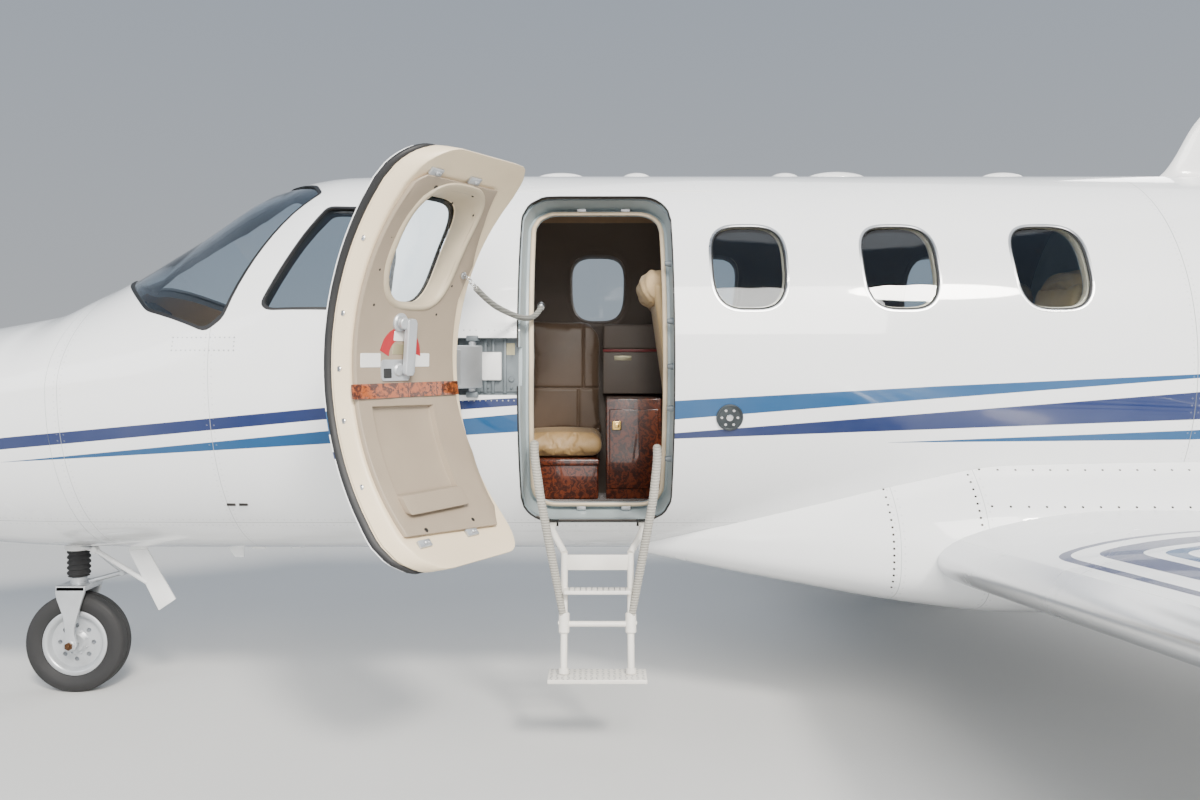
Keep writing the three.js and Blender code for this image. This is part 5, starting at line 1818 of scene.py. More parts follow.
def build_nacelles():
    """Cowls with their pylons, polished lips and inner ducts."""
    centre = Vector((0, NACELLE.y, NACELLE.z))
    xs, radii = [row[0] for row in COWL_ROWS], [row[1] for row in COWL_ROWS]
    slopes = slopes_through(xs, radii)
    profile = [(0.222, 3.15), (0.245, 2.93), (0.268, 2.7), (0.268, 1.3), (0.262, 1.12), (0.258, 1.02)]
    for i in range(9):
        turn = math.pi * i / 8
        profile.append((0.280 - 0.022 * math.cos(turn), 0.985 - 0.035 * math.sin(turn)))
    profile += [
        (smooth_value(xs, radii, slopes, 1.0 + 2.15 * i / 40), 1.0 + 2.15 * i / 40) for i in range(41)
    ]
    profile.append(profile[0])
    cowl = spun("nacelle", profile, AFT, centre, 72)
    rings = []
    for y, nose, chord, z, half in PYLON_ROWS:
        shape = aerofoil(chord, 2 * half / chord, 0, 16)
        rings.append([Vector((nose + u, y, z + v)) for u, v in shape])
    pylon = lofted("pylon", rings)
    combine(pylon, hull("cutter", 0.9, 3.6, -GAP))
    room = [(0, 0.9), (0.29, 0.9), (0.29, 2.69), (0.229, 3.16), (0, 3.16)]
    combine(pylon, spun("cutter", room, AFT, centre, 48))
    combine(cowl, pylon, "UNION")
    smooth(cowl, 40)
    cowl.data.materials.clear()
    for name in ("nacelle_paint", "polished", "silver_paint", "hot_metal"):
        cowl.data.materials.append(finish(name))
    for face in cowl.data.polygons:
        away = Vector((0, face.center.y - centre.y, face.center.z - centre.z))
        inward = face.normal.dot(away) < 0 and away.length < 0.29
        at = face.center.x
        face.material_index = 1 if at < 1.03 else (3 if at > 2.9 else 2) if inward else 0
    dress_pair(cowl, "nacelle", "airframe", "white_paint")


FAN = {"x": 1.43, "root": 0.066, "tip": 0.262, "pitch": 42, "twist": 20, "blades": 16, "vanes": 24}


def fan_blade(name):
    """One twisted, curved blade that points up from the fan's axis."""
    rings = []
    for i in range(11):
        t = i / 10
        radius = FAN["root"] + (FAN["tip"] - FAN["root"]) * t
        pitch = math.radians(FAN["pitch"] + FAN["twist"] * t)
        chord = 0.058 + 0.012 * math.sin(math.pi * t)
        ring = []
        for k in range(16):
            turn = 2 * math.pi * k / 16
            u, v = math.cos(turn) * chord / 2, math.sin(turn) * (0.0032 - 0.0014 * t)
            v += 0.006 * (1 - (2 * u / chord) ** 2)
            ring.append(
                Vector(
                    (
                        FAN["x"] + u * math.cos(pitch) - v * math.sin(pitch),
                        u * math.sin(pitch) + v * math.cos(pitch), radius,
                    )
                )
            )
        rings.append(ring)
    return lofted(name, rings)


def build_fans():
    """Both fans with spinner and blades, and the cores behind them."""
    hub = [(0, 1.285), (0.02, 1.291), (0.042, 1.31), (0.062, 1.345), (0.074, 1.38), (0.078, 1.405)]
    hub += [(0.078, 1.46), (0.03, 1.46), (0.03, 1.5194), (0, 1.5194)]
    core = [(0, 1.52), (0.2677, 1.52), (0.2677, 2.69), (0.196, 2.70), (0.186, 2.83), (0.168, 2.96)]
    core += [(0.125, 3.07), (0.06, 3.17), (0.02, 3.19), (0, 3.19)]
    for name, side in SIDES:
        centre = Vector((0, side * NACELLE.y, NACELLE.z))
        blades = [spun("spinner", hub, AFT, Vector(), 48)]
        for number in range(FAN["blades"]):
            blades.append(turned(fan_blade("blade"), "X", 2 * math.pi * number / FAN["blades"], Vector()))
        fan = smooth(merged("fan_" + name + "_blades", *blades), 35)
        fan.data.transform(Matrix.Translation(centre))
        dress(fan, "fan_" + name, "fan_metal", finish("fan_metal"), replaces=("fan_" + name,))
        body = spun("engine_" + name + "_core", core, AFT, centre, 64)
        vanes = []
        for number in range(FAN["vanes"]):
            vane = block("vane", (1.472, -0.003, 0.085), (1.515, 0.003, 0.264), 0.001)
            turned(vane, "Z", math.radians(-18), Vector((1.49, 0, 0)))
            turned(vane, "X", 2 * math.pi * number / FAN["vanes"], Vector())
            vane.data.transform(Matrix.Translation(centre))
            vanes.append(vane)
        dress(smooth(body, 35), "airframe", "engine_metal", finish("hot_metal"), replaces=("engine_" + name,))
        dress(smooth(merged("stator_" + name, *vanes)), "airframe", "engine_metal", finish("bare_metal"))


# Entrance
DOOR_GAP = 0.006
PIN_HEIGHTS = (1.148, 1.352, 1.516, 1.692, 1.924)
PIN_DEPTH = 0.05
DOOR_MIDDLE = ((DOORWAY["front"] + DOORWAY["rear"]) / 2, (DOORWAY["sill"] + DOORWAY["head"]) / 2)
DOOR_TAPER = {"aft": 0.56, "other": 0.2}
FRAME_TAPER = {"aft": 0.05, "other": 0.2}


def piece(name, parts, material, body="airframe", slot="gear_metal", degrees=32, replaces=()):
    """Joins parts into one smooth dressed piece."""
    obj = smooth(merged(name, *parts), degrees)
    return dress(obj, body, slot, finish(material), replaces=replaces)


def rod(name, a, b, radius, far_radius=None, steps=24, chamfer=0.002):
    """A round bar with broken edges between two points."""
    a, b = Vector(a), Vector(b)
    length = (b - a).length
    far = radius if far_radius is None else far_radius
    c = min(chamfer, radius * 0.4)
    profile = [(0, 0), (radius - c, 0), (radius, c), (far, length - c), (far - c, length), (0, length)]
    return spun(name, profile, (b - a).normalized(), a, steps)


def dense(points, step=0.03):
    """The same closed outline with points at most a step apart."""
    filled = []
    for i, (x, z) in enumerate(points):
        after = points[(i + 1) % len(points)]
        count = max(1, math.ceil(math.dist((x, z), after) / step))
        filled += [(x + (after[0] - x) * k / count, z + (after[1] - z) * k / count) for k in range(count)]
    return filled


def drawn_in(x, z, depth, taper=DOOR_TAPER):
    """How the plug door's edge draws in with depth, and the doorway frame with it."""
    middle_x, middle_z = DOOR_MIDDLE
    side = max(0.0, 1 - abs(z - middle_z) / 1.4)
    across = depth * (taper["aft"] if x > middle_x else taper["other"] * side)
    across *= min(1.0, abs(x - middle_x) / 0.185)
    rise = depth * taper["other"] * min(1.0, abs(z - middle_z) / 0.56) ** 4
    return x - math.copysign(across, x - middle_x), z - math.copysign(rise, z - middle_z)


def plug_ring(outline, inset, more=0.0, taper=DOOR_TAPER):
    """The drawn-in outline on the surface at an inset, with more taken off all round."""
    ring = []
    for x, z in offset_outline(outline, -more):
        depth = inset
        for _ in range(4):
            u, v = drawn_in(x, z, depth, taper)
            depth = skin_y(x, z) - skin_y(u, v, inset)
        ring.append(Vector((u, -skin_y(u, v, inset), v)))
    return ring


def at_inner(x, z, inset=0.085):
    """A point on the shut door's inner face."""
    return Vector((x, -skin_y(x, z, inset), z))


def inward(x, z):
    """Direction into the cabin on the port side."""
    return -skin_normal(Vector((x, -skin_y(x, z), z)))


def hang(obj):
    """Turns a piece of the shut door to where the door stands open."""
    return turned(obj, "Z", -DOOR_OPEN, DOOR_HINGE)


def door_piece(name, parts, material, slot="gear_metal", degrees=32, replaces=()):
    """A piece that swings with the door."""
    return piece(name, [hang(merged(name, *parts))], material, "door", slot, degrees, replaces)


DOOR_OUTLINE = dense(
    rounded_outline(
        DOORWAY["front"] + DOOR_GAP,
        DOORWAY["rear"] - DOOR_GAP,
        DOORWAY["sill"] + DOOR_GAP,
        DOORWAY["head"] - DOOR_GAP,
        DOORWAY["corner"] - DOOR_GAP,
        8,
    )
)
FRAME_OUTLINE = dense(DOORWAY_OUTLINE)
TRIM_AFT = [
    (-2.252, 1.004),
    (-2.200, 1.048),
    (-2.200, 1.108),
    (-2.208, 1.260),
    (-2.208, 1.472),
    (-2.220, 1.632),
    (-2.240, 1.748),
    (-2.264, 1.848),
    (-2.252, 1.920),
    (-2.220, 1.996),
    (-2.220, 2.056),
    (-2.312, 2.112),
]
TRIM_FORWARD = [
    (-2.660, 2.112),
    (-2.712, 2.008),
    (-2.756, 1.876),
    (-2.732, 1.756),
    (-2.744, 1.468),
    (-2.772, 1.212),
    (-2.752, 1.032),
    (-2.704, 0.980),
]
POCKET = [(-2.324, 1.064), (-2.324, 1.398), (-2.620, 1.392), (-2.620, 1.056)]


def inner_limit(z, clear):
    """Aftmost x of the door's inner face at a height."""
    depth = skin_y(-2.25, z) - skin_y(-2.25, z, WALL)
    return drawn_in(DOORWAY["rear"] - DOOR_GAP, z, depth)[0] - clear


def build_doorway():
    """Frame with room for the hinge arm, seal, edge, rain gutter, catches and pin pockets of the entrance."""
    frame = [(0.030, None), (0.033, 0.002), (0.083, 0.002), (0.114, 0.004), (0.118, 0.030), (0.127, 0.032)]
    frame += [(0.129, 0.022), (0.127, -0.022), (0.0795, -0.022), (0.0795, None), (0.030, None)]
    rings = []
    for inset, more in frame:
        if more is None:
            rings.append([Vector((x, -skin_y(x, z, inset), z)) for x, z in FRAME_OUTLINE])
        else:
            rings.append(plug_ring(FRAME_OUTLINE, inset, more - 0.003, FRAME_TAPER))
    arm_room = ((-2.862, -0.93, 1.441), (-2.748, -0.758, 1.591))
    frame = lofted("doorway_frame", rings, "NOTHING")
    combine(frame, block("cutter", *arm_room))
    piece("doorway_frame", [frame], "frame_grey", slot="fairing_paint")
    bulb = [
        plug_ring(FRAME_OUTLINE, 0.1125 + 0.0085 * math.sin(t), 0.022 + 0.0095 * math.cos(t), FRAME_TAPER)
        for t in (2 * math.pi * i / 12 for i in range(13))
    ]
    piece(
        "doorway_seal", [lofted("doorway_seal", bulb, "NOTHING")], "cream_seal", slot="beige_leather",
        degrees=80,
    )
    lip = [
        (0.0045, -0.0004), (0.0045, -0.0012), (0.0006, -0.0014), (-0.0004, 0.001), (-0.0004, 0.012),
        (0.0045, -0.0004),
    ]
    edge = loop_on_skin("doorway_edge", FRAME_OUTLINE, -1, lip)
    combine(edge, block("cutter", *arm_room))
    piece("doorway_edge", [edge], "black_seal", slot="tyre")
    gutter = [Vector((-3.0 + 1.01 * i / 20, 0, 2.252)) for i in range(21)]
    for point in gutter:
        point.y = -skin_y(point.x, point.z) - 0.001
    piece("rain_gutter", [bar("rain_gutter", gutter, 0.003, 1)], "white_enamel", slot="white_paint")
    catches, pockets = [], []
    for z in PIN_HEIGHTS:
        depth = skin_y(-2.25, z) - skin_y(-2.25, z, PIN_DEPTH)
        x = drawn_in(DOORWAY["rear"], z, depth)[0]
        y = -skin_y(x, z, PIN_DEPTH)
        wall_x = drawn_in(DOORWAY["rear"], z, depth, FRAME_TAPER)[0]
        pockets.append(rod("pocket", (x + 0.004, y, z), (wall_x + 0.004, y, z), 0.010, 0.014))
    for z in (2.19, 0.912):
        for x in (-2.38, -2.57):
            y = -skin_y(x, z, 0.105)
            catches.append(
                block("catch", (x - 0.02, y - 0.004, z - 0.012), (x + 0.02, y + 0.012, z + 0.012), 0.003)
            )
    piece("door_catches", catches, "bare_metal")
    piece("door_pin_pockets", pockets, "bay_grey")


BAY_FLOOR_Y = -0.7555
ARM_Y = -0.838
ARM_LOW = 1.436
ARM_HIGH = 1.596


def build_hinge():
    """Hinge arm, its pin and lugs, and the fittings in the recess."""
    x, y = DOOR_HINGE.x, DOOR_HINGE.y
    lugs = []
    for low, high in ((1.398, 1.4197), (1.6123, 1.634)):
        lugs.append(block("lug", (x - 0.022, y - 0.017, low), (x + 0.022, -0.75, high), 0.004, 3))
    ribs = [block("rib", (-3.046, -0.764, z), (-2.806, BAY_FLOOR_Y, z + 0.005)) for z in (1.418, 1.606)]
    ribs += [
        block("rib", (bx, -0.768, 1.41), (bx + 0.012, BAY_FLOOR_Y, 1.622), 0.002)
        for bx in (-2.942, -2.912, -2.866)
    ]
    bolts = []
    for bx, bz, size in (
        (-3.03, 1.43, 6), (-2.926, 1.434, 5), (-2.926, 1.598, 5), (-2.835, 1.466, 11), (-2.835, 1.43, 5),
        (-2.90, 1.598, 4),
    ):
        bolts.append(rod("bolt", (bx, BAY_FLOOR_Y, bz), (bx, -0.763, bz), size / 1000, steps=20))
    piece("hinge_fittings", lugs + ribs + bolts, "bay_grey", slot="gear_metal")
    floor = block("floor", (-3.0495, -0.7562, 1.4065), (-2.8065, -0.755, 1.6255))
    piece("hinge_bay_floor", [floor], "bay_grey", slot="fairing_paint")
    cover = block("cover", (-2.952, -0.7795, 1.461), (-2.872, BAY_FLOOR_Y, 1.5715), 0.006, 3)
    piece("hinge_cover", [cover], "white_enamel", slot="gear_metal")
    label = block("label", (-2.856, -0.7582, 1.56), (-2.822, -0.7562, 1.606), 0.0006, 1)
    piece("hinge_bay_label", [label], "blank_plate", slot="panel_plastic")
    barrel = [rod("barrel", (x, y, 1.42), (x, y, 1.612), 0.014, steps=32)]
    barrel += [rod("ring", (x, y, z), (x, y, z + 0.006), 0.0155, steps=32) for z in (1.452, 1.513, 1.574)]
    arm = extruded(
        "arm",
        [
            (x - 0.008, ARM_Y, ARM_LOW), (-2.826, ARM_Y, ARM_LOW), (-2.826, ARM_Y, ARM_HIGH),
            (x - 0.008, ARM_Y, ARM_HIGH),
        ],
        (0, 0.052, 0),
        0.006,
        3,
    )
    neck = block("neck", (-2.834, -0.812, 1.45), (-2.762, -0.768, 1.582), 0.005, 3)
    door_piece("door_hinge_arm", barrel + [arm, neck], "silver_paint", "gear_metal")


def build_door():
    """Outer skin, edge, seals, lining, window, handle, pins and pocket of the door."""
    middle_x, middle_z = DOOR_MIDDLE
    rings = []
    for scale in (0.03, 0.2, 0.4, 0.6, 0.78, 0.9, 0.95):
        drawn = [
            (middle_x + (x - middle_x) * scale, middle_z + (z - middle_z) * scale) for x, z in DOOR_OUTLINE
        ]
        rings.append([Vector((x, -skin_y(x, z), z)) for x, z in drawn])
    edges = (
        (0.0, 0.011), (0.0, 0.008), (0.0012, 0.007), (0.012, 0.007), (0.0125, 0.007), (0.028, 0.007),
        (0.034, 0.001),
    )
    for inset, more in edges + ((0.045, 0.0), (0.06, 0.0), (0.074, 0.0), (0.079, 0.002), (WALL, 0.006)):
        rings.append(plug_ring(DOOR_OUTLINE, inset, more))
    edge = rings[-1]
    for scale in (0.985, 0.9, 0.75, 0.55, 0.35, 0.15, 0.03):
        ring = []
        for point in edge:
            x, z = middle_x + (point.x - middle_x) * scale, middle_z + (point.z - middle_z) * scale
            ring.append(Vector((x, -skin_y(x, z, WALL), z)))
        rings.append(ring)
    body = lofted("door_skin", rings)
    combine(body, window_cutter(0, -1))
    sunk = [(s, 0.070) for s in (0.03, 0.3, 0.6, 0.8, 0.96)] + [(0.97, 0.11), (0.5, 0.11), (0.03, 0.11)]
    combine(body, patch_on_skin("cutter", dense(POCKET, 0.03), -1, sunk, (-2.472, 1.226)))
    body.data.materials.clear()
    for name in ("door_paint", "door_cream"):
        body.data.materials.append(finish(name))
    for face in body.data.polygons:
        out = face.normal.dot(skin_normal(face.center))
        on_edge = skin_y(face.center.x, face.center.z) + face.center.y < 0.0122
        face.material_index = 0 if on_edge or out > 0.75 else 1
    smooth(body, 35)
    fair_normals(body, skin_normal)
    dress(hang(body), "door", "white_paint", replaces=("door_panel",))
    seal = [
        plug_ring(DOOR_OUTLINE, 0.0145 + 0.0125 * math.sin(t), 0.0132 - 0.0125 * math.cos(t))
        for t in (2 * math.pi * i / 12 for i in range(13))
    ]
    door_piece("door_rim_seal", [lofted("door_rim_seal", seal, "NOTHING")], "black_seal", "tyre", 80)
    trim = []
    for x, z in dense(TRIM_AFT + TRIM_FORWARD, 0.025):
        trim.append((min(x, inner_limit(z, 0.010)), z))
    profile = [(s, 0.066) for s in (0.03, 0.35, 0.7, 0.99)] + [(1.0, 0.078), (1.0, 0.092), (0.994, 0.0955)]
    profile += [(s, 0.097) for s in (0.985, 0.9, 0.75, 0.55, 0.35, 0.15, 0.03)]
    lining = patch_on_skin("door_lining", trim, -1, profile, (-2.49, 1.55))
    combine(lining, window_cutter(0, -1, 0.004))
    sunk = [(s, 0.080) for s in (0.03, 0.3, 0.6, 0.8, 0.92)] + [
        (0.95, 0.082), (1.0, 0.104), (0.7, 0.104), (0.03, 0.104)
    ]
    combine(lining, patch_on_skin("cutter", dense(POCKET, 0.03), -1, sunk, (-2.472, 1.226)))
    door_piece("door_lining", [lining], "door_trim", "panel_plastic")
    outline = window_outline(WINDOW["first"])
    surround = [
        (-0.002, 0.030), (-0.006, 0.052), (-0.002, 0.084), (0.006, 0.101), (0.014, 0.105), (0.022, 0.103)
    ]
    surround += [(0.028, 0.0965), (0.028, 0.088), (0.006, 0.080), (-0.002, 0.030)]
    door_piece(
        "door_window_surround", [loop_on_skin("surround", outline, -1, surround)], "window_liner",
        "panel_plastic", 50,
    )
    bezel, gasket = window_mouldings(WINDOW["first"], -1, "door")
    door_piece("door_window_bezel", [bezel], "bare_metal")
    door_piece("door_window_gasket", [gasket], "black_seal", "window_glass", 80)
    centre = (WINDOW["first"], (WINDOW["low"] + WINDOW["high"]) / 2)
    pane = pane_solid("door_pane", window_outline(WINDOW["first"], -0.001), -1, centre)
    door_piece("door_pane", [pane], "cabin_glass", "window_glass", replaces=("door_window",))
    door_furniture()


def door_plate(name, outline, material, low, high, slot="panel_plastic", bevel=0.97, round_by=0.0):
    """A thin plate that follows the door's inner face, between two depths."""
    if round_by:
        (x0, z0), (x1, z1) = outline
        points = dense(rounded_outline(x0, x1, z0, z1, round_by, 4), 0.025)
    else:
        points = dense(outline, 0.02)
    middle = (sum(x for x, _ in points) / len(points), sum(z for _, z in points) / len(points))
    profile = [(0.03, low), (1.0, low), (1.0, high - 0.0015), (bevel, high), (0.6, high), (0.03, high)]
    return door_piece(name, [patch_on_skin(name, points, -1, profile, middle)], material, slot, 25)


def door_furniture():
    """Handle, arrow plate, wood strip, pocket ledge, latch pins and stay eye."""
    door_plate(
        "door_wood_strip", [(-2.756, 1.42), (-2.246, 1.468)], "burl_wood", 0.094, 0.1035, "burl_wood", 0.985,
        0.004,
    )
    door_plate(
        "door_ledge", [(-2.612, 1.062), (-2.322, 1.118)], "door_trim", 0.086, 0.118, bevel=0.94, round_by=0.01
    )
    turns = [math.pi * i / 16 for i in range(17)]
    outer, inner = (
        [
            (-2.468 + radius * math.cos(t), 1.556 + radius * math.sin(t)) for t in turns
        ] for radius in (0.098, 0.056)
    )
    rings = [[at_inner(x, z, inset) for x, z in outer + inner[::-1]] for inset in (0.095, 0.0985)]
    door_piece("door_arrow_plate", [lofted("arrow", rings)], "plate_red", "panel_plastic")
    door_plate(
        "door_label_aft", [(-2.376, 1.520), (-2.286, 1.566)], "plate_white", 0.095, 0.0985, round_by=0.004
    )
    door_plate(
        "door_label_forward", [(-2.612, 1.520), (-2.530, 1.566)], "plate_white", 0.095, 0.0985, round_by=0.004
    )
    door_plate(
        "door_label_top", [(-2.498, 1.606), (-2.430, 1.640)], "plate_white", 0.095, 0.0990, round_by=0.004
    )
    door_plate(
        "door_label_inner", [(-2.498, 1.562), (-2.430, 1.596)], "blank_plate", 0.095, 0.0985, round_by=0.003
    )
    door_plate(
        "door_handle_base", [(-2.508, 1.474), (-2.376, 1.545)], "silver_paint", 0.094, 0.103, "gear_metal",
        0.95, 0.012,
    )
    door_plate(
        "door_handle_catch", [(-2.420, 1.484), (-2.384, 1.516)], "dark_plastic", 0.100, 0.1045, round_by=0.003
    )
    pivot = at_inner(-2.452, 1.668, 0.094)
    out = inward(-2.452, 1.668)
    foot = at_inner(-2.452, 1.512, 0.100)
    handle = [
        rod("boss", pivot, pivot + out * 0.014, 0.032, steps=40, chamfer=0.004),
        rod("boss", pivot + out * 0.014, pivot + out * 0.03, 0.02, steps=32),
        rod("boss", foot, foot + out * 0.012, 0.022, steps=32, chamfer=0.004),
    ]
    lever = extruded(
        "lever",
        [at_inner(x, z, 0.110) for x, z in rounded_outline(-2.506, -2.462, 1.492, 1.682, 0.014, 5)],
        out * 0.018,
        0.004,
        3,
    )
    door_piece("door_handle", handle + [lever], "silver_paint", degrees=40)
    screws = []
    for x, z in (
        (-2.356, 2.036), (-2.492, 2.052), (-2.625, 2.03), (-2.672, 1.92), (-2.676, 1.80), (-2.628, 1.70),
        (-2.49, 1.706), (-2.322, 1.72), (-2.31, 1.83), (-2.312, 1.93),
    ):
        at, away = at_inner(x, z, 0.0965), inward(x, z)
        screws.append(rod("screw", at, at + away * 0.0018, 0.0045, steps=12, chamfer=0.0008))
    door_piece("door_lining_screws", screws, "dark_steel")
    pins = []
    for z in PIN_HEIGHTS:
        depth = skin_y(-2.25, z) - skin_y(-2.25, z, PIN_DEPTH)
        x = drawn_in(DOORWAY["rear"] - DOOR_GAP, z, depth)[0]
        y = -skin_y(x, z, PIN_DEPTH)
        pins.append(rod("pin", (x - 0.02, y, z), (x + 0.0022, y, z), 0.010, steps=28))
    door_piece("door_pins", pins, "chrome")
    plates, holes = [], []
    for z, xs, hole_z in ((2.128, (-2.344, -2.532), 2.086), (0.972, (-2.340, -2.572), 1.010)):
        for x in xs:
            at, out = at_inner(x, z, 0.081), inward(x, z)
            side = AFT
            up = out.cross(AFT)
            corners = [
                at + side * u + up * v
                for u, v in ((-0.027, -0.013), (0.027, -0.013), (0.027, 0.013), (-0.027, 0.013))
            ]
            plates.append(extruded("plate", corners, out * 0.010, 0.002))
            plates.append(rod("latch", at + out * 0.009, at + out * 0.018, 0.007))
            plates.append(
                rod(
                    "latch", at + out * 0.009 - side * 0.018, at + out * 0.0115 - side * 0.018, 0.004, steps=6
                )
            )
            low = at_inner(x - 0.03, hole_z, 0.0955)
            holes.append(rod("hole", low, low + out * 0.0025, 0.009, steps=28))
    door_piece("door_latch_plates", plates, "silver_paint")
    door_piece("door_screw_caps", holes, "dark_steel")
    eye, out = at_inner(-2.716, 1.84, 0.096), inward(-2.716, 1.84)
    parts = [
        rod("eye", eye, eye + out * 0.008, 0.013), rod("eye", eye + out * 0.008, eye + out * 0.022, 0.005)
    ]
    door_piece("door_stay_eye", parts, "bare_metal")


def cord_length(points):
    """Length of a smooth line through its points."""
    return sum((b - a).length for a, b in zip(points, points[1:]))


def curve_through(knots):
    """Points of the same smooth line that bar lays along its knots."""
    line = bar("line", knots, 0.0, 10)
    points = [vertex.co.copy() for vertex in line.data.vertices]
    drop(line)
    points.sort(key=lambda p: (p - knots[0]).length)
    return points


def build_stay():
    """The door's hold cord from the door lining round the forward jamb, with its chain and anchor."""
    eye = at_inner(-2.716, 1.84, 0.096) + inward(-2.716, 1.84) * 0.022
    turn = Matrix.Translation(DOOR_HINGE) @ Matrix.Rotation(
        -DOOR_OPEN, 4, "Z"
    ) @ Matrix.Translation(-DOOR_HINGE)
    start = turn @ eye
    knots = [
        Vector((-2.726, -0.655, 1.752)), Vector((-2.738, -0.70, 1.716)), Vector((-2.772, -0.80, 1.690)),
        Vector((-2.842, -0.93, 1.722)),
    ]
    chain_end = start.lerp(knots[-1], 0.22) - Vector((0, 0, 0.012))
    knots += [knots[-1].lerp(chain_end, 0.5) - Vector((0, 0, 0.016)), chain_end]
    thickness = size_of("cord_thickness")
    sleeve = bar("door_hold_cord", knots, thickness / 2, 10, 7)
    path = curve_through(knots)
    obj = dress(smooth(sleeve, 60), None, "panel_plastic", finish("grey_rope"))
    links = []
    for i in range(4):
        a, b = start.lerp(chain_end, i / 4), start.lerp(chain_end, (i + 1) / 4)
        bpy.ops.mesh.primitive_torus_add(
            major_radius=0.0085,
            minor_radius=0.0018,
            major_segments=20,
            minor_segments=8,
            location=(a + b) / 2,
            rotation=(b - a).to_track_quat("X", "Y" if i % 2 else "Z").to_euler(),
        )
        links.append(bake_place(named("link")))
    anchor = [
        rod("anchor", knots[0] + Vector((0.0, 0.012, 0.01)), knots[0] - Vector((0, 0.008, 0.004)), 0.015)
    ]
    chain = piece("stay_chain", links, "chrome", None, degrees=60)
    piece("stay_anchor", anchor, "bare_metal")
    tuple(path[0])
    cord_length(path)
    [tuple(p) for p in path]
    for part in (obj, chain):
        tuple(knots[0])
        tuple(knots[3])
        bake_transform(part)


def build_steps():
    """Folding steps with their treads, and the two hand ropes."""
    x, arm, rail = STEPS["x"], STEPS["arm"], STEPS["rail"]
    parts = []
    for hand in (-1, 1):
        ax, rx = x + hand * arm, x + hand * rail
        for low, high in (
            ((ax - 0.014, -0.380, FLOOR_Z + GAP), (ax + 0.014, -0.322, 0.888)),
            ((ax - 0.014, -0.380, 0.853), (ax + 0.014, -0.366, 0.888)),
            ((ax - 0.014, -0.618, 0.853), (ax + 0.014, -0.366, 0.866)),
        ):
            parts.append(block("arm", low, high, 0.0025))
        line = [
            (ax, -0.606, 0.8595), (ax, -0.618, 0.857), (rx + hand * 0.03, -0.67, 0.822), (rx, -0.722, 0.782)
        ]
        line += [(rx, -0.734, 0.70), (rx, -0.756, 0.515), (rx, -0.802, 0.322)]
        parts.append(bar("rail", [Vector(p) for p in line[:4]], 0.0135, 1, 6))
        parts.append(bar("rail", [Vector(p) for p in line[3:]], 0.0135, 1, 6))
        parts.append(rod("collar", (rx, -0.750, 0.555), (rx, -0.765, 0.478), 0.021, steps=32, chamfer=0.004))
        parts.append(rod("foot", (rx, -0.799, 0.331), (rx, -0.7965, 0.352), 0.02, steps=28))
        parts.append(rod("pin", (rx - 0.024, -0.757, 0.516), (rx + 0.024, -0.757, 0.516), 0.008, steps=20))
    parts.append(block("plate", (x - rail, -0.734, 0.716), (x + rail, -0.722, 0.776), 0.003))
    parts.append(block("tread", (x - rail, -0.800, 0.636), (x + rail, -0.736, 0.650), 0.003))
    parts.append(rod("rung", (x - rail, -0.757, 0.512), (x + rail, -0.757, 0.512), 0.011))
    parts.append(block("tread", (x - 0.19, -0.872, 0.314), (x + 0.19, -0.736, 0.331), 0.004, 3))
    piece("folding_steps_frame", parts, "step_cream", replaces=("folding_steps",))
    ribs = []
    for i in range(17):
        for k in range(6):
            cx, cy = x - 0.176 + 0.022 * i, -0.862 + 0.0225 * k
            stud = block(
                "stud", (cx - 0.007, cy - 0.0016, 0.3305), (cx + 0.007, cy + 0.0016, 0.3325), 0.0007, 1
            )
            ribs.append(turned(stud, "Z", math.radians(45 if (i + k) % 2 else -45), Vector((cx, cy, 0))))
    for i in range(11):
        cx = x - 0.11 + 0.022 * i
        ribs.append(block("stud", (cx - 0.002, -0.796, 0.6495), (cx + 0.002, -0.741, 0.6515), 0.0008, 1))
    piece("tread_studs", ribs, "bare_metal")
    for name, hand, top in (
        ("forward", -1, Vector((-2.752, -0.66, 1.205))), ("aft", 1, Vector((-2.262, -0.66, 1.19)))
    ):
        foot = Vector((x + hand * (rail + 0.004), -0.757, 0.545))
        knee = Vector((top.x + (0.03 if hand < 0 else -0.02), -0.80, 1.02))
        line = [
            top, top + Vector((0, -0.05, -0.03)), top.lerp(knee, 0.75), knee, knee.lerp(foot, 0.35),
            knee.lerp(foot, 0.7), foot,
        ]
        radii = [1.05, 1.0, 1.06, 0.98, 1.05, 0.97, 0.85]
        rope = smooth(bar("hand_rope_" + name, line, size_of("rope_thickness") / 2, 10, 7, radii), 60)
        dress(rope, "airframe", "beige_leather", finish("rope_cloth"))
        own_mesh(rope)


# Landing gear
def grooved_tyre(name, at, radius, rim, width, grooves):
    """A tyre with bulging walls and round grooves in its tread."""
    half = width / 2
    side = [(rim + 0.0015, half * 0.60), (rim + 0.003, half * 0.72), (rim + 0.012, half * 0.80)]
    for i in range(9):
        t = i / 8
        side.append(
            (
                rim + 0.012 + (radius - half * 0.30 - rim - 0.012) * t,
                half * (0.80 + 0.19 * math.sin(math.pi * min(1, t * 1.25) / 2) - 0.10 * t**3),
            )
        )
    for i in range(1, 6):
        turn = math.pi / 2 * i / 5
        side.append(
            (radius - half * 0.30 * (1 - math.sin(turn)), half * (0.89 - 0.42 * (1 - math.cos(turn))))
        )
    tread = []
    for place in grooves:
        edge = place * half
        tread += [
            (radius - 0.0002, edge + 0.0035), (radius - 0.006, edge + 0.0025),
            (radius - 0.006, edge - 0.0025), (radius - 0.0002, edge - 0.0035),
        ]
    profile = side + tread + [(r, -y) for r, y in reversed(side)] + [side[0]]
    return spun(name, profile, ACROSS, at, 96)


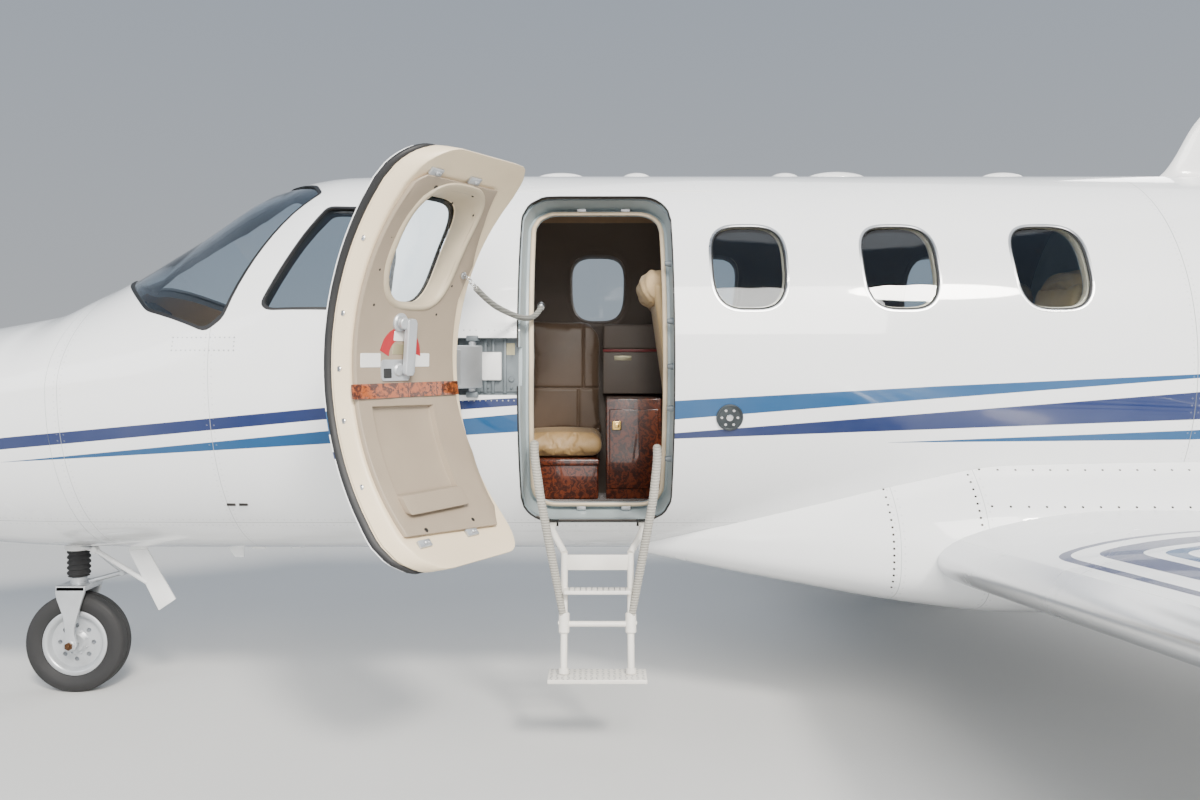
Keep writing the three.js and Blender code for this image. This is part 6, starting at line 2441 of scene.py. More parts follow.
def wheel_disc(name, at, edge, width, axle, holes, hole_radius, circle):
    """A cast wheel: bright rim flange, dished web with round holes, hub."""
    half = width / 2
    side = [
        (axle + 0.001, half * 0.62), (axle + 0.012, half * 0.66), (axle + 0.024, half * 0.64),
        (axle + 0.030, half * 0.52),
    ]
    side += [
        (axle + 0.040, half * 0.36), (edge - 0.044, half * 0.27), (edge - 0.034, half * 0.30),
        (edge - 0.027, half * 0.52),
    ]
    side += [
        (edge - 0.022, half * 0.68), (edge - 0.016, half * 0.74), (edge - 0.006, half * 0.75),
        (edge, half * 0.70),
    ]
    profile = side + [(r, -y) for r, y in reversed(side)] + [side[0]]
    disc = spun(name, profile, ACROSS, at, 72)
    for number in range(holes):
        turn = 2 * math.pi * number / holes
        centre = at + Vector((circle * math.cos(turn), 0, circle * math.sin(turn)))
        combine(
            disc,
            rod(
                "cutter", centre - Vector((0, width, 0)), centre + Vector((0, width, 0)), hole_radius,
                steps=20, chamfer=0,
            ),
        )
    return disc


def wheel_bolts(at, width, circle, count, size):
    """Nuts on both faces of a wheel."""
    bolts = []
    for number in range(count):
        turn = 2 * math.pi * (number + 0.5) / count
        for hand in (-1, 1):
            centre = at + Vector((circle * math.cos(turn), hand * width * 0.13, circle * math.sin(turn)))
            bolts.append(rod("bolt", centre, centre + Vector((0, hand * 0.012, 0)), size, steps=6))
            bolts.append(rod("bolt", centre, centre + Vector((0, hand * 0.017, 0)), size * 0.5, steps=12))
    return bolts


def build_wheels():
    """Main and nose wheels with their tyres."""
    wheel = MAIN_WHEEL
    for name, side in SIDES:
        at = Vector((wheel["at"].x, side * wheel["at"].y, wheel["at"].z))
        body = "main_wheel_" + name
        tyre = grooved_tyre(
            "main_tyre", at, wheel["radius"], wheel["rim"], wheel["width"], (0.42, 0.14, -0.14, -0.42)
        )
        piece("main_tyre_" + name + "_rubber", [tyre], "rubber", body, "tyre", 40, ("main_tyre_" + name,))
        disc = wheel_disc("rim", at, wheel["rim"], wheel["width"], 0.026, 9, 0.012, 0.088)
        parts = [disc] + wheel_bolts(at, wheel["width"], 0.066, 9, 0.008)
        piece(
            "main_rim_" + name + "_disc", parts, "silver_paint", body, "gear_metal", 35, ("main_rim_" + name,)
        )
    at = NOSE_WHEEL["at"]
    tyre = grooved_tyre("tyre", at, NOSE_WHEEL["radius"], NOSE_WHEEL["rim"], NOSE_WHEEL["width"], (0.0,))
    piece("nose_tyre_rubber", [tyre], "rubber", "nose_wheel", "tyre", 40, ("nose_tyre",))
    disc = wheel_disc("rim", at, NOSE_WHEEL["rim"], NOSE_WHEEL["width"], 0.016, 8, 0.011, 0.078)
    parts = [disc] + wheel_bolts(at, NOSE_WHEEL["width"], 0.052, 8, 0.0065)
    piece("nose_rim_disc", parts, "silver_paint", "nose_wheel", "gear_metal", 35, ("nose_rim",))


LEG_Y = 1.8
PIVOT_X = -0.452
PIVOT_Z = 0.43
SHOCK_TOP = (-0.335, LEG_Y, 0.88)
SHOCK_MIDDLE = (-0.352, LEG_Y, 0.72)
SHOCK_LOW = (-0.305, LEG_Y, 0.55)


def build_main_gear():
    """Main legs: trunnion strut, trailing arm, shock strut, brake and hoses."""
    for name, side in SIDES:
        y, wy = LEG_Y, MAIN_WHEEL["at"].y
        ax, az = MAIN_WHEEL["at"].x, MAIN_WHEEL["at"].z

        def at(x, across, z):
            return Vector((x, side * across, z))

        leg = [
            rod("leg", at(-0.47, y, 0.90), at(PIVOT_X, y, PIVOT_Z), 0.048, 0.046, 36),
            rod("leg", at(-0.466, y, 0.70), at(-0.464, y, 0.66), 0.053, 0.053, 36),
            rod(
                "leg", at(PIVOT_X, y - 0.062, PIVOT_Z), at(PIVOT_X, y + 0.058, PIVOT_Z), 0.054, 0.054, 36,
                0.005,
            ),
            rod("leg", at(PIVOT_X, y, PIVOT_Z), at(ax, y, az), 0.046, 0.040, 32),
            rod("leg", at(ax, y - 0.05, az), at(ax, y + 0.06, az), 0.05, 0.05, 36, 0.005),
            rod("leg", at(ax, y, az), at(ax, wy + 0.066, az), 0.026, 0.026, 32),
            rod("leg", at(-0.47, y - 0.2, 0.90), at(-0.462, y - 0.01, 0.56), 0.022, 0.022, 24),
        ]
        piece(
            "main_leg_" + name + "_struts", leg, "white_enamel", "airframe", "gear_metal", 35,
            ("main_leg_" + name,),
        )
        shock = [
            rod("shock", at(*SHOCK_MIDDLE), at(*SHOCK_LOW), 0.031, 0.031, 32, 0.004),
            rod("shock", at(*SHOCK_TOP), at(*SHOCK_MIDDLE), 0.027, 0.027, 28),
            rod("shock", at(*SHOCK_LOW), at(ax - 0.01, y, az + 0.05), 0.018, 0.018, 28),
            rod("shock", at(PIVOT_X, y - 0.068, PIVOT_Z), at(PIVOT_X, y + 0.064, PIVOT_Z), 0.02, 0.02, 6),
            rod("shock", at(ax, wy + 0.062, az), at(ax, wy + 0.074, az), 0.021, 0.021, 6),
        ]
        piece("shock_strut_" + name, shock, "chrome", degrees=35)
        brake = [
            rod("brake", at(ax, y + 0.055, az), at(ax, y + 0.078, az), 0.105, 0.105, 48, 0.004),
            block("brake", at(ax - 0.12, y + 0.050, az + 0.03), at(ax - 0.05, y + 0.083, az + 0.10), 0.006),
        ]
        hose = [
            at(-0.44, y + 0.05, 0.62), at(-0.40, y + 0.07, 0.50), at(-0.33, y + 0.075, 0.44),
            at(ax - 0.1, y + 0.065, az + 0.09),
        ]
        piece("brake_" + name, brake, "dark_steel", degrees=35)
        piece("brake_pipe_" + name, [bar("pipe", hose, 0.006, 8)], "rubber", slot="tyre", degrees=60)


def build_nose_gear():
    """Nose strut with gaiter and link, gear door plate, steered fork and scissor links."""
    x = NOSE_WHEEL["at"].x
    strut = [
        rod("strut", (x, 0, 0.999), (x, 0, 0.655), 0.042, 0.042, 36),
        rod("strut", (x, 0, 0.685), (x, 0, 0.655), 0.060, 0.060, 40, 0.005),
        rod("strut", (x, -0.118, 0.93), (x, 0.118, 0.93), 0.030, 0.030, 28),
    ]
    knee = Vector((x + 0.118, -0.086, 0.669))
    strut.append(rod("link", (x + 0.03, -0.035, 0.674), knee, 0.011))
    strut.append(rod("link", knee, (-4.56, -0.09, 0.52), 0.011))
    strut.append(rod("link", knee - Vector((0, 0.016, 0)), knee + Vector((0, 0.016, 0)), 0.016))
    door = []
    for outline in (
        [(-4.644, 0.668), (-4.56, 0.674), (-4.43, 0.444), (-4.506, 0.393)],
        [(-4.644, 0.668), (-4.60, 0.74), (-4.54, 0.74), (-4.56, 0.674)],
    ):
        door.append(extruded("door", [(u, -0.096, v) for u, v in outline], (0, 0.012, 0), 0.002))
    combine(door[1], hull("cutter", -4.86, -3.1, -GAP))
    piece("nose_strut_upper", strut + door, "white_enamel", "airframe", "gear_metal", 32, ("nose_strut",))
    profile = [(0.0, 0.655), (0.046, 0.655)]
    for i in range(5):
        z = 0.652 - 0.0245 * i
        profile += [(0.0505, z - 0.004), (0.0505, z - 0.011), (0.0435, z - 0.0165), (0.0435, z - 0.0205)]
    profile += [(0.047, 0.5315), (0.0, 0.5315)]
    piece(
        "nose_gaiter", [spun("gaiter", profile, UP, Vector((x, 0, 0)), 40)], "rubber", slot="tyre", degrees=50
    )
    leg = [
        (-0.066, 0.5), (0.070, 0.5), (0.066, 0.465), (0.054, 0.43), (0.036, 0.37), (0.020, 0.31),
        (0.0185, 0.285),
    ]
    leg += [(0.024, 0.262), (0.031, 0.240), (0.031, 0.222), (0.022, 0.208), (0.010, 0.2035), (-0.010, 0.2035)]
    leg += [
        (-0.022, 0.208), (-0.031, 0.222), (-0.031, 0.240), (-0.026, 0.265), (-0.022, 0.295), (-0.032, 0.36),
        (-0.050, 0.41), (-0.061, 0.44), (-0.067, 0.47),
    ]
    legs = []
    for y in (-0.084, 0.068):
        legs.append(extruded("leg", [(x + u, y, v) for u, v in leg], (0, 0.016, 0), 0.003, 3))
    legs.append(block("crown", (x - 0.066, -0.084, 0.474), (x + 0.070, 0.084, 0.5), 0.006, 3))
    legs.append(rod("stem", (x, 0, 0.49), (x, 0, 0.5297), 0.036, 0.036, 32))
    z = NOSE_WHEEL["at"].z
    legs.append(rod("axle", (x, -0.092, z), (x, 0.092, z), 0.016, 0.016, 32))
    legs.append(rod("link", (x + 0.05, 0, 0.505), (x + 0.212, 0, 0.549), 0.011))
    legs.append(rod("link", (x + 0.212, 0, 0.545), (x + 0.092, 0, 0.64), 0.011))
    legs.append(rod("link", (x + 0.212, -0.03, 0.548), (x + 0.212, 0.03, 0.548), 0.013))
    for hand in (-1, 1):
        legs.append(rod("boss", (x, hand * 0.064, z), (x, hand * 0.090, z), 0.026, 0.024, 36, 0.003))
    piece("nose_fork_legs", legs, "silver_paint", "nose_fork", "gear_metal", 32, ("nose_fork",))
    nuts = []
    for hand in (-1, 1):
        nuts.append(rod("nut", (x, hand * 0.090, z), (x, hand * 0.098, z), 0.019, 0.019, 6))
        nuts.append(rod("nut", (x, hand * 0.097, z), (x, hand * 0.104, z), 0.009, 0.009, 20))
    piece("nose_axle_nuts", nuts, "bronze", "nose_fork")


# Cabin
def within_cabin(part, clear=0.002):
    """Cuts a piece back to the cabin's inner wall."""
    return combine(part, hull("cutter", *CABIN_ENDS, WALL + clear), "INTERSECT")


def build_cabin():
    """Floor, glareshield and instruments, and the cabinet with its panel."""
    floor = block("floor", (-4.48, -0.35, 0.79), (-0.215, 0.35, FLOOR_Z), 0.0)
    within_cabin(floor, GAP / 2)
    piece("cabin_carpet", [floor], "carpet", slot="carpet", replaces=("cabin_floor",))
    face = block("face", (-4.33, -0.64, 1.18), (-4.17, 0.64, 1.64), 0.01, 3)
    shield = extruded(
        "shield",
        [
            (-4.45, -0.64, 1.640), (-4.12, -0.64, 1.640), (-4.112, -0.64, 1.652), (-4.125, -0.64, 1.672),
            (-4.45, -0.64, 1.672),
        ],
        (0, 1.28, 0),
        0.004,
    )
    pedestal = block("pedestal", (-4.33, -0.11, FLOOR_Z + GAP), (-3.9, 0.11, 1.3), 0.012, 3)
    parts = [within_cabin(part) for part in (face, shield, pedestal)]
    piece(
        "instrument_panel_shell", parts, "dark_plastic", slot="panel_plastic", replaces=("instrument_panel",)
    )
    screens, knobs = [], []
    for y in (-0.42, -0.14, 0.14, 0.42):
        screens.append(block("screen", (-4.171, y - 0.115, 1.38), (-4.166, y + 0.115, 1.56), 0.003))
        for k in range(4):
            knobs.append(
                rod(
                    "knob", (-4.168, y - 0.09 + 0.06 * k, 1.345), (-4.152, y - 0.09 + 0.06 * k, 1.345), 0.009,
                    steps=20,
                )
            )
    for k in range(6):
        knobs.append(
            rod(
                "knob", (-4.04 + 0.04 * k, -0.05 + 0.1 * (k % 2), 1.30),
                (-4.04 + 0.04 * k, -0.05 + 0.1 * (k % 2), 1.318), 0.01, steps=20,
            )
        )
    piece("cockpit_screens", screens, "screen", slot="panel_plastic")
    piece("cockpit_knobs", knobs, "bare_metal", slot="panel_plastic")
    build_cabinet()


def build_cabinet():
    """Burl cabinet with its latch, the panel above it and the club seats' side ledge."""
    box = block("cabinet", (-2.46, 0.14, FLOOR_Z + GAP), (-2.195, 0.6, 1.35), 0.004, 3)
    within_cabin(box)
    # The cabinet's box and front are burl darkened with painted shade.
    piece("cabinet_box", [box], "dark_burl", slot="burl_wood", replaces=("cabinet",))
    front = block("front", (-2.445, 0.130, 0.92), (-2.21, 0.1405, 1.30), 0.004, 3)
    piece("cabinet_front", [front], "dark_burl", slot="burl_wood")
    latch = [
        block("latch", (-2.432, 0.118, 1.20), (-2.388, 0.131, 1.244), 0.003, 3),
        block("latch", (-2.420, 0.110, 1.212), (-2.400, 0.119, 1.232), 0.002, 2),
    ]
    piece("cabinet_latch", latch, "brass")
    panel = block("panel", (-2.475, 0.585, 1.356), (-2.10, 0.76, 1.577), 0.006, 3)
    ledge = block("ledge", (-2.475, 0.578, 1.590), (-2.10, 0.76, 1.722), 0.014, 4)
    soft_wall = [within_cabin(part) for part in (panel, ledge)]
    piece("cabinet_back_panel", soft_wall, "side_wall", slot="brown_leather")
    piece(
        "cabinet_red_line", [block("line", (-2.474, 0.581, 1.577), (-2.101, 0.64, 1.59), 0.002)], "red_line",
        slot="brown_leather",
    )
    plaque = block("plaque", (-2.415, 0.5825, 1.532), (-2.325, 0.587, 1.556), 0.001)
    piece("cabinet_blank_plaque", [plaque], "blank_plate", slot="gear_metal")


# Soft goods
SEATS = (
    ("crew_seat_port", -3.95, -0.34, False, "crew"),
    ("crew_seat_starboard", -3.95, 0.34, False, "crew"),
    ("club_seat_front_starboard", -1.625, 0.35, True, "club"),
    ("club_seat_front_port", -1.7, -0.35, True, "club"),
    ("club_seat_rear_starboard", -1.01, 0.35, False, "club"),
    ("club_seat_rear_port", -1.01, -0.35, False, "club"),
)
SEAT_SIZES = {
    "crew": {"cushion": 1.19, "depth": 0.44, "lean": 0.07},
    "club": {"cushion": 1.24, "depth": 0.44, "lean": 0.11},
}


def pad_form(name, size, crown, pull, edge=0.85, cuts=20):
    """A closed pad about the origin: round edges, crowned faces, sides that pull in between its corners."""
    bpy.ops.mesh.primitive_cube_add(size=2)
    obj = named(name)
    edit_all()
    bpy.ops.mesh.subdivide(number_cuts=cuts)
    leave_edit()
    half = Vector(size) / 2
    thin = min(range(3), key=lambda k: half[k])
    first, second = (k for k in range(3) if k != thin)
    radius = half[thin] * edge
    for vertex in obj.data.vertices:
        spot = Vector([vertex.co[k] * half[k] for k in range(3)])
        core = Vector([max(radius - half[k], min(half[k] - radius, spot[k])) for k in range(3)])
        out = spot - core
        if out.length > 1e-6:
            spot = core + out.normalized() * radius
        u, v = spot[first] / half[first], spot[second] / half[second]
        spot[first] *= 1 - pull * (1 - v * v)
        spot[second] *= 1 - pull * (1 - u * u)
        spot[thin] *= 1 + crown / half[thin] * (1 - u * u) * (1 - v * v)
        vertex.co = spot
    return obj


def puffed(obj, cell, cap, pressure=4.0):
    """Fills a pad like cloth over foam, with its underside held and its swelling capped."""
    modify(obj, "REMESH", mode="VOXEL", voxel_size=cell)
    before = [vertex.co.copy() for vertex in obj.data.vertices]
    under = min(co.z for co in before) + 0.02
    held = obj.vertex_groups.new(name="held")
    held.add([k for k, co in enumerate(before) if co.z < under], 1.0, "REPLACE")
    select_only(obj)
    bpy.ops.object.modifier_add(type="CLOTH")
    cloth = obj.modifiers[-1]
    settings = cloth.settings
    settings.quality = 4
    settings.mass = 0.3
    settings.tension_stiffness = 15
    settings.compression_stiffness = 15
    settings.bending_stiffness = 0.6
    settings.shrink_min = -0.03
    settings.use_pressure = True
    settings.uniform_pressure_force = pressure
    settings.vertex_group_mass = "held"
    settings.effector_weights.gravity = 0
    for number in range(1, 21):
        bpy.context.scene.frame_set(number)
    bpy.ops.object.modifier_apply(modifier=cloth.name)
    bpy.context.scene.frame_set(1)
    for vertex, start in zip(obj.data.vertices, before):
        moved = vertex.co - start
        if moved.length > cap:
            vertex.co = start + moved.normalized() * cap
    return obj


def fitted(pad, name, size, at):
    """A copy of a pad brought to a size about a place."""
    obj = copy_of(pad, name)
    corners = [[pick(v.co[k] for v in obj.data.vertices) for k in range(3)] for pick in (min, max)]
    for vertex in obj.data.vertices:
        for k in range(3):
            low, high = corners[0][k], corners[1][k]
            vertex.co[k] = at[k] + ((vertex.co[k] - low) / (high - low) - 0.5) * size[k]
    return obj


def sewn(obj, face, lines, depth=0.006, width=0.007):
    """Presses sewn channels into a pad's face; a line is (axis, place, low, high along the other axis)."""
    toward, sign = face
    other = {axis: 3 - axis - toward for axis, _, _, _ in lines}
    coords = [vertex.co[toward] * sign for vertex in obj.data.vertices]
    level = (max(coords) + min(coords)) / 2
    for vertex in obj.data.vertices:
        if vertex.co[toward] * sign < level:
            continue
        press = 0.0
        for axis, place, low, high in lines:
            if low <= vertex.co[other[axis]] <= high:
                press = max(press, math.exp(-(((vertex.co[axis] - place) / width) ** 2)))
        vertex.co[toward] -= sign * depth * press
    return obj


def padded_piece(obj, body, material, slot, replaces=()):
    dress(smooth(obj, 60), body, slot, finish(material), replaces=replaces)
    return obj


def headrest_cover(name, size, at):
    """A soft roll over the head of a seat, gathered into pleats toward its lower front."""
    bpy.ops.mesh.primitive_uv_sphere_add(segments=120, ring_count=48, radius=1)
    bpy.ops.transform.rotate(value=math.radians(90), orient_axis="X", center_override=(0, 0, 0))
    obj = bake_place(named(name))
    for vertex in obj.data.vertices:
        x, y, z = vertex.co
        round_way = math.atan2(z, x)
        bulk = (1 - abs(y) ** 4) ** 0.25 if abs(y) < 1 else 0.0
        plain = math.hypot(x, z) or 1.0
        pull = 0.5 + 0.5 * math.cos(round_way - 0.9)
        spread = math.atan2(z + 1.05, x + 0.2)
        fold = math.sin(19 * spread + 3 * y) + 0.45 * math.sin(31 * spread - 5 * y + 0.8)
        reach = bulk * (1 + 0.075 * fold * (1 - 0.6 * pull) - 0.12 * (1 - pull) ** 3)
        vertex.co = Vector(
            (x / plain * reach * size[0], y * size[1], z / plain * reach * size[2])
        ) / 2 + Vector(at)
    return obj


def build_seat(name, x, y, facing_aft, kind, seat_pad, back_pad):
    """One seat: base, cushion, leaning back on its shell, and a gathered cover on its headrest."""
    sizes = SEAT_SIZES[kind]
    depth, top, lean = (sizes[key] for key in ("depth", "cushion", "lean"))
    width, high = size_of(kind + "_seat_width"), size_of(kind + "_seat_top")
    low = top - 0.11
    slope = math.atan2(lean, high - low)
    foot = Vector((depth - 0.03, 0, low))
    cushion = fitted(seat_pad, name + "_cushion", (depth, width, 0.125), (depth / 2, 0, top - 0.066))
    back = fitted(
        back_pad, name + "_back", (0.075, width * 0.92, high - low - 0.05), (0, 0, (high - low) / 2 - 0.015)
    )
    back.data.transform(Matrix.Translation(foot - Vector((0.012, 0, 0))) @ Matrix.Rotation(slope, 4, "Y"))
    shell = block(
        name + "_shell", (0.012, -width * 0.47, -0.005), (0.06, width * 0.47, high - low - 0.03), 0.022, 4
    )
    shell.data.transform(Matrix.Translation(foot) @ Matrix.Rotation(slope, 4, "Y"))
    frame = block(
        name + "_frame", (0.05, -width * 0.4, top - 0.165), (depth - 0.03, width * 0.4, top - 0.128), 0.008, 3
    )
    column = block(
        name + "_column", (0.08, -width * 0.26, FLOOR_Z), (depth - 0.08, width * 0.26, top - 0.16), 0.03, 4
    )
    cover = headrest_cover(
        name + "_cover", (0.15, width * 0.9, 0.155), (depth + 0.012 + lean * 0.93, 0, high - 0.058)
    )
    parts = [cushion, back, shell, frame, column, cover]
    for part in parts:
        if facing_aft:
            turned(part, "Z", math.pi, Vector((0, 0, 0)))
        part.data.transform(Matrix.Translation((x, y, 0)))
    leather_kind = "beige_leather" if kind == "club" else "blue_leather"
    if name == "club_seat_front_starboard":
        leather_kind = "brown_leather"
    shell_kind = "beige_leather" if name == "club_seat_front_port" else "brown_leather"
    slot = "beige_leather" if kind == "club" else "brown_leather"
    padded_piece(cushion, "airframe", leather_kind, slot, replaces=(name,))
    padded_piece(back, "airframe", leather_kind, slot)
    padded_piece(cover, "airframe", "cream_cloth", "beige_leather")
    piece(name + "_back_shell", [shell], shell_kind, slot="brown_leather")
    piece(name + "_base", [frame, column], "dark_plastic", slot="panel_plastic")


def build_side_seat(seat_pad, back_pad):
    """The side facing seat seen through the doorway."""
    cushion = fitted(seat_pad, "side_seat_cushion", (0.384, 0.42, 0.138), (-2.673, 0.305, 1.131))
    modify(cushion, "SUBSURF", levels=1, render_levels=1)
    # The cushion's colour is brown leather lightened with painted sunlight.
    padded_piece(cushion, "airframe", "tan_leather", "beige_leather", replaces=("side_seat",))
    back = copy_of(back_pad, "side_seat_back")
    back.data.transform(Matrix.Rotation(math.radians(90), 4, "Z"))
    back = fitted(back, "side_seat_back_pad", (0.384, 0.125, 0.585), (-2.673, 0.531, 1.4425))
    drop(bpy.data.objects["side_seat_back"])
    for vertex in back.data.vertices:
        near = max(0.0, (vertex.co.x + 2.60) / 0.12) * max(0.0, (vertex.co.z - 1.60) / 0.135)
        vertex.co.x -= 0.05 * near**2
        vertex.co.z -= 0.04 * near**2
    modify(back, "SUBSURF", levels=1, render_levels=1)
    sewn(back, (1, -1), ((2, 1.39, -2.9, -2.4), (0, -2.575, 1.39, 1.75), (0, -2.60, 1.1, 1.39)), 0.009, 0.006)
    padded_piece(back, "airframe", "brown_leather", "brown_leather")
    base = [
        block("box", (-2.848, 0.122, FLOOR_Z + GAP), (-2.498, 0.33, 1.066), 0.008, 3),
        block("rail", (-2.852, 0.112, 1.03), (-2.494, 0.14, 1.062), 0.006, 3),
    ]
    # The seat base's burl is darkened with painted shade.
    piece("side_seat_base", base, "dark_burl", slot="burl_wood")


def build_seats():
    """All seats and their soft goods."""
    seat_pad = puffed(pad_form("seat_pad", (0.42, 0.42, 0.11), 0.02, 0.035), 0.0075, 0.012)
    back_pad = puffed(pad_form("back_pad", (0.07, 0.40, 0.66), 0.02, 0.03), 0.0085, 0.010)
    for entry in SEATS:
        build_seat(*entry, seat_pad, back_pad)
    build_side_seat(seat_pad, back_pad)
    drop(seat_pad)
    drop(back_pad)


# Small details outside
def skin_spot(x, z, side=-1, lift=0.0):
    """A point on the skin at a station and height, lifted off it."""
    spot = Vector((x, side * skin_y(x, z), z))
    return spot + skin_normal(spot) * lift


def skin_disc(name, x, z, radius, depth, side=-1, steps=40, chamfer=0.001):
    """A round fitting let into the skin."""
    spot = skin_spot(x, z, side)
    out = skin_normal(spot)
    return rod(name, spot - out * 0.004, spot + out * depth, radius, steps=steps, chamfer=chamfer)


def screw_row(ends, count, side=-1):
    """Screw heads in a row on the skin between two (x, z) ends."""
    (x0, z0), (x1, z1) = ends
    row = []
    for k in range(count):
        t = k / (count - 1)
        row.append(
            skin_disc("screw", x0 + (x1 - x0) * t, z0 + (z1 - z0) * t, 0.0032, 0.0007, side, 8, 0.0003)
        )
    return row


def build_details():
    """Ports, vents, screw rows, lights, wicks and the belly blade."""
    middle = skin_spot(-1.99, 1.32, lift=0.004)
    out = skin_normal(middle)
    dish = [
        (0.0, -0.012), (0.052, -0.012), (0.052, 0.002), (0.05, 0.0042), (0.046, 0.0042), (0.043, 0.0012),
        (0.0, 0.0008),
    ]
    piece("round_port", [spun("round_port", dish, out, middle, 56)], "port_grey", slot="fairing_paint")
    cap = [rod("cap", middle, middle + out * 0.007, 0.014, steps=32, chamfer=0.002)]
    cap += [skin_disc("cap", -1.99 + 0.031 * math.cos(t), 1.32 + 0.031 * math.sin(t), 0.006, 0.0075, steps=12)
            for t in (math.pi * k / 3 for k in range(6))]
    piece("round_port_cap", cap, "chrome", slot="gear_metal")
    vents = []
    for x in (-3.985, -3.935):
        spot = skin_spot(x, 0.955)
        vents.append(
            block("vent", (x - 0.018, spot.y - 0.004, 0.948), (x + 0.018, spot.y + 0.01, 0.962), 0.003)
        )
    piece("belly_vents", vents, "dark_steel", slot="gear_metal")
    screws = []
    rows = (
        (((-4.15, 1.578), (-3.90, 1.578)), 14),
        (((-4.15, 1.628), (-3.90, 1.628)), 14),
        (((-4.15, 1.578), (-4.15, 1.628)), 4),
        (((-3.90, 1.578), (-3.90, 1.628)), 4),
        (((-3.06, 1.655), (-2.80, 1.655)), 12),
        (((-3.06, 1.385), (-2.82, 1.385)), 12),
    )
    for ends, count in rows:
        screws += screw_row(ends, count)
    for ends, count in rows[:4]:
        screws += screw_row(ends, count, 1)
    piece("skin_screws", screws, "bare_metal", slot="gear_metal")
    fairing = bpy.data.objects["fairing"]
    edges = (
        ((-1.36, 1.05), (-1.36, 0.66), 16),
        ((-1.048, 1.09), (-1.048, 0.87), 10),
        ((-1.0, 1.11), (1.6, 1.12), 40),
        ((-1.0, 0.985), (1.6, 0.99), 40),
    )
    for side, tag in ((-1, "port"), (1, "starboard")):
        heads = []
        for first, last, count in edges:
            for k in range(count):
                x, z = (a + (b - a) * k / (count - 1) for a, b in zip(first, last))
                found, spot, out, _ = fairing.ray_cast(Vector((x, side * 3, z)), Vector((0, -side, 0)))
                if found and abs(spot.y) > 0.3:
                    heads.append(
                        rod("head", spot - out * 0.002, spot + out * 0.0009, 0.0048, steps=8, chamfer=0.0004)
                    )
        piece("fairing_screws_" + tag, heads, "dark_steel", slot="gear_metal")
    build_lights()


def build_lights():
    """Tip lights, static wicks and the belly blade."""
    blade_rings = []
    for z, x, chord in ((0.76, -4.17, 0.13), (0.665, -4.12, 0.075), (0.655, -4.11, 0.06)):
        blade_rings.append([Vector((x + u, v, z)) for u, v in aerofoil(chord, 0.12, 0, 10)])
    piece("belly_blade", [lofted("belly_blade", blade_rings)], "white_enamel", slot="white_paint")
    for side, tag, lens in ((-1, "port", "red_lens"), (1, "starboard", "green_lens")):
        wing = bpy.data.objects["wing_" + tag + "_skin"]
        y = side * 7.06
        found, nose, _, _ = wing.ray_cast(Vector((-2.5, y, 1.29)), AFT)
        if found:
            shape = [
                (0.0, -0.02), (0.011, -0.018), (0.017, -0.004), (0.017, 0.05), (0.010, 0.075), (0.0, 0.08)
            ]
            bulb = spun("tip_light", shape, AFT, nose + Vector((0.012, 0, 0)), 28)
            piece("tip_light_" + tag, [bulb], lens, slot="window_glass")
        wicks = []
        for y in (6.78, 6.9, 7.02):
            found, tail, _, _ = wing.ray_cast(Vector((1.5, side * y, 1.27)), Vector((-1, 0, 0)))
            if found:
                wicks.append(
                    rod(
                        "wick", tail - Vector((0.01, 0, 0)), tail + Vector((0.09, 0, 0.0)), 0.003, 0.0018, 10,
                        0.0006,
                    )
                )
        if wicks:
            piece("static_wicks_" + tag, wicks, "dark_plastic", slot="tyre")


# Add-on
def strength_setting(name, description, default, **more):
    """A light's strength in the settings."""
    return bpy.props.FloatProperty(name=name, description=description, default=default, min=0, **more)


def colour_setting(name, description, default):
    """A colour in the settings."""
    return bpy.props.FloatVectorProperty(
        name=name, description=description, default=(*default, 1), subtype="COLOR", size=4, min=0, max=1
    )


def size_setting(name, description, default):
    """A length in the settings."""
    return bpy.props.FloatProperty(
        name=name, description=description, default=default, min=0.001, subtype="DISTANCE", unit="LENGTH"
    )


class JetStage(bpy.types.PropertyGroup):
    """Studio light."""

    sky_strength: strength_setting("Sky strength", "Brightness of the sky", 0.62)
    key_power: strength_setting("Key light", "Power of the key light", 2100, unit="POWER")
    sun_strength: strength_setting("Sun strength", "Brightness of the low sun", 3.4)


class JetColours(bpy.types.PropertyGroup):
    """Paint, leather, wood and cloth."""

    white: colour_setting("White", "Ground colour of the skin", (0.86, 0.87, 0.875))
    mid_blue: colour_setting("Mid blue", "Lighter bands on fuselage and wings", (0.0, 0.06, 0.17))
    dark_blue: colour_setting("Dark blue", "Darker bands on fuselage and wings", (0.001, 0.013, 0.085))
    silver_paint: colour_setting(
        "Silver", "Painted metal of wheels, nose fork and door hinge", (0.52, 0.54, 0.56)
    )
    steps: colour_setting("Steps", "Paint of the folding steps", (0.77, 0.74, 0.68))
    door_lining: colour_setting("Door pan", "Inner pan and edge of the door", (0.80, 0.66, 0.46))
    brown_leather: colour_setting("Brown leather", "Side seat back and seat shells", (0.115, 0.075, 0.048))
    # Brown leather lightened with painted sunlight, for the side seat cushion.
    tan_leather: colour_setting("Tan leather", "Side seat cushion", (0.42, 0.27, 0.12))
    beige_leather: colour_setting("Beige leather", "Club seats", (0.62, 0.43, 0.21))
    blue_leather: colour_setting("Blue leather", "Crew seats", (0.035, 0.05, 0.075))
    headrest_cloth: colour_setting("Headrest cover", "Gathered covers of the headrests", (0.58, 0.41, 0.22))
    dark_wood: colour_setting("Dark wood", "Knots of the burl veneer", (0.045, 0.010, 0.004))
    light_wood: colour_setting("Light wood", "Ground of the burl veneer", (0.36, 0.085, 0.018))
    carpet: colour_setting("Carpet", "Cabin floor", (0.09, 0.045, 0.03))
    hand_rope: colour_setting("Hand ropes", "Cloth tape on the hand ropes of the steps", (0.42, 0.40, 0.35))
    hold_cord: colour_setting("Hold cord", "Sleeve of the door's hold cord", (0.24, 0.24, 0.215))


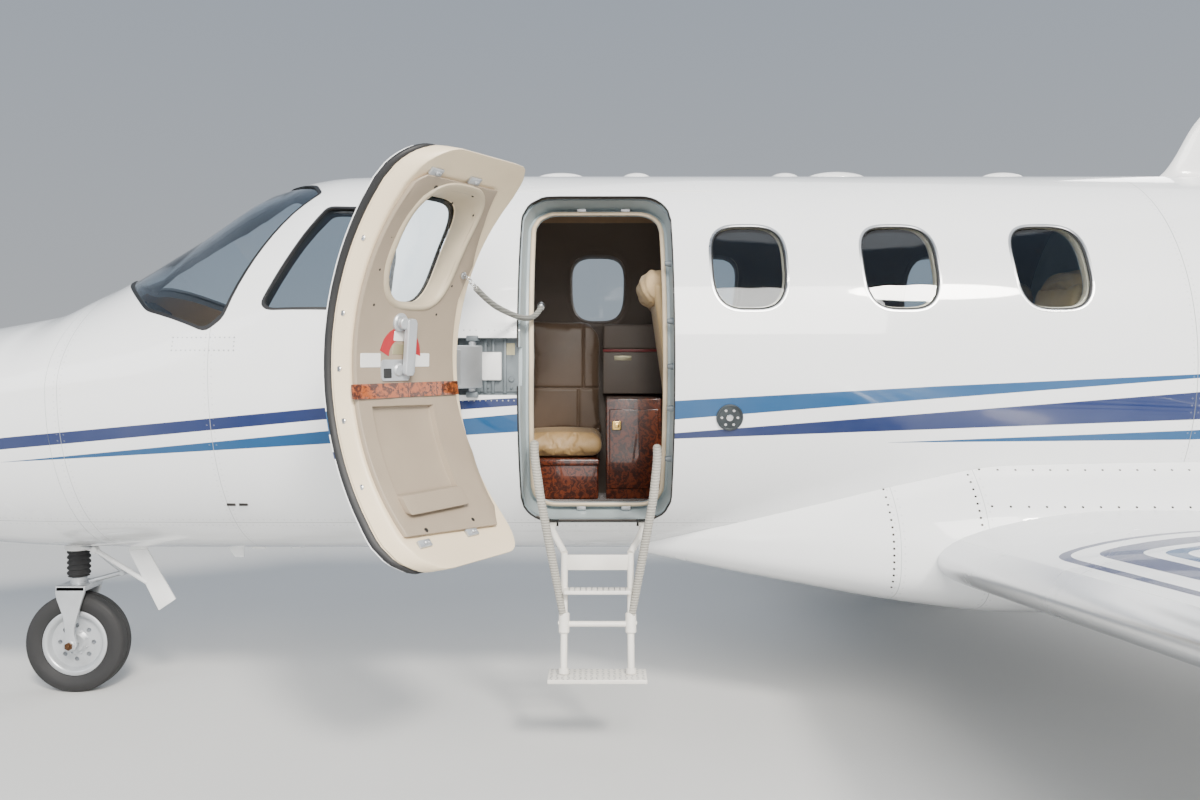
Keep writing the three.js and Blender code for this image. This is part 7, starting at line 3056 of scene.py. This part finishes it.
class JetSizes(bpy.types.PropertyGroup):
    """Sizes of soft pieces."""

    cord_thickness: size_setting("Hold cord", "Thickness of the door's hold cord over its sleeve", 0.022)
    rope_thickness: size_setting("Hand ropes", "Thickness of the wrapped hand ropes", 0.033)
    crew_seat_width: size_setting("Crew seat width", "Width of a crew seat's cushion", 0.43)
    crew_seat_top: size_setting("Crew seat top", "Height of a crew seat's head above the ground", 1.88)
    club_seat_width: size_setting("Club seat width", "Width of a club seat's cushion", 0.44)
    club_seat_top: size_setting("Club seat top", "Height of a club seat's head above the ground", 1.9)


SETTINGS = {"jet_stage": JetStage, "jet_colours": JetColours, "jet_sizes": JetSizes}


class JET_OT_stage(bpy.types.Operator):
    """Floor, lights, sky and camera."""

    bl_idname = "jet.stage"
    bl_label = "Stage"

    def execute(self, context):
        place_stage(context.scene)
        return {"FINISHED"}


class JET_OT_fuselage(bpy.types.Operator):
    """Fuselage skins."""

    bl_idname = "jet.fuselage"
    bl_label = "Fuselage"

    def execute(self, context):
        build_fuselage()
        return {"FINISHED"}


class JET_OT_glass(bpy.types.Operator):
    """Windshields, cockpit side windows and cabin windows."""

    bl_idname = "jet.glass"
    bl_label = "Glass"

    def execute(self, context):
        build_cockpit_glass()
        build_cabin_windows()
        return {"FINISHED"}


class JET_OT_wings(bpy.types.Operator):
    """Fairing, wings, flaps and ailerons."""

    bl_idname = "jet.wings"
    bl_label = "Wings"

    def execute(self, context):
        build_wings()
        return {"FINISHED"}


class JET_OT_tail(bpy.types.Operator):
    """Fin, rudder, tailplane and elevator."""

    bl_idname = "jet.tail"
    bl_label = "Tail"

    def execute(self, context):
        build_tail()
        return {"FINISHED"}


class JET_OT_engines(bpy.types.Operator):
    """Nacelles, fans and engine cores."""

    bl_idname = "jet.engines"
    bl_label = "Engines"

    def execute(self, context):
        build_nacelles()
        build_fans()
        return {"FINISHED"}


class JET_OT_entrance(bpy.types.Operator):
    """Doorway frame, hinge, door, hold cord, folding steps and hand ropes."""

    bl_idname = "jet.entrance"
    bl_label = "Entrance"

    def execute(self, context):
        build_doorway()
        build_hinge()
        build_door()
        build_stay()
        build_steps()
        return {"FINISHED"}


class JET_OT_gear(bpy.types.Operator):
    """Landing gear and wheels."""

    bl_idname = "jet.gear"
    bl_label = "Landing gear"

    def execute(self, context):
        build_wheels()
        build_main_gear()
        build_nose_gear()
        return {"FINISHED"}


class JET_OT_cabin(bpy.types.Operator):
    """Floor, instruments and cabinet."""

    bl_idname = "jet.cabin"
    bl_label = "Cabin"

    def execute(self, context):
        build_cabin()
        return {"FINISHED"}


class JET_OT_seats(bpy.types.Operator):
    """Seats with their cushions, backs and headrest covers."""

    bl_idname = "jet.seats"
    bl_label = "Seats"

    def execute(self, context):
        build_seats()
        return {"FINISHED"}


class JET_OT_details(bpy.types.Operator):
    """Ports, vents, screws, lights and wicks."""

    bl_idname = "jet.details"
    bl_label = "Details"

    def execute(self, context):
        build_details()
        return {"FINISHED"}


OPERATORS = (
    JET_OT_stage,
    JET_OT_fuselage,
    JET_OT_glass,
    JET_OT_entrance,
    JET_OT_cabin,
    JET_OT_seats,
    JET_OT_gear,
    JET_OT_wings,
    JET_OT_tail,
    JET_OT_engines,
    JET_OT_details,
)


class JET_PT_panel(bpy.types.Panel):
    """Lists the jet's build steps and settings."""

    bl_idname = "JET_PT_panel"
    bl_label = "Light business jet"
    bl_space_type = "VIEW_3D"
    bl_region_type = "UI"
    bl_category = "Jet"

    def draw(self, context):
        for operator in OPERATORS:
            self.layout.operator(operator.bl_idname)
        for group, kind in SETTINGS.items():
            for name in kind.__annotations__:
                self.layout.prop(getattr(context.scene, group), name)


CLASSES = tuple(SETTINGS.values()) + OPERATORS + (JET_PT_panel,)


def register():
    """Registers the classes and adds the settings to the scene."""
    for cls in CLASSES:
        bpy.utils.register_class(cls)
    for group, kind in SETTINGS.items():
        setattr(bpy.types.Scene, group, bpy.props.PointerProperty(type=kind))


def unregister():
    """Takes the settings and the classes away again."""
    for group in SETTINGS:
        delattr(bpy.types.Scene, group)
    for cls in reversed(CLASSES):
        bpy.utils.unregister_class(cls)


def main():
    """Builds every group in order."""
    register()
    bpy.ops.object.select_all(action="DESELECT")
    for operator in OPERATORS:
        group, name = operator.bl_idname.split(".")
        getattr(getattr(bpy.ops, group), name)()


if __name__ == "__main__":
    main()
